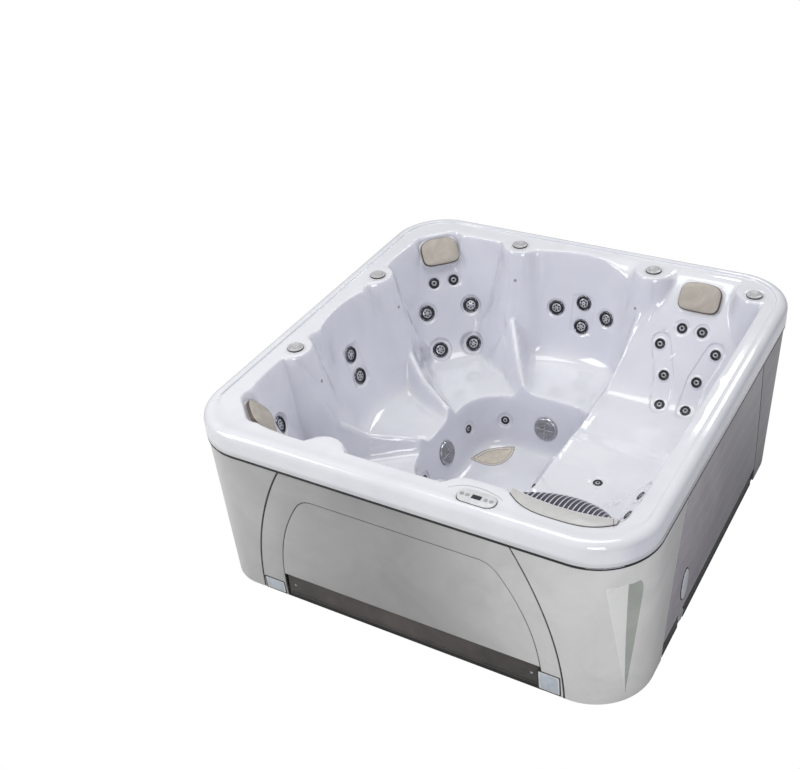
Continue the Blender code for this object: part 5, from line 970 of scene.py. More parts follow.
# Black of the jets' cups, partly their own colour and partly painted shade of the deep recess; the same black
# on the discs that stand for ports and holes is painted shade.
JET_DARK_AND_SHADE = mottled("dark_cup_and_painted_shade", (22, 23, 28), (12, 13, 17), 0.32, scale=60.0)
ROTOR_GREY = mottled("rotor_grey", (206, 208, 213), (158, 160, 167), 0.24, scale=50.0, metallic=0.3, coat=0.2)
PIPE_WHITE = mottled("white_pipe", (228, 228, 224), (206, 206, 202), 0.35, scale=12.0, bump=0.1)
COVER_DARK = mottled("mesh_cover", (150, 150, 155), (116, 116, 122), 0.3, scale=30.0, coat=0.4)
KNOB_GREY = mottled("knob_grey", (198, 197, 197), (180, 179, 180), 0.28, scale=25.0, coat=0.3, bump=0.05,
                    fine_scale=300.0)
# Dark material: real gaskets, pads and borders, and painted shade on the knobs' side walls and feet, the
# control panel's foot line and the strips in the cabinet's gaps.
DARK_GASKET_AND_SHADE = mottled("dark_gasket_and_painted_shade", (58, 56, 56), (38, 37, 38), 0.6, scale=60.0)
PILLOW = mottled("pillow_foam", (188, 181, 171), (170, 162, 152), 0.62, scale=9.0, bump=0.35,
                 fine_scale=420.0, bump_distance=0.0006)
PILLOW_EDGE = mottled("pillow_edge", (112, 101, 94), (88, 79, 74), 0.6, scale=30.0)
PANEL_GREY = mottled("panel_grey", (222, 222, 222), (208, 208, 208), 0.3, scale=20.0, coat=0.3, bump=0.05,
                     fine_scale=350.0)
DISPLAY_DARK = mottled("display_glass", (40, 43, 48), (26, 28, 33), 0.08, scale=50.0, coat=0.8)
BUTTON_GREY = mottled("button_grey", (176, 177, 178), (150, 151, 154), 0.4, scale=60.0)
GRILLE_GREY = mottled("grille_grey", (200, 199, 196), (184, 183, 181), 0.3, scale=14.0, contrast=0.5,
                      coat=0.3, bump=0.08, fine_scale=260.0)
FIN_PALE = mottled("fin_pale", (216, 214, 216), (196, 194, 198), 0.3, scale=18.0, coat=0.2)
# Dark sheet behind the filter's fins: painted shade of the well inside.
SHADE_SHEET_DARK = mottled("painted_shade_sheet", (70, 70, 88), (38, 38, 52), 0.5, scale=160.0, bump=0.5, fine_scale=900.0)
PLEAT_BLUE = mottled("filter_pleats", (206, 208, 220), (150, 152, 182), 0.85, scale=22.0, bump=0.3,
                     fine_scale=500.0)
# Silver panels with painted light: darker in the middle of the front as a painted reflection, and darker
# towards the back round the front corners as painted shade.
SILVER = graded(graded(mottled("silver_panel", (222, 221, 219), (210, 210, 208), 0.3, scale=3.0, coat=0.35,
                               bump=0.05, fine_scale=700.0), "X", -1.065, 1.065,
                       [(0.0, 0.80), (0.12, 0.73), (0.3, 0.50), (0.5, 0.42), (0.64, 0.60), (0.78, 0.90),
                        (0.92, 1.0)]), "Y", -1.0, -0.5, [(0.0, 1.0), (0.2, 1.0), (0.5, 0.72), (1.0, 0.48)])
# Lit and shaded copies of the silver: painted light on the recess's two facets, and the lit one also a
# painted highlight by the front corners' side seams.
FACET_PAINTED_LIT = mottled("facet_painted_lit", (240, 240, 238), (230, 230, 228), 0.25, scale=3.0, coat=0.4)
FACET_PAINTED_SHADE = mottled("facet_painted_shade", (168, 172, 164), (152, 156, 150), 0.3, scale=3.0, coat=0.3)
# Side panels with painted shade that darkens them towards the back.
SIDE_GREY = lined(graded(mottled("side_panel", (178, 172, 180), (146, 140, 150), 0.36, scale=1.6, coat=0.2,
                                 bump=0.08, fine_scale=500.0), "Y", -1.0, 1.08,
                         [(0.0, 1.0), (0.25, 0.88), (0.6, 0.42), (1.0, 0.26)]), 0.118, 0.0035, 0.3,
                  (226, 224, 230))
TRIM_BLACK = mottled("trim_black", (24, 25, 26), (14, 15, 16), 0.45, scale=20.0)
KICK_DARK = graded(mottled("kick_dark", (104, 98, 94), (84, 80, 77), 0.45, scale=5.0, bump=0.15,
                           fine_scale=900.0), "X", -0.66, 0.66, [(0.0, 0.45), (0.5, 0.75), (1.0, 0.4)])
PLATE_BLUE = mottled("plate_grey", (196, 204, 212), (178, 188, 198), 0.35, scale=30.0, coat=0.3)
INLAY_FILL = mottled("inlay_fill", (222, 214, 198), (206, 197, 182), 0.45, scale=26.0, bump=0.25,
                     fine_scale=700.0)
INLAY_LINE = mottled("inlay_line", (150, 138, 128), (126, 115, 106), 0.5, scale=40.0)
INLAY_BAND = mottled("inlay_band", (226, 221, 210), (212, 206, 196), 0.45, scale=30.0)
# Grey of the pins and the return fitting, and painted shade on the moulded line behind the control panel.
PIN_GREY_AND_LINE_SHADE = mottled("pin_grey_and_painted_line_shade", (168, 160, 164), (146, 138, 144), 0.4, scale=90.0)
FRAME_STEEL = mottled("galvanised_steel", (172, 176, 180), (132, 136, 142), 0.38, scale=34.0, metallic=0.85,
                      bump=0.2, fine_scale=240.0)
PAN_BLACK = mottled("pan_black", (40, 39, 40), (26, 25, 27), 0.55, scale=14.0, bump=0.4, fine_scale=380.0)
BOX_CHARCOAL = mottled("box_charcoal", (74, 78, 86), (56, 59, 66), 0.42, scale=12.0, bump=0.25,
                       fine_scale=420.0)
MOTOR_BLUE = mottled("motor_blue", (58, 82, 112), (40, 60, 86), 0.35, scale=16.0, coat=0.3, bump=0.2,
                     fine_scale=200.0)
WET_BLACK = mottled("wet_end_black", (52, 53, 57), (34, 35, 38), 0.3, scale=20.0, coat=0.2, bump=0.15,
                    fine_scale=300.0)
HEATER_STEEL = mottled("heater_steel", (198, 200, 203), (160, 163, 168), 0.22, scale=26.0, metallic=1.0,
                       bump=0.1, fine_scale=500.0)


# Pieces

def deselect_all():
    """Nothing selected and no active object."""
    if bpy.context.object and bpy.context.object.mode != "OBJECT":
        bpy.ops.object.mode_set(mode="OBJECT")
    bpy.ops.object.select_all(action="DESELECT")


def new_piece(name, mesh):
    """Object in the scene's own collection from a mesh."""
    obj = bpy.data.objects.new(name, mesh)
    bpy.context.scene.collection.objects.link(obj)
    return obj


def finished(obj, body, slot_name, *nodes, smooth_angle=30.0):
    """Applies a piece's modifiers, shades it, fixes it to a body and hides the imported nodes that it stands
    for.
    """
    deselect_all()
    obj.select_set(True)
    bpy.context.view_layer.objects.active = obj
    for modifier in list(obj.modifiers):
        bpy.ops.object.modifier_apply(modifier=modifier.name)
    bpy.ops.object.transform_apply(location=True, rotation=True, scale=True)
    if smooth_angle is None:
        bpy.ops.object.shade_smooth()
    else:
        bpy.ops.object.shade_smooth_by_angle(angle=math.radians(smooth_angle))
    obj.select_set(False)
    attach(obj, body)
    if nodes:
        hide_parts(*nodes)
    return obj


# The shell

REFINE_CELL = 0.0076
REFINE_MARGIN = 0.003
REFINE_PASSES = 3


def faces_to_refine(centres, sizes):
    """Faces larger than the wanted cell that lie on the edge of a bed, pad or channel."""
    targets = [(matrix, half_x, half_y, radius, edge) for matrix, half_x, half_y, radius, _, edge in BEDS]
    targets += [(SEATS[place_shares], half_x, half_y, PAD_ROUND, PAD_EDGE)
                for place_shares, half_x, half_y in SEAT_PADS]
    chosen = np.zeros(len(centres), bool)
    for matrix, half_x, half_y, radius, edge in targets:
        local = to_local(centres, matrix)
        away = rounded_box(local[:, 0], local[:, 1], half_x, half_y, min(radius, half_x, half_y))
        near = (away < sizes + REFINE_MARGIN) & (away > -edge - sizes - REFINE_MARGIN)
        chosen |= near & (np.abs(local[:, 2]) < PRESS_REACH)
    for line_shares, half in CHANNELS:
        outer = channel_share(centres, line_shares, half + REFINE_MARGIN, REFINE_MARGIN / 4) > 0
        inner = channel_share(centres, line_shares, half - CHANNEL_EDGE - REFINE_MARGIN * 2,
                              REFINE_MARGIN) > 0
        chosen |= outer & ~inner
    return chosen & (sizes > REFINE_CELL)


def refine(mesh):
    """Splits the faces on the edges of what is pressed in."""
    built = bmesh.new()
    built.from_mesh(mesh)
    for _ in range(REFINE_PASSES):
        built.faces.ensure_lookup_table()
        centres = np.array([tuple(f.calc_center_median()) for f in built.faces])
        sizes = np.array([max(e.calc_length() for e in f.edges) for f in built.faces])
        chosen = faces_to_refine(centres, sizes)
        edges = {e for f, is_chosen in zip(built.faces, chosen) if is_chosen for e in f.edges}
        if not edges:
            break
        bmesh.ops.subdivide_edges(built, edges=list(edges), cuts=1, use_grid_fill=True)
    built.to_mesh(mesh)
    built.free()


def mesh_points(mesh):
    """Points of a mesh as an array, and which of them lie inside the rim's roll."""
    points = np.zeros(len(mesh.vertices) * 3)
    mesh.vertices.foreach_get("co", points)
    points = points.reshape(-1, 3)
    return points, rim_distance(points[:, 0], points[:, 1]) > RIM_ROLL + CLEARANCE


def shell_piece(name, mesh, points, material, *nodes):
    """One side of the shell, with its points moved to their final places."""
    mesh.vertices.foreach_set("co", points.ravel())
    mesh.update()
    mesh.materials.append(material)
    finished(new_piece(name, mesh), TUB, "acrylic", *nodes, smooth_angle=None)


def bathing_side():
    """The moulded side that the bathers see, down to the skirt's lower edge."""
    mesh = sheet_mesh("bathing_shell", SHEET_COLUMNS, SHEET_ROWS)
    refine(mesh)
    points, inside = mesh_points(mesh)
    points[inside, 2] = shell_height(points[inside, 0], points[inside, 1])
    points[inside] = pressed(points[inside], sheet_normals(points[inside]))
    shell_piece("bathing_shell", mesh, points, ACRYLIC, "shell")


BACKING_COLUMNS = 340
BACKING_ROWS = 84
BACKING_GAP = 0.012
BACKING_DROP = 0.012
BACKING_BED_GROW = 0.014


def shell_backing():
    """Glass-fibre side of the shell, seen from inside the cabinet."""
    mesh = sheet_mesh("shell_backing", BACKING_COLUMNS, BACKING_ROWS)
    points, inside = mesh_points(mesh)
    normals = sheet_normals(points[inside])
    points[inside] = pressed(points[inside], normals, BACKING_BED_GROW) - normals * BACKING_GAP
    points[inside, 2] -= BACKING_DROP
    nx, ny = outward(points[:, 0], points[:, 1])
    outer = ~inside
    points[outer, 0] -= nx[outer] * EDGE_FOLD
    points[outer, 1] -= ny[outer] * EDGE_FOLD
    points[outer, 2] = np.minimum(points[outer, 2], HEIGHT - EDGE_FOLD)
    mesh.flip_normals()
    shell_piece("shell_backing", mesh, points, FIBREGLASS)


bathing_side()
shell_backing()


# Forms: a profile point has a radius, a height and, where they aren't 0, a material and a lobe share

def levels(low, high, steps):
    """Evenly spaced values."""
    return [low + (high - low) * step / steps for step in range(steps + 1)]


def circle_place(radius, angle):
    """Translation matrix to a place on a circle round Z."""
    return at(radius * math.cos(angle), radius * math.sin(angle), 0)


def around(count):
    """Angles in the middle of equal parts of a turn."""
    return [2 * math.pi * (index + 0.5) / count for index in range(count)]


def add_rings(built, rings, materials):
    """Adds faces between rings of points, from the top ring down; a ring can be a single point."""
    made = [[built.verts.new(point) for point in ring] for ring in rings]
    for upper, lower, material in zip(made, made[1:], materials):
        count = max(len(upper), len(lower))
        for i in range(count):
            j = (i + 1) % count
            corners = [upper[i % len(upper)], lower[i % len(lower)]]
            corners += [ring[j] for ring in (lower, upper) if len(ring) > 1]
            built.faces.new(corners).material_index = material


def add_turned(built, profile, sides, matrix, lobes=0, lobe_depth=0.0):
    """Adds a turned form: its profile runs from the top middle outwards and down."""
    profile = [tuple(point) + (0, 0.0)[len(point) - 2:] for point in profile]
    rings = []
    for radius, height, _, lobe in profile:
        angles = [2 * math.pi * step / sides for step in range(sides if radius else 1)]
        reach = [radius * (1 + lobe * lobe_depth * math.cos(lobes * angle)) for angle in angles]
        rings.append([matrix @ Vector((r * math.cos(a), r * math.sin(a), height))
                      for r, a in zip(reach, angles)])
    add_rings(built, rings, [point[2] for point in profile[1:]])


def add_disc(built, radius, low, high, edge, sides, matrix, material=0):
    """Adds a closed disc with a chamfered upper edge."""
    outline = ((0, high), (radius - edge, high), (radius, high - edge), (radius, low), (0, low))
    add_turned(built, [(*point, material) for point in outline], sides, matrix)


def add_bar(built, size, matrix, bevel, material=0):
    """Adds a box with bevelled edges."""
    result = bmesh.ops.create_cube(built, size=1, matrix=matrix @ Matrix.Diagonal((*size, 1)))
    edges = list({edge for vert in result["verts"] for edge in vert.link_edges})
    faces = list({face for vert in result["verts"] for face in vert.link_faces})
    for face in faces:
        face.material_index = material
    bmesh.ops.bevel(built, geom=edges, offset=bevel, segments=2, profile=0.6, affect="EDGES",
                    clamp_overlap=True, material=material)


def slab(built, loop, low, high, bevel, matrix, material=0, segments=2):
    """Adds a flat slab with a rounded upper edge over an outline."""
    bottom = [built.verts.new(matrix @ Vector((x, y, low))) for x, y in loop]
    face = built.faces.new(bottom)
    upright = matrix.to_3x3() @ Vector((0, 0, 1))
    if face.normal.dot(upright) < 0:
        face.normal_flip()
    result = bmesh.ops.extrude_face_region(built, geom=[face], use_keep_orig=True)
    moved = [item for item in result["geom"] if isinstance(item, bmesh.types.BMVert)]
    bmesh.ops.translate(built, verts=moved, vec=upright * (high - low))
    built.normal_update()
    face.normal_flip()
    caps = [item for item in result["geom"] if isinstance(item, bmesh.types.BMFace)]
    sides = {f for vert in moved for f in vert.link_faces}
    for item in list(sides) + [face]:
        item.material_index = material
    if bevel:
        edges = list({edge for cap in caps for edge in cap.edges})
        bmesh.ops.bevel(built, geom=edges, offset=bevel, segments=segments, profile=0.55, affect="EDGES",
                        clamp_overlap=True, material=material)


def layers(built, outline, matrix, *levels_of_layers):
    """Adds slabs on each other: the growth of the outline, low and high level, bevel and material of each."""
    for grow, low, high, bevel, material in levels_of_layers:
        slab(built, outline(grow), low, high, bevel, matrix, material)


def hand_over(name, built, materials, body, slot_name, *nodes, modifiers=(), smooth_angle=30.0):
    """Finished piece from a bmesh, which is freed."""
    mesh = bpy.data.meshes.new(name)
    built.to_mesh(mesh)
    built.free()
    for material in materials:
        mesh.materials.append(material)
    obj = new_piece(name, mesh)
    for kind, settings in modifiers:
        modifier = obj.modifiers.new(kind.lower(), kind)
        for key, value in settings.items():
            setattr(modifier, key, value)
    return finished(obj, body, slot_name, *nodes, smooth_angle=smooth_angle)


# Jets: metal ring, dark cup, light rotor with small ports, and the pipes behind the shell; the cup's black is
# partly painted shade of its deep recess, and the ports are dark discs of painted shade

RING, CUP, ROTOR, PIPE = range(4)
JET_MATERIALS = (JET_STEEL, JET_DARK_AND_SHADE, ROTOR_GREY, PIPE_WHITE)
STEM_RADIUS = 0.011
STEM_TOP = -0.034
STEM_END = -0.056
PIPE_START = -0.050
PIPE_RADIUS = 0.0135
PIPE_SIDES = 12
FITTING_RADIUS = 0.0165
JET_SIDES = 56
TOOTH_COUNT = 14
TOOTH_DEPTH = 0.035
JET_SMOOTH_ANGLE = 32.0

# Shares of a jet's radius; discs have a radius, a foot, a top and an edge
LARGE_RING_SHARES = ((0, 0.020, CUP), (0.76, 0.020, CUP), (0.80, 0.030, CUP, 1), (0.81, 0.070, CUP, 1),
                     (0.835, 0.120, CUP, 0.6), (0.875, 0.142, RING), (0.925, 0.135, RING),
                     (0.965, 0.105, RING), (1.0, 0.030, RING), (0.99, -0.012, RING), (0.72, -0.03, CUP),
                     (0.66, -0.70, CUP))
SMALL_RING_SHARES = ((0, 0.030, CUP), (0.60, 0.030, CUP), (0.64, 0.045, CUP, 1), (0.655, 0.090, CUP, 1),
                     (0.70, 0.155, CUP, 0.5), (0.78, 0.180, CUP), (0.89, 0.165, CUP), (0.96, 0.115, RING),
                     (1.0, 0.035, RING), (0.985, -0.015, RING), (0.70, -0.04, CUP), (0.62, -0.95, CUP))
LARGE_ROTOR_SHARES = (
    (0, 0.155), (0.10, 0.155), (0.135, 0.135), (0.15, 0.095), (0.30, 0.085), (0.47, 0.080), (0.545, 0.050),
    (0.575, 0.034), (0.570, 0.028), (0.12, 0.028), (0.12, -0.16), (0, -0.16))
SMALL_ROTOR_SHARES = (
    (0, 0.045, CUP), (0.22, 0.045, CUP), (0.25, 0.16, CUP), (0.31, 0.19, ROTOR), (0.40, 0.15, ROTOR),
    (0.46, 0.10, ROTOR), (0.50, 0.06, ROTOR), (0.52, -0.22, CUP), (0, -0.22, ROTOR))
PORT_COUNT = 6
PORT_SIDES = 10
PORT_CIRCLE = 0.345
PORT_SHARES = (0.118, 0.04, 0.098, 0.006)
HUB_SIDES = 12
HUB_SHARES = (0.055, 0.10, 0.162, 0.006)
VANE_PLACE = (0.33, 0, 0.085)
VANE_SIZE = (0.30, 0.035, 0.05)
VANE_BEVEL = 0.008
TAB_COUNT = 4
TAB_SIZE = (0.11, 0.10, 0.05)
TAB_HEIGHT = 0.150
TAB_BEVEL = 0.012
LARGE_TAB_CIRCLE = 0.875
SMALL_TAB_CIRCLE = 0.80


def times(shares, unit):
    """Lengths from shares of a unit."""
    return tuple(share * unit for share in shares)


def grown(shares, unit):
    """Profile in metres from shares of a radius."""
    return [(*times(point[:2], unit), *point[2:]) for point in shares]


def add_large_rotor(built, unit, matrix, base_material, port_material):
    """Light disc with a hub, vanes and a circle of small dark ports; the ports are dark discs of painted
    shade where holes would be.
    """
    profile = [(*point, base_material) for point in grown(LARGE_ROTOR_SHARES, unit)]
    add_turned(built, profile, JET_SIDES // 2, matrix)
    for angle in around(PORT_COUNT):
        spot = matrix @ circle_place(PORT_CIRCLE * unit, angle)
        add_disc(built, *times(PORT_SHARES, unit), PORT_SIDES, spot, port_material)
        turn = matrix @ Matrix.Rotation(angle + math.pi / PORT_COUNT, 4, "Z")
        add_bar(built, times(VANE_SIZE, unit), turn @ at(*times(VANE_PLACE, unit)), VANE_BEVEL * unit,
                base_material)
    add_disc(built, *times(HUB_SHARES, unit), HUB_SIDES, matrix, port_material)


def add_jet(built, kind, matrix, has_own_rotor):
    """One jet in its bed, from its face to the end of its stem, with small bright tabs on its ring."""
    unit = JET_RADII[kind]
    is_large = kind in ("large", "middle")
    stem = [(STEM_RADIUS, STEM_TOP, CUP), (STEM_RADIUS, STEM_END, CUP), (0, STEM_END, CUP)]
    profile = grown(LARGE_RING_SHARES if is_large else SMALL_RING_SHARES, unit) + stem
    add_turned(built, profile, JET_SIDES, matrix, TOOTH_COUNT, TOOTH_DEPTH)
    for angle in around(TAB_COUNT):
        place = at((LARGE_TAB_CIRCLE if is_large else SMALL_TAB_CIRCLE) * unit, 0, TAB_HEIGHT * unit)
        add_bar(built, times(TAB_SIZE, unit), matrix @ Matrix.Rotation(angle, 4, "Z") @ place,
                TAB_BEVEL * unit, ROTOR)
    if is_large and not has_own_rotor:
        add_large_rotor(built, unit, matrix, ROTOR, CUP)
    if not is_large:
        add_turned(built, grown(SMALL_ROTOR_SHARES, unit), JET_SIDES // 2, matrix)


def add_pipe(built, points):
    """Adds straight pipes between points, with a round fitting on each."""
    made = []
    for start, end in zip(points, points[1:]):
        run = end - start
        matrix = Matrix.Translation((start + end) / 2) @ run.to_track_quat("Z", "Y").to_matrix().to_4x4()
        made.append(bmesh.ops.create_cone(built, cap_ends=True, segments=PIPE_SIDES, radius1=PIPE_RADIUS,
                                          radius2=PIPE_RADIUS, depth=run.length, matrix=matrix))
    for point in points:
        made.append(bmesh.ops.create_uvsphere(built, u_segments=PIPE_SIDES, v_segments=PIPE_SIDES // 2,
                                              radius=FITTING_RADIUS, matrix=Matrix.Translation(point)))
    for face in {face for result in made for vert in result["verts"] for face in vert.link_faces}:
        face.material_index = PIPE


def jet_set(group, jets):
    """The jets of one seat with the pipe that feeds them."""
    built = bmesh.new()
    route = []
    for index, (kind, place_shares) in enumerate(jets):
        if kind == "bend":
            route.append(scaled(place_shares))
            continue
        seat = SEATS[place_shares]
        face = seat @ at(0, 0, -jet_bed(group, index, kind)[1])
        own_rotor = INSERT_JETS.get((group, index))
        add_jet(built, kind, face, own_rotor is not None)
        route.append(seat @ Vector((0, 0, PIPE_START)))
        if own_rotor:
            rotor = bmesh.new()
            add_large_rotor(rotor, JET_RADII[kind], face, 0, 1)
            hand_over(own_rotor + "_rotor", rotor, (ROTOR_GREY, JET_DARK_AND_SHADE), own_rotor, "jet_metal", own_rotor,
                      smooth_angle=JET_SMOOTH_ANGLE)
    add_pipe(built, route)
    hand_over(group + "_set", built, JET_MATERIALS, TUB, "jet_metal", group, smooth_angle=JET_SMOOTH_ANGLE)


for jet_group_name, jet_list in JET_GROUPS.items():
    jet_set(jet_group_name, jet_list)


# Suction covers: dark meshed discs with a cross

COVER_PROFILE_SHARES = (
    (0, 0.300), (0.10, 0.300), (0.13, 0.262), (0.30, 0.252), (0.33, 0.280), (0.37, 0.280), (0.40, 0.246),
    (0.56, 0.236), (0.59, 0.262), (0.63, 0.262), (0.66, 0.226), (0.80, 0.205), (0.84, 0.225), (0.90, 0.205),
    (0.965, 0.150), (1.0, 0.085), (1.0, 0.0), (0.42, -0.02), (0.38, -0.86), (0, -0.86))
BRIGHT_SHARES = (0.06, 0.16)
COVER_SIDES = 64
COVER_ARMS = 4
# Start, end and height of the bars of an arm, as shares of the cover's radius
ARM_SHARES = ((0.08, 0.45, 0.272), (0.42, 0.70, 0.258), (0.68, 0.92, 0.226))
ARM_SECTION = (0.0042, 0.0045)
ARM_BEVEL = 0.0008
COVER_HOLES = ((14, 0.215), (22, 0.48), (30, 0.73))
HOLE_RADIUS = 0.0024
HOLE_DEPTH = 0.003
HOLE_EDGE = 0.0002
HOLE_SIDES = 8
DOME_SHARE = 0.262
DOME_DROP = 0.10


def suction_cover_piece(name, place_shares):
    """Domed cover with concentric ribs, a raised cross, rows of holes drawn as dark discs of painted shade,
    and a bright edge.
    """
    built = bmesh.new()
    matrix = SEATS[place_shares] @ at(0, 0, -COVER_BED_DEPTH)
    low, high = times(BRIGHT_SHARES, COVER_RADIUS)
    profile = [(r, z, 1 if low < z < high else 0) for r, z in grown(COVER_PROFILE_SHARES, COVER_RADIUS)]
    add_turned(built, profile, COVER_SIDES, matrix)
    for arm in range(COVER_ARMS):
        turn = Matrix.Rotation(arm * math.pi / 2, 4, "Z")
        for start, end, height in ARM_SHARES:
            spot = matrix @ turn @ at((start + end) / 2 * COVER_RADIUS, 0, height * COVER_RADIUS)
            add_bar(built, ((end - start) * COVER_RADIUS, *ARM_SECTION), spot, ARM_BEVEL, 3)
    # Each hole is a dark disc: painted shade.
    for count, radius_share in COVER_HOLES:
        top = (DOME_SHARE - DOME_DROP * radius_share ** 2) * COVER_RADIUS
        for angle in around(count):
            spot = matrix @ circle_place(radius_share * COVER_RADIUS, angle)
            add_disc(built, HOLE_RADIUS, top - HOLE_DEPTH, top, HOLE_EDGE, HOLE_SIDES, spot, 2)
    hand_over(name + "_mesh", built, (COVER_DARK, STAINLESS, JET_DARK_AND_SHADE, ROTOR_GREY), TUB, "charcoal_plastic",
              name)


for cover_name, cover_shares in COVERS:
    suction_cover_piece(cover_name, cover_shares)


# Knobs: a coned ring with a smaller raised disc, on a dark foot; the dark side wall and foot are painted
# shade

# Profile points with material 1 take the dark material: the knob's side wall and foot, painted shade.
KNOB_PROFILE = ((0, 0.0128), (0.0120, 0.0131), (0.0185, 0.0142), (0.0205, 0.0156), (0.0222, 0.0160),
                (0.0236, 0.0152), (0.0243, 0.0126), (0.0262, 0.0116), (0.0318, 0.0112), (0.0348, 0.0104),
                (0.0374, 0.0090), (0.0388, 0.0074), (0.0400, 0.0056, 1), (0.0400, 0.0022, 1),
                (0.0388, 0.0021, 1), (0.0392, 0.0012, 1), (0.0392, 0.0004, 1), (0, 0.0004, 1))
KNOB_SIDES = 72
KNOB_MARKS = 3
MARK_PLACE = (0.0292, 0, 0.0113)
MARK_SIZE = (0.0050, 0.0022, 0.0012)
MARK_BEVEL = 0.0004


def knob_piece(number, place_shares):
    """Round diverter knob that turns on the deck."""
    built = bmesh.new()
    matrix = at(place_shares[0] * HALF_W, place_shares[1] * HALF_D, DECK_Z)
    add_turned(built, KNOB_PROFILE, KNOB_SIDES, matrix)
    for index in range(KNOB_MARKS):
        turn = matrix @ Matrix.Rotation(2 * math.pi * index / KNOB_MARKS, 4, "Z")
        add_bar(built, MARK_SIZE, turn @ at(*MARK_PLACE), MARK_BEVEL, 1)
    name = "knob_" + number
    hand_over(name + "_cap", built, (KNOB_GREY, DARK_GASKET_AND_SHADE), name, "warm_grey_plastic", name)


for knob_number, knob_shares in KNOBS:
    knob_piece(knob_number, knob_shares)


# Headrests: crowned foam pads with a dark edge line

PAD_TURN_STEPS = 96
PAD_RING_SHARES = (0.12, 0.3, 0.5, 0.68, 0.82, 0.91, 0.955)
PAD_CROWN_DROP = 0.42
PAD_MIDDLE_SHARE = 0.985
PAD_DISH = 0.0012
PAD_RIM_TOP = HEADREST_THICKNESS * (1 - PAD_CROWN_DROP)
# Share of the outline and height of the rings of the rolled edge and the side
PAD_EDGE_RINGS = ((0.965, PAD_RIM_TOP - 0.0012), (0.985, PAD_RIM_TOP - 0.0016), (0.997, PAD_RIM_TOP - 0.0045),
                  (1.0, 0.00775), (0.985, 0.0008), (0.95, 0))
PAD_LINE_RINGS = 4
PAD_POWER_LOWER = 4.6
PAD_POWER_UPPER = 3.0
HEADREST_GAP = 0.0006
PAD_SMOOTH_ANGLE = 50.0


def pad_outline():
    """Rounded outline of a headrest, rounder at its upper end, with sides that bow a little."""
    points = []
    for step in range(PAD_TURN_STEPS):
        angle = 2 * math.pi * step / PAD_TURN_STEPS
        power = PAD_POWER_LOWER if math.sin(angle) < 0 else PAD_POWER_UPPER
        c, s = math.cos(angle), math.sin(angle)
        reach = (abs(c) ** power + abs(s) ** power) ** (-1 / power)
        points.append((HEADREST_WIDTH / 2 * reach * c, HEADREST_HEIGHT / 2 * reach * s))
    return points


def headrest_piece(name, centre_shares, turn):
    """Foam pad in its bed: a full crown, a rolled edge and a dark line round it."""
    matrix = headrest_matrix(centre_shares, turn) @ at(0, 0, HEADREST_GAP - HEADREST_SINK)
    crown = [(share, HEADREST_THICKNESS * (1 - PAD_CROWN_DROP * share ** 5)
              - PAD_DISH * math.cos(share * math.pi)) for share in PAD_RING_SHARES]
    rings = [[(0, 0, HEADREST_THICKNESS * PAD_MIDDLE_SHARE)]]
    rings += [[(x * share, y * share, height) for x, y in pad_outline()]
              for share, height in crown + list(PAD_EDGE_RINGS)] + [[(0, 0, 0)]]
    line_start = len(PAD_RING_SHARES)
    materials = [1 if 0 <= index - line_start < PAD_LINE_RINGS else 0 for index in range(len(rings) - 1)]
    built = bmesh.new()
    add_rings(built, [[matrix @ Vector(point) for point in ring] for ring in rings], materials)
    piece = hand_over(name + "_pad", built, (PILLOW, PILLOW_EDGE), name, "pillow_foam", name,
                      smooth_angle=PAD_SMOOTH_ANGLE)


for headrest_name, headrest_shares, headrest_turn in HEADRESTS:
    headrest_piece("headrest_" + headrest_name, headrest_shares, headrest_turn)


# Control panel: a pill with a dark rim line of painted shade at its foot, a small display and round buttons

PANEL_HEIGHT = 0.009
PANEL_OUTLINE_STEPS = 16
BUTTON_PLACES = (-0.064, -0.040, 0.040, 0.064)
BUTTON_RADIUS = 0.0085
BUTTON_SIDES = 28
CAP_TOP = PANEL_HEIGHT + 0.0022
CAP_FOOT = 0.0056
PANEL_STUB = (0.014, -0.034, 0.001, 0.001, 24)
# Growth of the outline, levels, bevel and material of the panel's layers
PANEL_LAYERS = ((0.0, 0.0003, 0.0030, 0.0006, 1), (-0.0022, 0.0030, 0.0068, 0.0015, 0),
                (-0.0100, 0.0068, 0.0080, 0.0006, 0))
# Half sizes, corner radius and steps of an outline; levels, bevel and material
DISPLAY_LAYERS = (((0.0260, 0.0175, 0.004, 5), (0.0080, 0.0086, 0.0003, 0)),
                  ((0.0205, 0.0120, 0.002, 4), (0.0086, 0.0089, 0.0001, 2)))
# Distance outside a button, height and material of the ring round it
BUTTON_RING = ((0.0004, 0.0086), (0.0018, 0.0088), (0.0030, 0.0080), (0.0030, 0.0070), (0.0004, 0.0070, 1),
               (0.0004, 0.0086, 1))
CAP_PROFILE = ((0, CAP_TOP - 0.0006), (0.0050, CAP_TOP - 0.0004), (0.0068, CAP_TOP),
               (0.0080, CAP_TOP - 0.0005), (BUTTON_RADIUS, CAP_TOP - 0.0014), (BUTTON_RADIUS, CAP_FOOT),
               (0, CAP_FOOT))


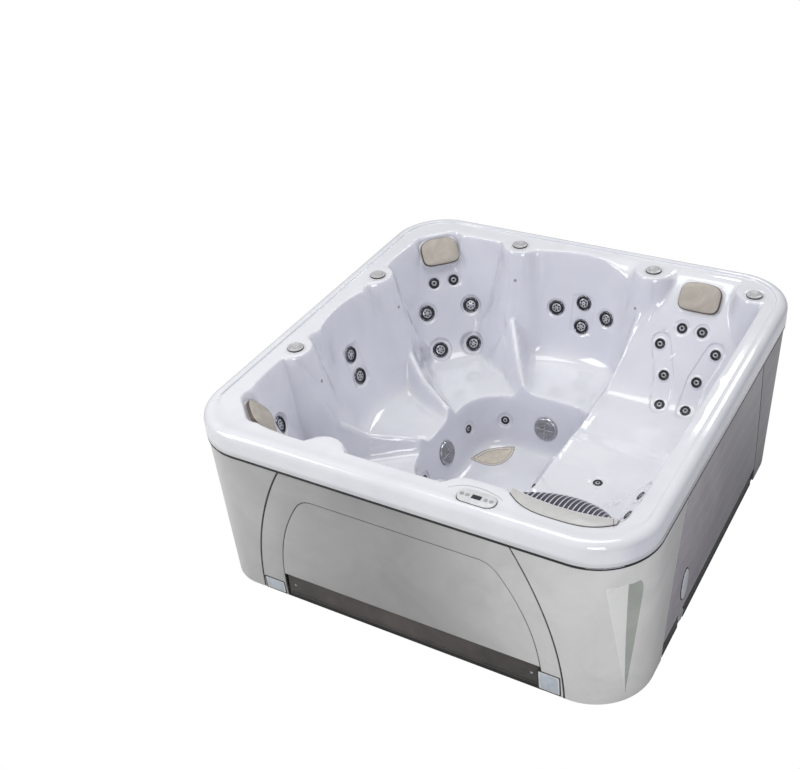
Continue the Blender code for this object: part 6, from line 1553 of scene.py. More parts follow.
def control_panel_piece():
    """The panel with its dark foot line of painted shade, display window and button rings."""
    built = bmesh.new()
    matrix = at(PANEL_X, -HALF_D + PANEL_INSET, DECK_Z)
    half_x, half_y = PANEL_LENGTH / 2, PANEL_WIDTH / 2
    layers(built, lambda grow: rounded_loop(half_x + grow, half_y + grow, half_y + grow - CLEARANCE,
                                            PANEL_OUTLINE_STEPS), matrix, *PANEL_LAYERS)
    for outline, (low, high, bevel, material) in DISPLAY_LAYERS:
        slab(built, rounded_loop(*outline), low, high, bevel, matrix, material)
    for x in BUTTON_PLACES:
        add_turned(built, [(BUTTON_RADIUS + point[0], *point[1:]) for point in BUTTON_RING], BUTTON_SIDES,
                   matrix @ at(x, 0, 0))
    add_disc(built, *PANEL_STUB, matrix, 1)
    hand_over("control_panel_face", built, (PANEL_GREY, DARK_GASKET_AND_SHADE, DISPLAY_DARK), TUB, "warm_grey_plastic",
              "control_panel")
    for number, x in enumerate(BUTTON_PLACES, start=1):
        cap = bmesh.new()
        add_turned(cap, CAP_PROFILE, BUTTON_SIDES, matrix @ at(x, 0, 0))
        name = "button_" + str(number)
        hand_over(name + "_cap", cap, (BUTTON_GREY,), name, "charcoal_plastic", name)


control_panel_piece()


# Filter: grille with curved fins, and its pleated cartridge

GRILLE_X = 0.692
GRILLE_BACK_Y = -0.884
GRILLE_REACH = 0.175
GRILLE_HALF = 0.192
GRILLE_LOW_Z = 0.722
FIN_COUNT = 19
FIN_PITCH = 0.0195
FIN_THICKNESS = 0.0042
FIN_DEPTH = 0.012
FIN_STEPS = 14
FIN_BEVEL = 0.0009
RAIL_WIDTH = 0.016
RAIL_THICKNESS = 0.008
RAIL_BEVEL = 0.0015
RAIL_STEPS = 36
FLANGE_HALF = 0.222
FLANGE_OUTER_Y = -0.996
FLANGE_OUTER_BOW = 0.070
FLANGE_INNER_Y = -0.926
FLANGE_INNER_BOW = 0.028
FLANGE_THICKNESS = 0.0070
FLANGE_STEPS = 40
FLANGE_BASE_SHARE = 0.35
FLANGE_FACE_SHARE = 0.992
FLANGE_BASE_BEVEL = 0.0008
FLANGE_FACE_BEVEL = 0.0022
FACE_OUTER_GAP = 0.0015
FACE_INNER_GAP = 0.0010
EDGE_NEAR = 0.0008
EDGE_FAR = 0.0036
EDGE_RISE = 0.0008
EDGE_BEVEL = 0.0006
JOINT_SHARE = 0.93
JOINT_TURN = math.radians(24)
JOINT_SIZE = (0.0020, 0.052, 0.0004)
FIN_TUCK = 0.008
# Drop, gauge and columns of the dark sheet of painted shade behind the fins.
SHADE_SHEET_DROP = 0.009
SHADE_SHEET_GAUGE = 0.0016
SHADE_SHEET_COLUMNS = 40
CARTRIDGE_RADIUS = 0.055
CARTRIDGE_TOP = 0.700
CARTRIDGE_FOOT = 0.4215
CARTRIDGE_SIDES = 48
FOOT_CAP = 0.012
TOP_CAP = 0.014
CAP_EDGE = 0.003
PLEAT_COUNT = 56
PLEAT_DEPTH = 0.008
PLEAT_INSET = 0.003
PLEAT_LEVELS = 7
BAND_SHARES = (0.25, 0.5, 0.75)
# Distance inside the caps' edge and height of the bands round the pleats
BAND_SECTION = ((0.0040, 0.003), (0.0025, 0.003), (0.0025, -0.003), (0.0040, -0.003), (0.0040, 0.003))


def fin_curve(x, inset):
    """Quarter ellipse of a fin from under the flange to the lower rail, drawn in by an inset: Y and Z."""
    start_y = FLANGE_INNER_Y + FLANGE_INNER_BOW * (x / FLANGE_HALF) ** 2 - FIN_TUCK
    end_y = GRILLE_BACK_Y + GRILLE_REACH * math.sqrt(max(1 - (x / GRILLE_HALF) ** 2, 0)) - inset
    rise = DECK_Z + CLEARANCE + FLANGE_THICKNESS / 2 - GRILLE_LOW_Z - inset * RAIL_THICKNESS / (2 * FIN_DEPTH)
    return [(start_y + (end_y - start_y) * math.sin(angle), GRILLE_LOW_Z + rise * math.cos(angle))
            for angle in levels(0, math.pi / 2, FIN_STEPS)]


def rail_curve(inset):
    """Half ellipse of the lower rail, drawn in by an inset."""
    half, reach = GRILLE_HALF - inset, GRILLE_REACH - inset
    return [(half * math.cos(angle), GRILLE_BACK_Y + reach * math.sin(angle))
            for angle in levels(0, math.pi, RAIL_STEPS)]


def grille_piece():
    """Bowed flange with its rim line and a joint, curved fins and the lower rail."""
    built = bmesh.new()
    base = at(GRILLE_X, 0, DECK_Z + CLEARANCE)
    shares = levels(-1, 1, FLANGE_STEPS)
    outer = [(FLANGE_HALF * share, FLANGE_OUTER_Y + FLANGE_OUTER_BOW * abs(share) ** 3) for share in shares]
    inner = [(FLANGE_HALF * share, FLANGE_INNER_Y + FLANGE_INNER_BOW * share ** 2) for share in shares]
    split = FLANGE_THICKNESS * FLANGE_BASE_SHARE
    slab(built, outer + inner[::-1], 0, split, FLANGE_BASE_BEVEL, base, 2, segments=1)
    face = [(x * FLANGE_FACE_SHARE, y + FACE_OUTER_GAP) for x, y in outer]
    face += [(x * FLANGE_FACE_SHARE, y - FACE_INNER_GAP) for x, y in reversed(inner)]
    slab(built, face, split, FLANGE_THICKNESS, FLANGE_FACE_BEVEL, base, 0, segments=3)
    edge = [(x, y - EDGE_NEAR) for x, y in inner] + [(x, y - EDGE_FAR) for x, y in inner[::-1]]
    slab(built, edge, FLANGE_THICKNESS / 2, FLANGE_THICKNESS + EDGE_RISE, EDGE_BEVEL, base, 1)
    bow = (FLANGE_OUTER_BOW + FLANGE_INNER_BOW) / 2 * JOINT_SHARE ** 3
    joint_y = (FLANGE_OUTER_Y + FLANGE_INNER_Y) / 2 + bow
    joint = base @ at(FLANGE_HALF * JOINT_SHARE, joint_y, FLANGE_THICKNESS)
    add_bar(built, JOINT_SIZE, joint @ Matrix.Rotation(JOINT_TURN, 4, "Z"), 0.0001, 2)
    for index in range(FIN_COUNT):
        x = (index - (FIN_COUNT - 1) / 2) * FIN_PITCH
        upright = along((GRILLE_X + x, 0, 0), Vector((0, 1, 0)), Vector((0, 0, 1)), Vector((1, 0, 0)))
        loop = fin_curve(x, 0) + fin_curve(x, FIN_DEPTH)[::-1]
        slab(built, loop, -FIN_THICKNESS / 2, FIN_THICKNESS / 2, FIN_BEVEL, upright, 1)
    slab(built, rail_curve(0) + rail_curve(RAIL_WIDTH)[::-1], -RAIL_THICKNESS / 2, RAIL_THICKNESS / 2,
         RAIL_BEVEL, at(GRILLE_X, 0, GRILLE_LOW_Z), 1)
    hand_over("grille_fins", built, (GRILLE_GREY, FIN_PALE, DARK_GASKET_AND_SHADE), "filter", "warm_grey_plastic",
              "filter_grille")


def screen_piece():
    """Dark sheet behind the fins: painted shade of the well inside."""
    built = bmesh.new()
    half = (FIN_COUNT - 1) / 2 * FIN_PITCH
    rows = [[built.verts.new((GRILLE_X + x, y, z)) for y, z in fin_curve(x, SHADE_SHEET_DROP)]
            for x in levels(-half, half, SHADE_SHEET_COLUMNS)]
    for left, right in zip(rows, rows[1:]):
        for k in range(FIN_STEPS):
            built.faces.new((left[k], left[k + 1], right[k + 1], right[k]))
    hand_over("filter_shade_sheet", built, (SHADE_SHEET_DARK,), "filter", "warm_grey_plastic",
              modifiers=[("SOLIDIFY", {"thickness": SHADE_SHEET_GAUGE})], smooth_angle=40.0)


def cartridge_piece():
    """Pleated element between two caps, with bands round it."""
    built = bmesh.new()
    base = at(WELL_X, WELL_Y, 0)
    low, high = CARTRIDGE_FOOT + FOOT_CAP, CARTRIDGE_TOP - TOP_CAP
    for bottom, top in ((CARTRIDGE_FOOT, low), (high, CARTRIDGE_TOP)):
        add_disc(built, CARTRIDGE_RADIUS, bottom, top, CAP_EDGE, CARTRIDGE_SIDES, base, 1)
    rings = []
    for height in np.linspace(low, high, PLEAT_LEVELS):
        ring = []
        for step in range(PLEAT_COUNT * 2):
            radius = CARTRIDGE_RADIUS - PLEAT_INSET - (PLEAT_DEPTH if step % 2 else 0)
            place = base @ circle_place(radius, math.pi * step / PLEAT_COUNT) @ Vector((0, 0, height))
            ring.append(built.verts.new(place))
        rings.append(ring)
    for lower, upper in zip(rings, rings[1:]):
        for i in range(len(lower)):
            j = (i + 1) % len(lower)
            built.faces.new((lower[i], lower[j], upper[j], upper[i]))
    built.faces.new(list(reversed(rings[0])))
    built.faces.new(rings[-1])
    for share in BAND_SHARES:
        height = low + (high - low) * share
        add_turned(built, [(CARTRIDGE_RADIUS - inset, height + rise, 1) for inset, rise in BAND_SECTION],
                   CARTRIDGE_SIDES, base)
    hand_over("filter_pleats", built, (PLEAT_BLUE, PIPE_WHITE), "filter", "filter_media", "filter_cartridge",
              smooth_angle=20.0)


grille_piece()
screen_piece()
cartridge_piece()


# Cabinet: faces with a slight draft, joined by round corners

PANEL_TOP = TRIM_TOP - 0.010
PANEL_BOTTOM = 0.015
PANEL_GAUGE = 0.012
PANEL_BEVEL = 0.0016
TOP_INSET = 0.006
BASE_INSET = 0.030
BASE_INSET_FRONT = 0.060
PANEL_RADIUS = 0.274
SEAM_GAP = 0.0090
DOOR_GAP = 0.0045
FRONT_SEAM_HALF = 0.755
FRONT_SEAM_BOW = 0.210
SIDE_SEAM_HALF = 0.670
SIDE_SEAM_BOW = 0.150
SIDE_SEAM_POWER = 1.3
LEFT_SEAM_SPREAD = 0.036
LEFT_SEAM_POWER = 0.6
LEFT_RADIUS_CUT = 0.080
SIDE_DRAFT = (BASE_INSET - TOP_INSET) / PANEL_TOP
FRONT_DRAFT = (BASE_INSET_FRONT - TOP_INSET) / PANEL_TOP
SIDE_BASE = HALF_W - BASE_INSET
BACK_BASE = HALF_D - BASE_INSET
FRONT_BASE = HALF_D - BASE_INSET_FRONT
# Turn, distance from the middle and draft of the faces' planes
FRONT_PLANE = (0, FRONT_BASE, FRONT_DRAFT)
RIGHT_PLANE = (math.pi / 2, SIDE_BASE, SIDE_DRAFT)
BACK_PLANE = (math.pi, BACK_BASE, SIDE_DRAFT)
LEFT_PLANE = (-math.pi / 2, SIDE_BASE, SIDE_DRAFT)
SEAM_STEPS = 28
STRIP_GAP = 0.0004
STRIP_LOW = 0.0110
STRIP_HIGH = 0.0022
STRIP_BEVEL = 0.0004


def front_seam(z):
    """Half width between the two seams of the front face."""
    return FRONT_SEAM_HALF - FRONT_SEAM_BOW * (z / PANEL_TOP) ** 2


def left_front_seam(z):
    """Distance of the front face's left seam, which spreads further towards its foot."""
    return front_seam(z) + LEFT_SEAM_SPREAD * max(1 - z / PANEL_TOP, 0) ** LEFT_SEAM_POWER


def side_seam(z):
    """Half width between the two seams of the other faces."""
    return SIDE_SEAM_HALF - SIDE_SEAM_BOW * (z / PANEL_TOP) ** SIDE_SEAM_POWER


def face_matrix(turn, base, draft):
    """Matrix on a face's outer plane: X along it, Y up its slope and Z outwards."""
    up = Vector((0, -draft, 1)).normalized()
    across = Vector((1, 0, 0))
    return Matrix.Rotation(turn, 4, "Z") @ along((0, -base, 0), across, up, across.cross(up))


def up_slope(points, draft):
    """Outline points given with real heights, in the plane of a face with a draft."""
    stretch = math.sqrt(1 + draft ** 2)
    return [(x, z * stretch) for x, z in points]


def panel_heights(bottom, draft):
    """Evenly spaced heights from a panel's bottom to its outer top edge."""
    return levels(bottom, PANEL_TOP - PANEL_GAUGE * draft, SEAM_STEPS)


def mirrored(edge):
    """Closed outline from its right edge."""
    return edge + [(-x, z) for x, z in edge[::-1]]


def strip(built, loop, plane):
    """Adds a dark strip that lies deeper than the panels beside it: painted shade in a gap."""
    slab(built, up_slope(loop, plane[2]), -STRIP_LOW, -STRIP_HIGH, STRIP_BEVEL, face_matrix(*plane))


def seam_strips(name, seams, plane, bottom):
    """Dark strips in the two seams of a face, as painted shade in the gaps."""
    built = bmesh.new()
    heights = panel_heights(bottom, plane[2])
    for sign, seam in zip((-1, 1), seams):
        loop = [(sign * (seam(z) - STRIP_GAP), z) for z in heights]
        loop += [(sign * (seam(z) - SEAM_GAP + STRIP_GAP), z) for z in reversed(heights)]
        strip(built, loop[::sign], plane)
    hand_over(name, built, (DARK_GASKET_AND_SHADE,), TUB, "dark_plastic")


def face_panel(name, node, body, loop, plane, material, slot_name, pads=()):
    """Flat cabinet panel with rounded edges in the plane of its face; pads rest on the frame."""
    built = bmesh.new()
    slab(built, up_slope(loop, plane[2]), -PANEL_GAUGE, 0, PANEL_BEVEL, face_matrix(*plane), 0)
    for place in pads:
        add_bar(built, DOOR_PAD_SIZE, at(*place), DOOR_PAD_BEVEL, 1)
    hand_over(name, built, (material, DARK_GASKET_AND_SHADE), body, slot_name, node)


RIGHT_PANEL_BOTTOM = 0.105
DOOR_BOTTOM = 0.165
DOOR_TOP = 0.697
DOOR_LOW_HALF = 0.650
DOOR_BOW = 0.200
DOOR_POWER = 2.5
DOOR_CORNER = 0.060
DOOR_CORNER_STEPS = 12
DOOR_PAD_SIZE = (0.030, 0.042, 0.030)
DOOR_PAD_BEVEL = 0.003
DOOR_PADS = ((-0.430, -1.0400, 0.420), (0.430, -1.0400, 0.420))


def door_edge(bottom, grow):
    """Right edge of the door from its bottom to its round top corner."""
    points = [(DOOR_LOW_HALF - DOOR_BOW * (z / DOOR_TOP) ** DOOR_POWER + grow, z)
              for z in levels(bottom, DOOR_TOP - DOOR_CORNER, SEAM_STEPS)]
    start = Vector(points[-1])
    lean = (start - Vector(points[-2])).normalized()
    bend = start + lean * (DOOR_TOP + grow - start.y) / lean.y
    end = bend - Vector((DOOR_CORNER, 0))
    for share in levels(0, 1, DOOR_CORNER_STEPS)[1:]:
        points.append(tuple(start.lerp(bend, share).lerp(bend.lerp(end, share), share)))
    return points


def cabinet_faces():
    """Front panel, door and the other three sides."""
    inner = door_edge(PANEL_BOTTOM, DOOR_GAP)
    near, far = door_edge(PANEL_BOTTOM, STRIP_GAP), door_edge(PANEL_BOTTOM, DOOR_GAP - STRIP_GAP)
    built = bmesh.new()
    # Dark strip behind the door's gap: painted shade.
    strip(built, mirrored(far) + [(-x, z) for x, z in near] + near[::-1], FRONT_PLANE)
    hand_over("door_gap_shade", built, (DARK_GASKET_AND_SHADE,), TUB, "dark_plastic")
    seam_strips("seam_strips_front", (left_front_seam, front_seam), FRONT_PLANE, PANEL_BOTTOM)
    heights = panel_heights(PANEL_BOTTOM, FRONT_DRAFT)
    outer = [(front_seam(z) - SEAM_GAP, z) for z in heights]
    outer += [(SEAM_GAP - left_front_seam(z), z) for z in reversed(heights)]
    face_panel("front_panel_face", "front_panel", TUB, outer + [(-x, z) for x, z in inner] + inner[::-1],
               FRONT_PLANE, SILVER, "cabinet_silver")
    face_panel("access_door_face", "front_access_door", "front_access_door",
               mirrored(door_edge(DOOR_BOTTOM, 0)), FRONT_PLANE, SILVER, "cabinet_silver", DOOR_PADS)
    for name, plane, bottom in (("right", RIGHT_PLANE, RIGHT_PANEL_BOTTOM),
                                ("back", BACK_PLANE, PANEL_BOTTOM), ("left", LEFT_PLANE, PANEL_BOTTOM)):
        right = [(side_seam(z) - SEAM_GAP, z) for z in panel_heights(bottom, SIDE_DRAFT)]
        face_panel(name + "_panel_face", name + "_panel", TUB, mirrored(right), plane, SIDE_GREY,
                   "cabinet_grey")
        seam_strips("seam_strips_" + name, (side_seam, side_seam), plane, bottom)


# Corner panels, one of them with a V-shaped recess whose facets are painted lit and shaded

RECESS_LOW = 0.065
RECESS_HIGH = 0.700
RECESS_CLOSE = 0.722
RECESS_ENDS = (RECESS_HIGH + 0.008, RECESS_CLOSE - 0.006)
RECESS_DEPTH = 0.030
RECESS_ANGLES = [math.radians(a) for a in (51.5, 20.0, 2.0, 14.5)]
RECESS_START = 0.04
RECESS_FOOT = 0.040
VALLEY_BEND = math.radians(4.9)
ROUND_TOP = 0.30
ROUND_FROM = 0.655
ARC_STEPS = 20
FACET_STEPS = 4
FIRST_FACET = 2 + ARC_STEPS // 2
# Width of the painted highlight by the side seam of the front corners.
PAINTED_HIGHLIGHT_EDGE = 0.0035
CORNER_BEVEL_ANGLE = math.radians(60)


def clamped(value, low=0, high=1):
    """Value kept between two others."""
    return min(max(value, low), high)


def recess_depth(z):
    """Depth of the recess's valley at a height."""
    opening = (z - RECESS_LOW) / (RECESS_HIGH - RECESS_LOW)
    return RECESS_DEPTH * max(min(opening, (RECESS_CLOSE - z) / (RECESS_CLOSE - RECESS_HIGH)), 0)


def arc_points(z, has_recess, radius):
    """Points round a corner at a height, as sines and cosines times its radius."""
    quarter = math.pi / 2
    if not has_recess:
        return [(radius * math.sin(a), radius * math.cos(a)) for a in levels(0, quarter, ARC_STEPS)]
    share = clamped((z - RECESS_LOW) / (RECESS_HIGH - RECESS_LOW), RECESS_START)
    apex, left_spread, valley_spread, right_spread = RECESS_ANGLES
    left = apex - left_spread * share
    rounding = clamped((z - ROUND_FROM) / (RECESS_CLOSE - ROUND_FROM))
    right = apex + right_spread * share - right_spread * share * ROUND_TOP * rounding ** 2
    valley = apex - valley_spread * share + VALLEY_BEND * share ** 2
    corners = [(radius, left), (radius - recess_depth(z), valley), (radius, right)]
    corners = [Vector((r * math.sin(a), r * math.cos(a))) for r, a in corners]
    before, after = levels(0, left, ARC_STEPS // 2), levels(right, quarter, ARC_STEPS // 2)[1:]
    points = [(radius * math.sin(a), radius * math.cos(a)) for a in before]
    for start, end in zip(corners, corners[1:]):
        points += [tuple(start.lerp(end, step / FACET_STEPS)) for step in range(1, FACET_STEPS + 1)]
    return points + [(radius * math.sin(a), radius * math.cos(a)) for a in after]


def corner_row(z, is_front, is_front_left, has_recess):
    """Outer points of a corner panel at a height, from its seam on the front or back to that on the side."""
    half_x = SIDE_BASE + SIDE_DRAFT * z
    half_y = FRONT_BASE + FRONT_DRAFT * z if is_front else BACK_BASE + SIDE_DRAFT * z
    seam_x, radius = front_seam(z) if is_front else side_seam(z), PANEL_RADIUS
    if is_front_left:
        seam_x, radius = left_front_seam(z), PANEL_RADIUS - LEFT_RADIUS_CUT * (1 - z / PANEL_TOP)
    row = [(seam_x, half_y), ((seam_x + half_x - radius) / 2, half_y)]
    row += [(half_x - radius + x, half_y - radius + y) for x, y in arc_points(z, has_recess, radius)]
    return row + [(half_x, (half_y - radius + side_seam(z)) / 2), (half_x, side_seam(z) + PAINTED_HIGHLIGHT_EDGE),
                  (half_x, side_seam(z))]


def corner_panel_piece(name, sign_x, sign_y):
    """Round corner of the cabinet between two curved seams."""
    is_front = sign_y < 0
    has_recess = is_front and sign_x > 0
    heights = panel_heights(PANEL_BOTTOM, max(FRONT_DRAFT, SIDE_DRAFT))
    if has_recess:
        top = heights[-1]
        heights = [PANEL_BOTTOM, RECESS_FOOT] + levels(RECESS_LOW, RECESS_HIGH, SEAM_STEPS) + [
            *RECESS_ENDS, RECESS_CLOSE, (RECESS_CLOSE + top) / 2, top]
    built = bmesh.new()
    rows = [[built.verts.new((sign_x * x, sign_y * y, z))
             for x, y in corner_row(z, is_front, is_front and sign_x < 0, has_recess)] for z in heights]
    for low, high in zip(rows, rows[1:]):
        for i in range(len(low) - 1):
            corners = (low[i], low[i + 1], high[i + 1], high[i])
            face = built.faces.new(corners[::-1] if sign_x * sign_y > 0 else corners)
            # Painted light: one facet of the recess takes the lit silver and the other the shaded silver, and
            # the last column by the side seam of a front corner takes the lit silver as a painted highlight.
            is_open = has_recess and RECESS_LOW < face.calc_center_median().z < RECESS_CLOSE
            if is_open and 0 <= i - FIRST_FACET < 2 * FACET_STEPS:
                face.material_index = 1 + (i - FIRST_FACET) // FACET_STEPS
            if i == len(low) - 2 and is_front:
                face.material_index = 1
    wall = {"thickness": PANEL_GAUGE, "offset": -1}
    edge = {"width": PANEL_BEVEL, "segments": 2, "limit_method": "ANGLE", "angle_limit": CORNER_BEVEL_ANGLE}
    hand_over(name + "_face", built, (SILVER if is_front else SIDE_GREY, FACET_PAINTED_LIT, FACET_PAINTED_SHADE), TUB,
              "cabinet_silver" if is_front else "cabinet_grey", name,
              modifiers=[("SOLIDIFY", wall), ("BEVEL", edge)], smooth_angle=22.0)


# Trim, kick strip, plates and drain cap

TRIM_INSET = 0.001
TRIM_SECTION = ((0.020, 0.0003), (0.0042, 0.0003), (0.0042, -0.0046), (0.0008, -0.0046), (0.0, -0.0036),
                (0.0, 0.0022), (0.0010, 0.0028), (0.0010, 0.0068), (0.0, 0.0074), (0.0, 0.0090),
                (0.0008, 0.0097), (0.020, 0.0097))
CHROME_ROW = 6
TRIM_STEPS = 24
CHROME_DEEP = 0.085
CHROME_WIDE = 0.20


def trim_piece():
    """Dark band round the tub with a thin bright line on the front corners."""
    built = bmesh.new()
    loops = []
    for inset, height in TRIM_SECTION:
        total = TRIM_INSET + inset
        loop = rounded_loop(HALF_W - total, HALF_D - total, RIM_CORNER_RADIUS - total, TRIM_STEPS)
        loops.append([built.verts.new((x, y, PANEL_TOP + height)) for x, y in loop])
    count = len(loops[0])
    for row, (lower, upper) in enumerate(zip(loops, loops[1:] + loops[:1])):
        for i in range(count):
            j = (i + 1) % count
            face = built.faces.new((lower[i], lower[j], upper[j], upper[i]))
            middle = face.calc_center_median()
            is_corner = middle.y < -HALF_D + CHROME_DEEP and abs(middle.x) > HALF_W - CHROME_WIDE
            face.material_index = 1 if row == CHROME_ROW and is_corner else 0
    bmesh.ops.recalc_face_normals(built, faces=built.faces)
    hand_over("trim_ring", built, (TRIM_BLACK, STAINLESS), TUB, "dark_plastic", "trim_band",
              smooth_angle=35.0)


KICK_HALF = 0.640
KICK_LOW = 0.035
KICK_HIGH = 0.159
KICK_Y = -1.0335
KICK_GAUGE = 0.0094
KICK_BEVEL = 0.0015
RIB_SECTION = (0.0030, 0.008)
RIB_INSET = 0.006
RIB_CUT = 0.004
RIB_Y = KICK_Y - 0.0050
RIB_BEVEL = 0.0012
SCREW_SIDES = 20
SCREW_SHARE = 0.94
SCREW_PROFILE = ((0, 0.0020, 1), (0.0050, 0.0018, 1), (0.0062, 0.0008, 1), (0.0062, -0.003, 1),
                 (0, -0.003, 1))


def kick_piece():
    """Dark strip under the door with a raised rim and two screws."""
    built = bmesh.new()
    middle = (KICK_LOW + KICK_HIGH) / 2
    add_bar(built, (2 * KICK_HALF, KICK_GAUGE, KICK_HIGH - KICK_LOW), at(0, KICK_Y, middle), KICK_BEVEL)
    for height in (KICK_LOW + RIB_INSET, KICK_HIGH - RIB_INSET):
        add_bar(built, (2 * KICK_HALF - RIB_CUT, *RIB_SECTION), at(0, RIB_Y, height), RIB_BEVEL)
    for share in (-SCREW_SHARE, SCREW_SHARE):
        place = at(share * KICK_HALF, KICK_Y - KICK_GAUGE / 2, middle)
        add_turned(built, SCREW_PROFILE, SCREW_SIDES, place @ Matrix.Rotation(math.pi / 2, 4, "X"))
    hand_over("kick_face", built, (KICK_DARK, STAINLESS), TUB, "dark_plastic", "kick_strip")


PLATE_MATERIALS = (PANEL_GREY, DARK_GASKET_AND_SHADE, PLATE_BLUE)
# Growth of the outline, levels, bevel and material
PLATE_LAYERS = ((0.0, -0.0008, 0.0010, 0.0001, 1), (-0.0060, 0.0010, 0.0013, 0.0001, 0),
                (-0.0120, 0.0013, 0.0015, 0.0001, 2))
OVAL_LAYERS = ((0.0, -0.0010, 0.0020, 0.0010, 1), (-0.0065, 0.0020, 0.0030, 0.0005, 0),
               (-0.0160, 0.0030, 0.0036, 0.0004, 2))
PLATE_CORNER = 0.006
OVAL_PLACE = (-0.430, 0.260, 0)
OVAL_HALF_X = 0.048
OVAL_HALF_Y = 0.090
OVAL_STEPS = 56


def plate_piece(name, low_x, high_x, low_z, high_z):
    """Bare plate with a dark border on the front of the cabinet."""
    built = bmesh.new()
    (middle_x, middle_z), = up_slope([((low_x + high_x) / 2, (low_z + high_z) / 2)], FRONT_DRAFT)
    half_x, half_y = (high_x - low_x) / 2, (high_z - low_z) / 2
    layers(built, lambda grow: rounded_loop(half_x + grow, half_y + grow, PLATE_CORNER, 5),
           face_matrix(*FRONT_PLANE) @ at(middle_x, middle_z, 0), *PLATE_LAYERS)
    hand_over(name, built, PLATE_MATERIALS, TUB, "cabinet_silver")


def oval_piece():
    """Bare oval plate low on the right side."""
    built = bmesh.new()
    angles = levels(0, 2 * math.pi, OVAL_STEPS)[:-1]
    layers(built, lambda grow: [((OVAL_HALF_X + grow) * math.cos(a), (OVAL_HALF_Y + grow) * math.sin(a))
                                for a in angles], face_matrix(*RIGHT_PLANE) @ at(*OVAL_PLACE), *OVAL_LAYERS)
    hand_over("oval_plate", built, PLATE_MATERIALS, TUB, "cabinet_silver")


PLINTH_X = 1.0270
PLINTH_HALF = 0.640
PLINTH_LOW = 0.003
PLINTH_HIGH = 0.1045
PLINTH_GAUGE = 0.0058
PLINTH_BEVEL = 0.0008
PLINTH_RIB_GAUGE = 0.0024
PLINTH_RIB_WIDTH = 0.006
PLINTH_RIB_LEVELS = (PLINTH_LOW + 0.012, PLINTH_HIGH - 0.014)
PLINTH_RIB_X = PLINTH_X + 0.0027
PLINTH_RIB_BEVEL = 0.001
DRAIN_SIDE = 0.035
DRAIN_Y = -0.410
DRAIN_Z = 0.052
DRAIN_X = 1.0228
DRAIN_PROFILE = ((0, 0.0098), (0.020, 0.0100), (0.0275, 0.0103), (0.0300, 0.0085, 0, 1),
                 (0.0312, 0.0060, 0, 1), (0.0312, 0.0006, 0, 1), (0.0120, 0.0004), (0.0118, -0.008),
                 (0, -0.008))
DRAIN_SIDES = 96
KNURL_COUNT = 24
KNURL_DEPTH = 0.022
GRIP_SIZE = (0.034, 0.0052, 0.0052)
GRIP_LEVEL = 0.0100
GRIP_BEVEL = 0.0012


def plinth_piece():
    """Dark strips over the base pan's right side, on both sides of the drain cap."""
    built = bmesh.new()
    middle_z, height = (PLINTH_LOW + PLINTH_HIGH) / 2, PLINTH_HIGH - PLINTH_LOW
    for low, high in ((-PLINTH_HALF, DRAIN_Y - DRAIN_SIDE), (DRAIN_Y + DRAIN_SIDE, PLINTH_HALF)):
        middle, length = (low + high) / 2, high - low
        add_bar(built, (PLINTH_GAUGE, length, height), at(PLINTH_X, middle, middle_z), PLINTH_BEVEL)
        for level in PLINTH_RIB_LEVELS:
            add_bar(built, (PLINTH_RIB_GAUGE, length - RIB_CUT, PLINTH_RIB_WIDTH),
                    at(PLINTH_RIB_X, middle, level), PLINTH_RIB_BEVEL)
    hand_over("plinth_right", built, (TRIM_BLACK,), TUB, "dark_plastic")


def drain_cap_piece():
    """Knurled screw cap with a grip bar and its stem."""
    built = bmesh.new()
    matrix = along((DRAIN_X, DRAIN_Y, DRAIN_Z), Vector((0, 1, 0)), Vector((0, 0, 1)), Vector((1, 0, 0)))
    add_turned(built, DRAIN_PROFILE, DRAIN_SIDES, matrix, KNURL_COUNT, KNURL_DEPTH)
    add_bar(built, GRIP_SIZE, matrix @ at(0, 0, GRIP_LEVEL), GRIP_BEVEL)
    hand_over("drain_cap_knurled", built, (BUTTON_GREY,), "drain_cap", "dark_plastic", "drain_cap",
              smooth_angle=32.0)


cabinet_faces()
for corner_name, corner_x, corner_y in (("front_left", -1, -1), ("front_right", 1, -1), ("back_left", -1, 1),
                                        ("back_right", 1, 1)):
    corner_panel_piece("corner_panel_" + corner_name, corner_x, corner_y)
trim_piece()
kick_piece()
plate_piece("data_plate_left", -0.775, -0.660, 0.018, 0.100)
plate_piece("data_plate_right", 0.631, 0.737, 0.020, 0.140)
oval_piece()
plinth_piece()
drain_cap_piece()


# Inlays on the floor and the steps, small pins, and the moulded line behind the panel

INLAY_GAUGE = 0.0016
INLAY_LIFT = 0.0007
INLAY_SMOOTH = 6
INLAY_RINGS = ((0.0, 1), (0.0034, 2), (0.0130, 1), (0.0158, 0))
INLAY_INNER_SHARES = (0.82, 0.6, 0.38, 0.16)
MITRE_LIMIT = 0.35

# Outlines in plan, with the numbers of their sharp tips
FOOT_LEAF = ((-0.314, 0.173), (-0.305, 0.224), (-0.289, 0.272), (-0.264, 0.305), (-0.230, 0.332),
             (-0.190, 0.351), (-0.148, 0.362), (-0.142, 0.335), (-0.140, 0.300), (-0.147, 0.253),
             (-0.163, 0.216), (-0.192, 0.191), (-0.235, 0.179), (-0.281, 0.178))
STEP_INLAY = ((-0.079, -0.415), (0.0, -0.420), (0.084, -0.415), (0.118, -0.520), (0.150, -0.600),
              (0.179, -0.650), (0.160, -0.672), (0.060, -0.684), (-0.060, -0.684), (-0.154, -0.672),
              (-0.171, -0.650), (-0.142, -0.600), (-0.110, -0.520))
UPPER_LEAF = ((-0.150, -0.722), (-0.210, -0.716), (-0.262, -0.742), (-0.286, -0.800), (-0.262, -0.856),
              (-0.205, -0.862), (-0.150, -0.836), (-0.126, -0.780))
FOOT_TIPS = (0, 6)
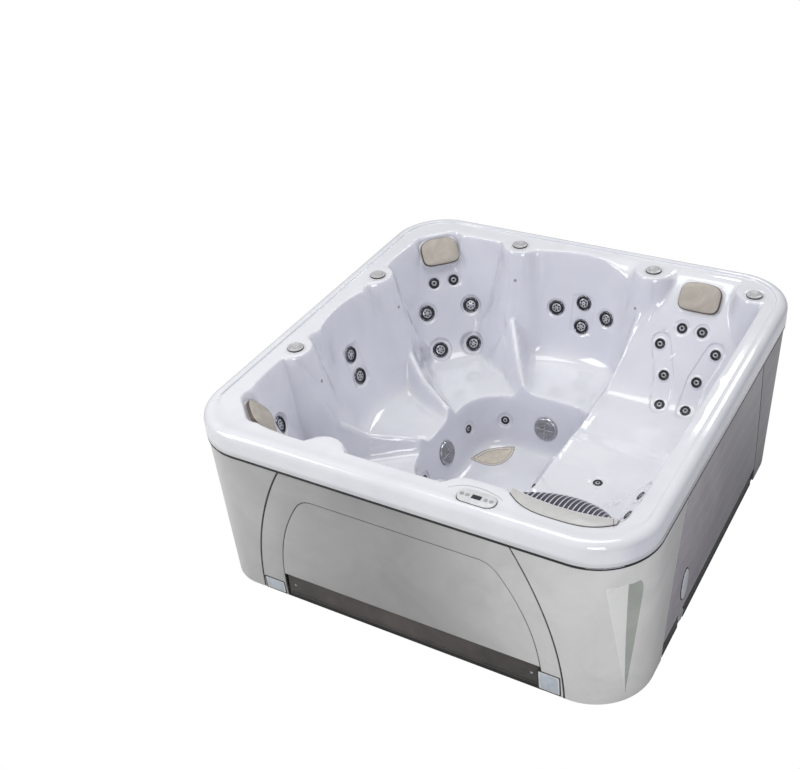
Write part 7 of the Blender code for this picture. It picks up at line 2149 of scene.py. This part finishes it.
INLAYS = (("floor_inlay_back", FOOT_LEAF, FOOT_TIPS),
          ("floor_inlay_front", [(x, -y) for x, y in FOOT_LEAF], FOOT_TIPS),
          ("step_inlay_lower", STEP_INLAY, (0, 2)), ("step_inlay_upper", UPPER_LEAF, (0, 4)))


def smooth_outline(points, tips):
    """Closed outline through points, curved between them but sharp at its tips."""
    count = len(points)
    result = []
    for i in range(count):
        a, b, c, d = (Vector(points[(i + k) % count]) for k in (-1, 0, 1, 2))
        a = b if i in tips else a
        d = c if (i + 1) % count in tips else d
        for step in range(INLAY_SMOOTH):
            t = step / INLAY_SMOOTH
            result.append(0.5 * (2 * b + (c - a) * t + (2 * a - 5 * b + 4 * c - d) * t ** 2
                                 + (3 * b - a - 3 * c + d) * t ** 3))
    return result


def inset_outline(outline, distance):
    """Outline moved in by a distance, with mitred tips."""
    area = sum(a.x * b.y - b.x * a.y for a, b in zip(outline, outline[1:] + outline[:1]))
    side = math.copysign(distance, area)
    result = []
    for before, point, after in zip(outline[-1:] + outline, outline, outline[1:] + outline[:1]):
        first, second = (point - before).normalized(), (after - point).normalized()
        turn = max(1 + first.dot(second), MITRE_LIMIT)
        result.append(point + Vector((-first.y - second.y, first.x + second.x)) * side / turn)
    return result


def on_shell(points, lift):
    """Plan points set on the pressed shell and lifted off it along its normals."""
    flat = np.array([(p[0], p[1], 0.0) for p in points])
    flat[:, 2] = shell_height(flat[:, 0], flat[:, 1])
    normals = sheet_normals(flat)
    return pressed(flat, normals) + normals * lift


def inlay_piece(name, points, tips):
    """Thin textured inlay with a double border line."""
    outline = smooth_outline(points, tips)
    middle = sum(outline, Vector((0, 0))) / len(outline)
    rings = [(inset_outline(outline, inset), material) for inset, material in INLAY_RINGS]
    fill = rings[-1][0]
    rings += [([middle + (p - middle) * share for p in fill], 0) for share in INLAY_INNER_SHARES]
    rings.append(([middle], 0))
    built = bmesh.new()
    add_rings(built, [on_shell(ring, INLAY_LIFT) for ring, _ in rings], [material for _, material in rings])
    bmesh.ops.recalc_face_normals(built, faces=built.faces)
    if sum(face.normal.z * face.calc_area() for face in built.faces) < 0:
        bmesh.ops.reverse_faces(built, faces=built.faces)
    hand_over(name, built, (INLAY_FILL, INLAY_LINE, INLAY_BAND), TUB, "warm_grey_plastic",
              modifiers=[("SOLIDIFY", {"thickness": INLAY_GAUGE, "offset": -1})])


PINS = ((-0.350, 0.828), (-0.804, 0.3705), (-0.803, -0.368), (0.320, 0.831))
PIN_PROFILE = ((0, 0.0026), (0.0035, 0.0024), (0.0065, 0.0017), (0.0085, 0.0004), (0.0085, -0.003),
               (0, -0.003))
PIN_SIDES = 28
RETURN_PLACE = (0.165, -0.345)
RETURN_PROFILE = ((0, 0.0022), (0.011, 0.0022), (0.0145, 0.0018), (0.017, 0.0003), (0.017, -0.004),
                  (0, -0.004))
RETURN_SIDES = 36
RETURN_HOLE = (0.0042, 0.0010, 0.0025, 0.0003, 18)
RETURN_HOLE_X = 0.0062
ARC_LINE = ((0.232, -0.994), (0.256, -0.974), (0.286, -0.957), (0.320, -0.950), (0.356, -0.948),
            (0.390, -0.951), (0.420, -0.958), (0.446, -0.966), (0.466, -0.980))
ARC_HALF = 0.0013
ARC_END_SHARE = 0.35
ARC_FOOT = (0, 0, -0.001)
ARC_TOP = (0, 0, 0.0006)


def shell_frame(x, y):
    """Matrix on the pressed shell over a point of the plan, Z along its normal."""
    point = on_shell([(x, y)], 0)[0]
    flat = np.array([[x, y, shell_height(np.array([x]), np.array([y]))[0]]])
    normal = Vector(sheet_normals(flat)[0])
    return Matrix.Translation(Vector(point)) @ normal.to_track_quat("Z", "Y").to_matrix().to_4x4()


def pins_piece():
    """Four small round pins on the upper walls."""
    built = bmesh.new()
    for x, y in PINS:
        add_turned(built, PIN_PROFILE, PIN_SIDES, shell_frame(x, y))
    hand_over("wall_pins", built, (PIN_GREY_AND_LINE_SHADE,), TUB, "acrylic", smooth_angle=40.0)


def return_fitting():
    """Small round fitting with two holes, drawn as dark discs of painted shade, low on the footwell's front
    wall.
    """
    built = bmesh.new()
    matrix = shell_frame(*RETURN_PLACE)
    add_turned(built, RETURN_PROFILE, RETURN_SIDES, matrix)
    for x in (-RETURN_HOLE_X, RETURN_HOLE_X):
        add_disc(built, *RETURN_HOLE, matrix @ at(x, 0, 0), 1)
    hand_over("return_fitting", built, (PIN_GREY_AND_LINE_SHADE, JET_DARK_AND_SHADE), TUB, "warm_grey_plastic", smooth_angle=35.0)


def arc_line():
    """Fine moulded line on the deck behind the control panel, darker than the deck as painted shade."""
    built = bmesh.new()
    fine = smooth_outline(ARC_LINE, (0, len(ARC_LINE) - 1))[:(len(ARC_LINE) - 1) * INLAY_SMOOTH + 1]
    rows = []
    for i, p in enumerate(fine):
        step = (fine[min(i + 1, len(fine) - 1)] - fine[max(i - 1, 0)]).normalized()
        taper = math.sin(math.pi * (i + 0.5) / (len(fine) + 1))
        side = Vector((-step.y, step.x)) * ARC_HALF * (ARC_END_SHARE + (1 - ARC_END_SHARE) * taper)
        left, right = on_shell([p - side, p + side], 0)
        rows.append([built.verts.new(corner) for corner in (left + ARC_FOOT, left + ARC_TOP, right + ARC_TOP,
                                                            right + ARC_FOOT)])
    for start, end in zip(rows, rows[1:]):
        for k in range(4):
            built.faces.new((start[k], start[(k + 1) % 4], end[(k + 1) % 4], end[k]))
    built.faces.new(rows[0][::-1])
    built.faces.new(rows[-1])
    bmesh.ops.recalc_face_normals(built, faces=built.faces)
    hand_over("deck_line", built, (PIN_GREY_AND_LINE_SHADE,), TUB, "acrylic", smooth_angle=35.0)


for inlay in INLAYS:
    inlay_piece(*inlay)
pins_piece()
return_fitting()
arc_line()


# Parts behind the cabinet that keep their CAD form

CAD_LOOKS = (
    (PAN_BLACK, ("base_pan",)), (BOX_CHARCOAL, ("control_box",)), (HEATER_STEEL, ("heater",)),
    (FRAME_STEEL, ("frame_front", "frame_back", "frame_left", "frame_right")),
    (MOTOR_BLUE, ("pump_motor_1", "pump_motor_2")), (WET_BLACK, ("pump_wet_end_1", "pump_wet_end_2")),
    (PIPE_WHITE, ("ozone_generator", "valve_1", "valve_2", "valve_3", "valve_4", "valve_5")),
)
CAD_BEVEL = 0.0015
CAD_BEVEL_ANGLE = 40.0


def dress_cad_node(node, material):
    """Better material and rounded edges on a node that stays."""
    for slot_item in node.material_slots:
        slot_item.material = material
    bevel = node.modifiers.new("soft_edges", "BEVEL")
    bevel.width = CAD_BEVEL
    bevel.segments = 2
    bevel.limit_method = "ANGLE"
    bevel.angle_limit = math.radians(CAD_BEVEL_ANGLE)
    bevel.use_clamp_overlap = True


for cad_material, cad_names in CAD_LOOKS:
    for cad_name in cad_names:
        dress_cad_node(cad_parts[cad_name], cad_material)


# Camera, lights and floor

CAMERA_PLACE = (2.09369, -4.10334, 3.92514)
CAMERA_ANGLES_DEG = (55.56037, 4.52263, 30.18381)
CAMERA_LENS_MM = 53.0948
SENSOR_MM = 36.0
LIGHTS = (
    ("softbox_left", (-3.2, -2.6, 3.6), (1.6, 2.4), 70.0, (1.0, 0.99, 0.98)),
    ("softbox_front", (2.2, -4.0, 3.0), (1.6, 1.6), 52.0, (0.98, 0.98, 1.0)),
    ("softbox_back", (0.6, 3.4, 3.4), (1.6, 0.7), 22.0, (0.97, 0.97, 1.0)),
    ("softbox_top", (-0.1, 0.1, 4.3), (2.2, 2.2), 50.0, (0.98, 0.985, 1.0)),
)
LIGHT_TARGET = (0.0, 0.0, 0.5)
WORLD_LIGHT = 0.40
WORLD_COLOUR = (0.96, 0.965, 1.0)
FLOOR_SIZE = 40.0
FLOOR_GREY = 0.90
WHITE = (1, 1, 1, 1)


def add_camera():
    """Camera at the photograph's viewing angle."""
    data = bpy.data.cameras.new("camera")
    data.lens = CAMERA_LENS_MM
    data.sensor_width = SENSOR_MM
    data.sensor_fit = "HORIZONTAL"
    camera = new_piece("camera", data)
    camera.location = CAMERA_PLACE
    camera.rotation_euler = [math.radians(angle) for angle in CAMERA_ANGLES_DEG]
    bpy.context.scene.camera = camera


def add_light(name, place, size, energy, colour):
    """Soft box that faces the tub."""
    data = bpy.data.lights.new(name, "AREA")
    data.shape = "RECTANGLE"
    data.size, data.size_y = size
    data.energy = energy
    data.color = colour
    lamp = new_piece(name, data)
    lamp.location = place
    lamp.rotation_euler = (Vector(LIGHT_TARGET) - Vector(place)).to_track_quat("-Z", "Y").to_euler()


def unlike_for_camera(tree, lit, seen, end):
    """Shows one shader to the camera and lights the tub with another."""
    mix = add_node(tree, "MixShader")
    link(tree, (add_node(tree, "LightPath"), "Is Camera Ray", mix, 0), (lit, 0, mix, 1), (seen, 0, mix, 2),
         (mix, 0, end, "Surface"))


def add_world():
    """Even light all round, and plain white behind the tub."""
    world = bpy.data.worlds.new("studio")
    world.use_nodes = True
    tree = world.node_tree
    tree.nodes.clear()
    lit = add_node(tree, "Background", {"Color": (*WORLD_COLOUR, 1), "Strength": WORLD_LIGHT})
    unlike_for_camera(tree, lit, add_node(tree, "Background", {"Color": WHITE}),
                      add_node(tree, "OutputWorld"))
    bpy.context.scene.world = world


def add_floor():
    """Plain pale floor."""
    deselect_all()
    bpy.ops.mesh.primitive_plane_add(size=FLOOR_SIZE, location=(0, 0, 0))
    floor = bpy.context.object
    floor.name = "floor"
    material = bpy.data.materials.new("pale_floor")
    material.use_nodes = True
    tree = material.node_tree
    shader = tree.nodes["Principled BSDF"]
    for socket, value in (("Base Color", (FLOOR_GREY, FLOOR_GREY, FLOOR_GREY, 1)), ("Roughness", 0.9),
                          ("Specular IOR Level", 0.1)):
        shader.inputs[socket].default_value = value
    seen = add_node(tree, "Emission", {"Color": WHITE, "Strength": 1})
    unlike_for_camera(tree, shader, seen, tree.nodes["Material Output"])
    floor.data.materials.append(material)


add_camera()
for light in LIGHTS:
    add_light(*light)
add_world()
add_floor()
bpy.context.scene.view_settings.view_transform = "Standard"
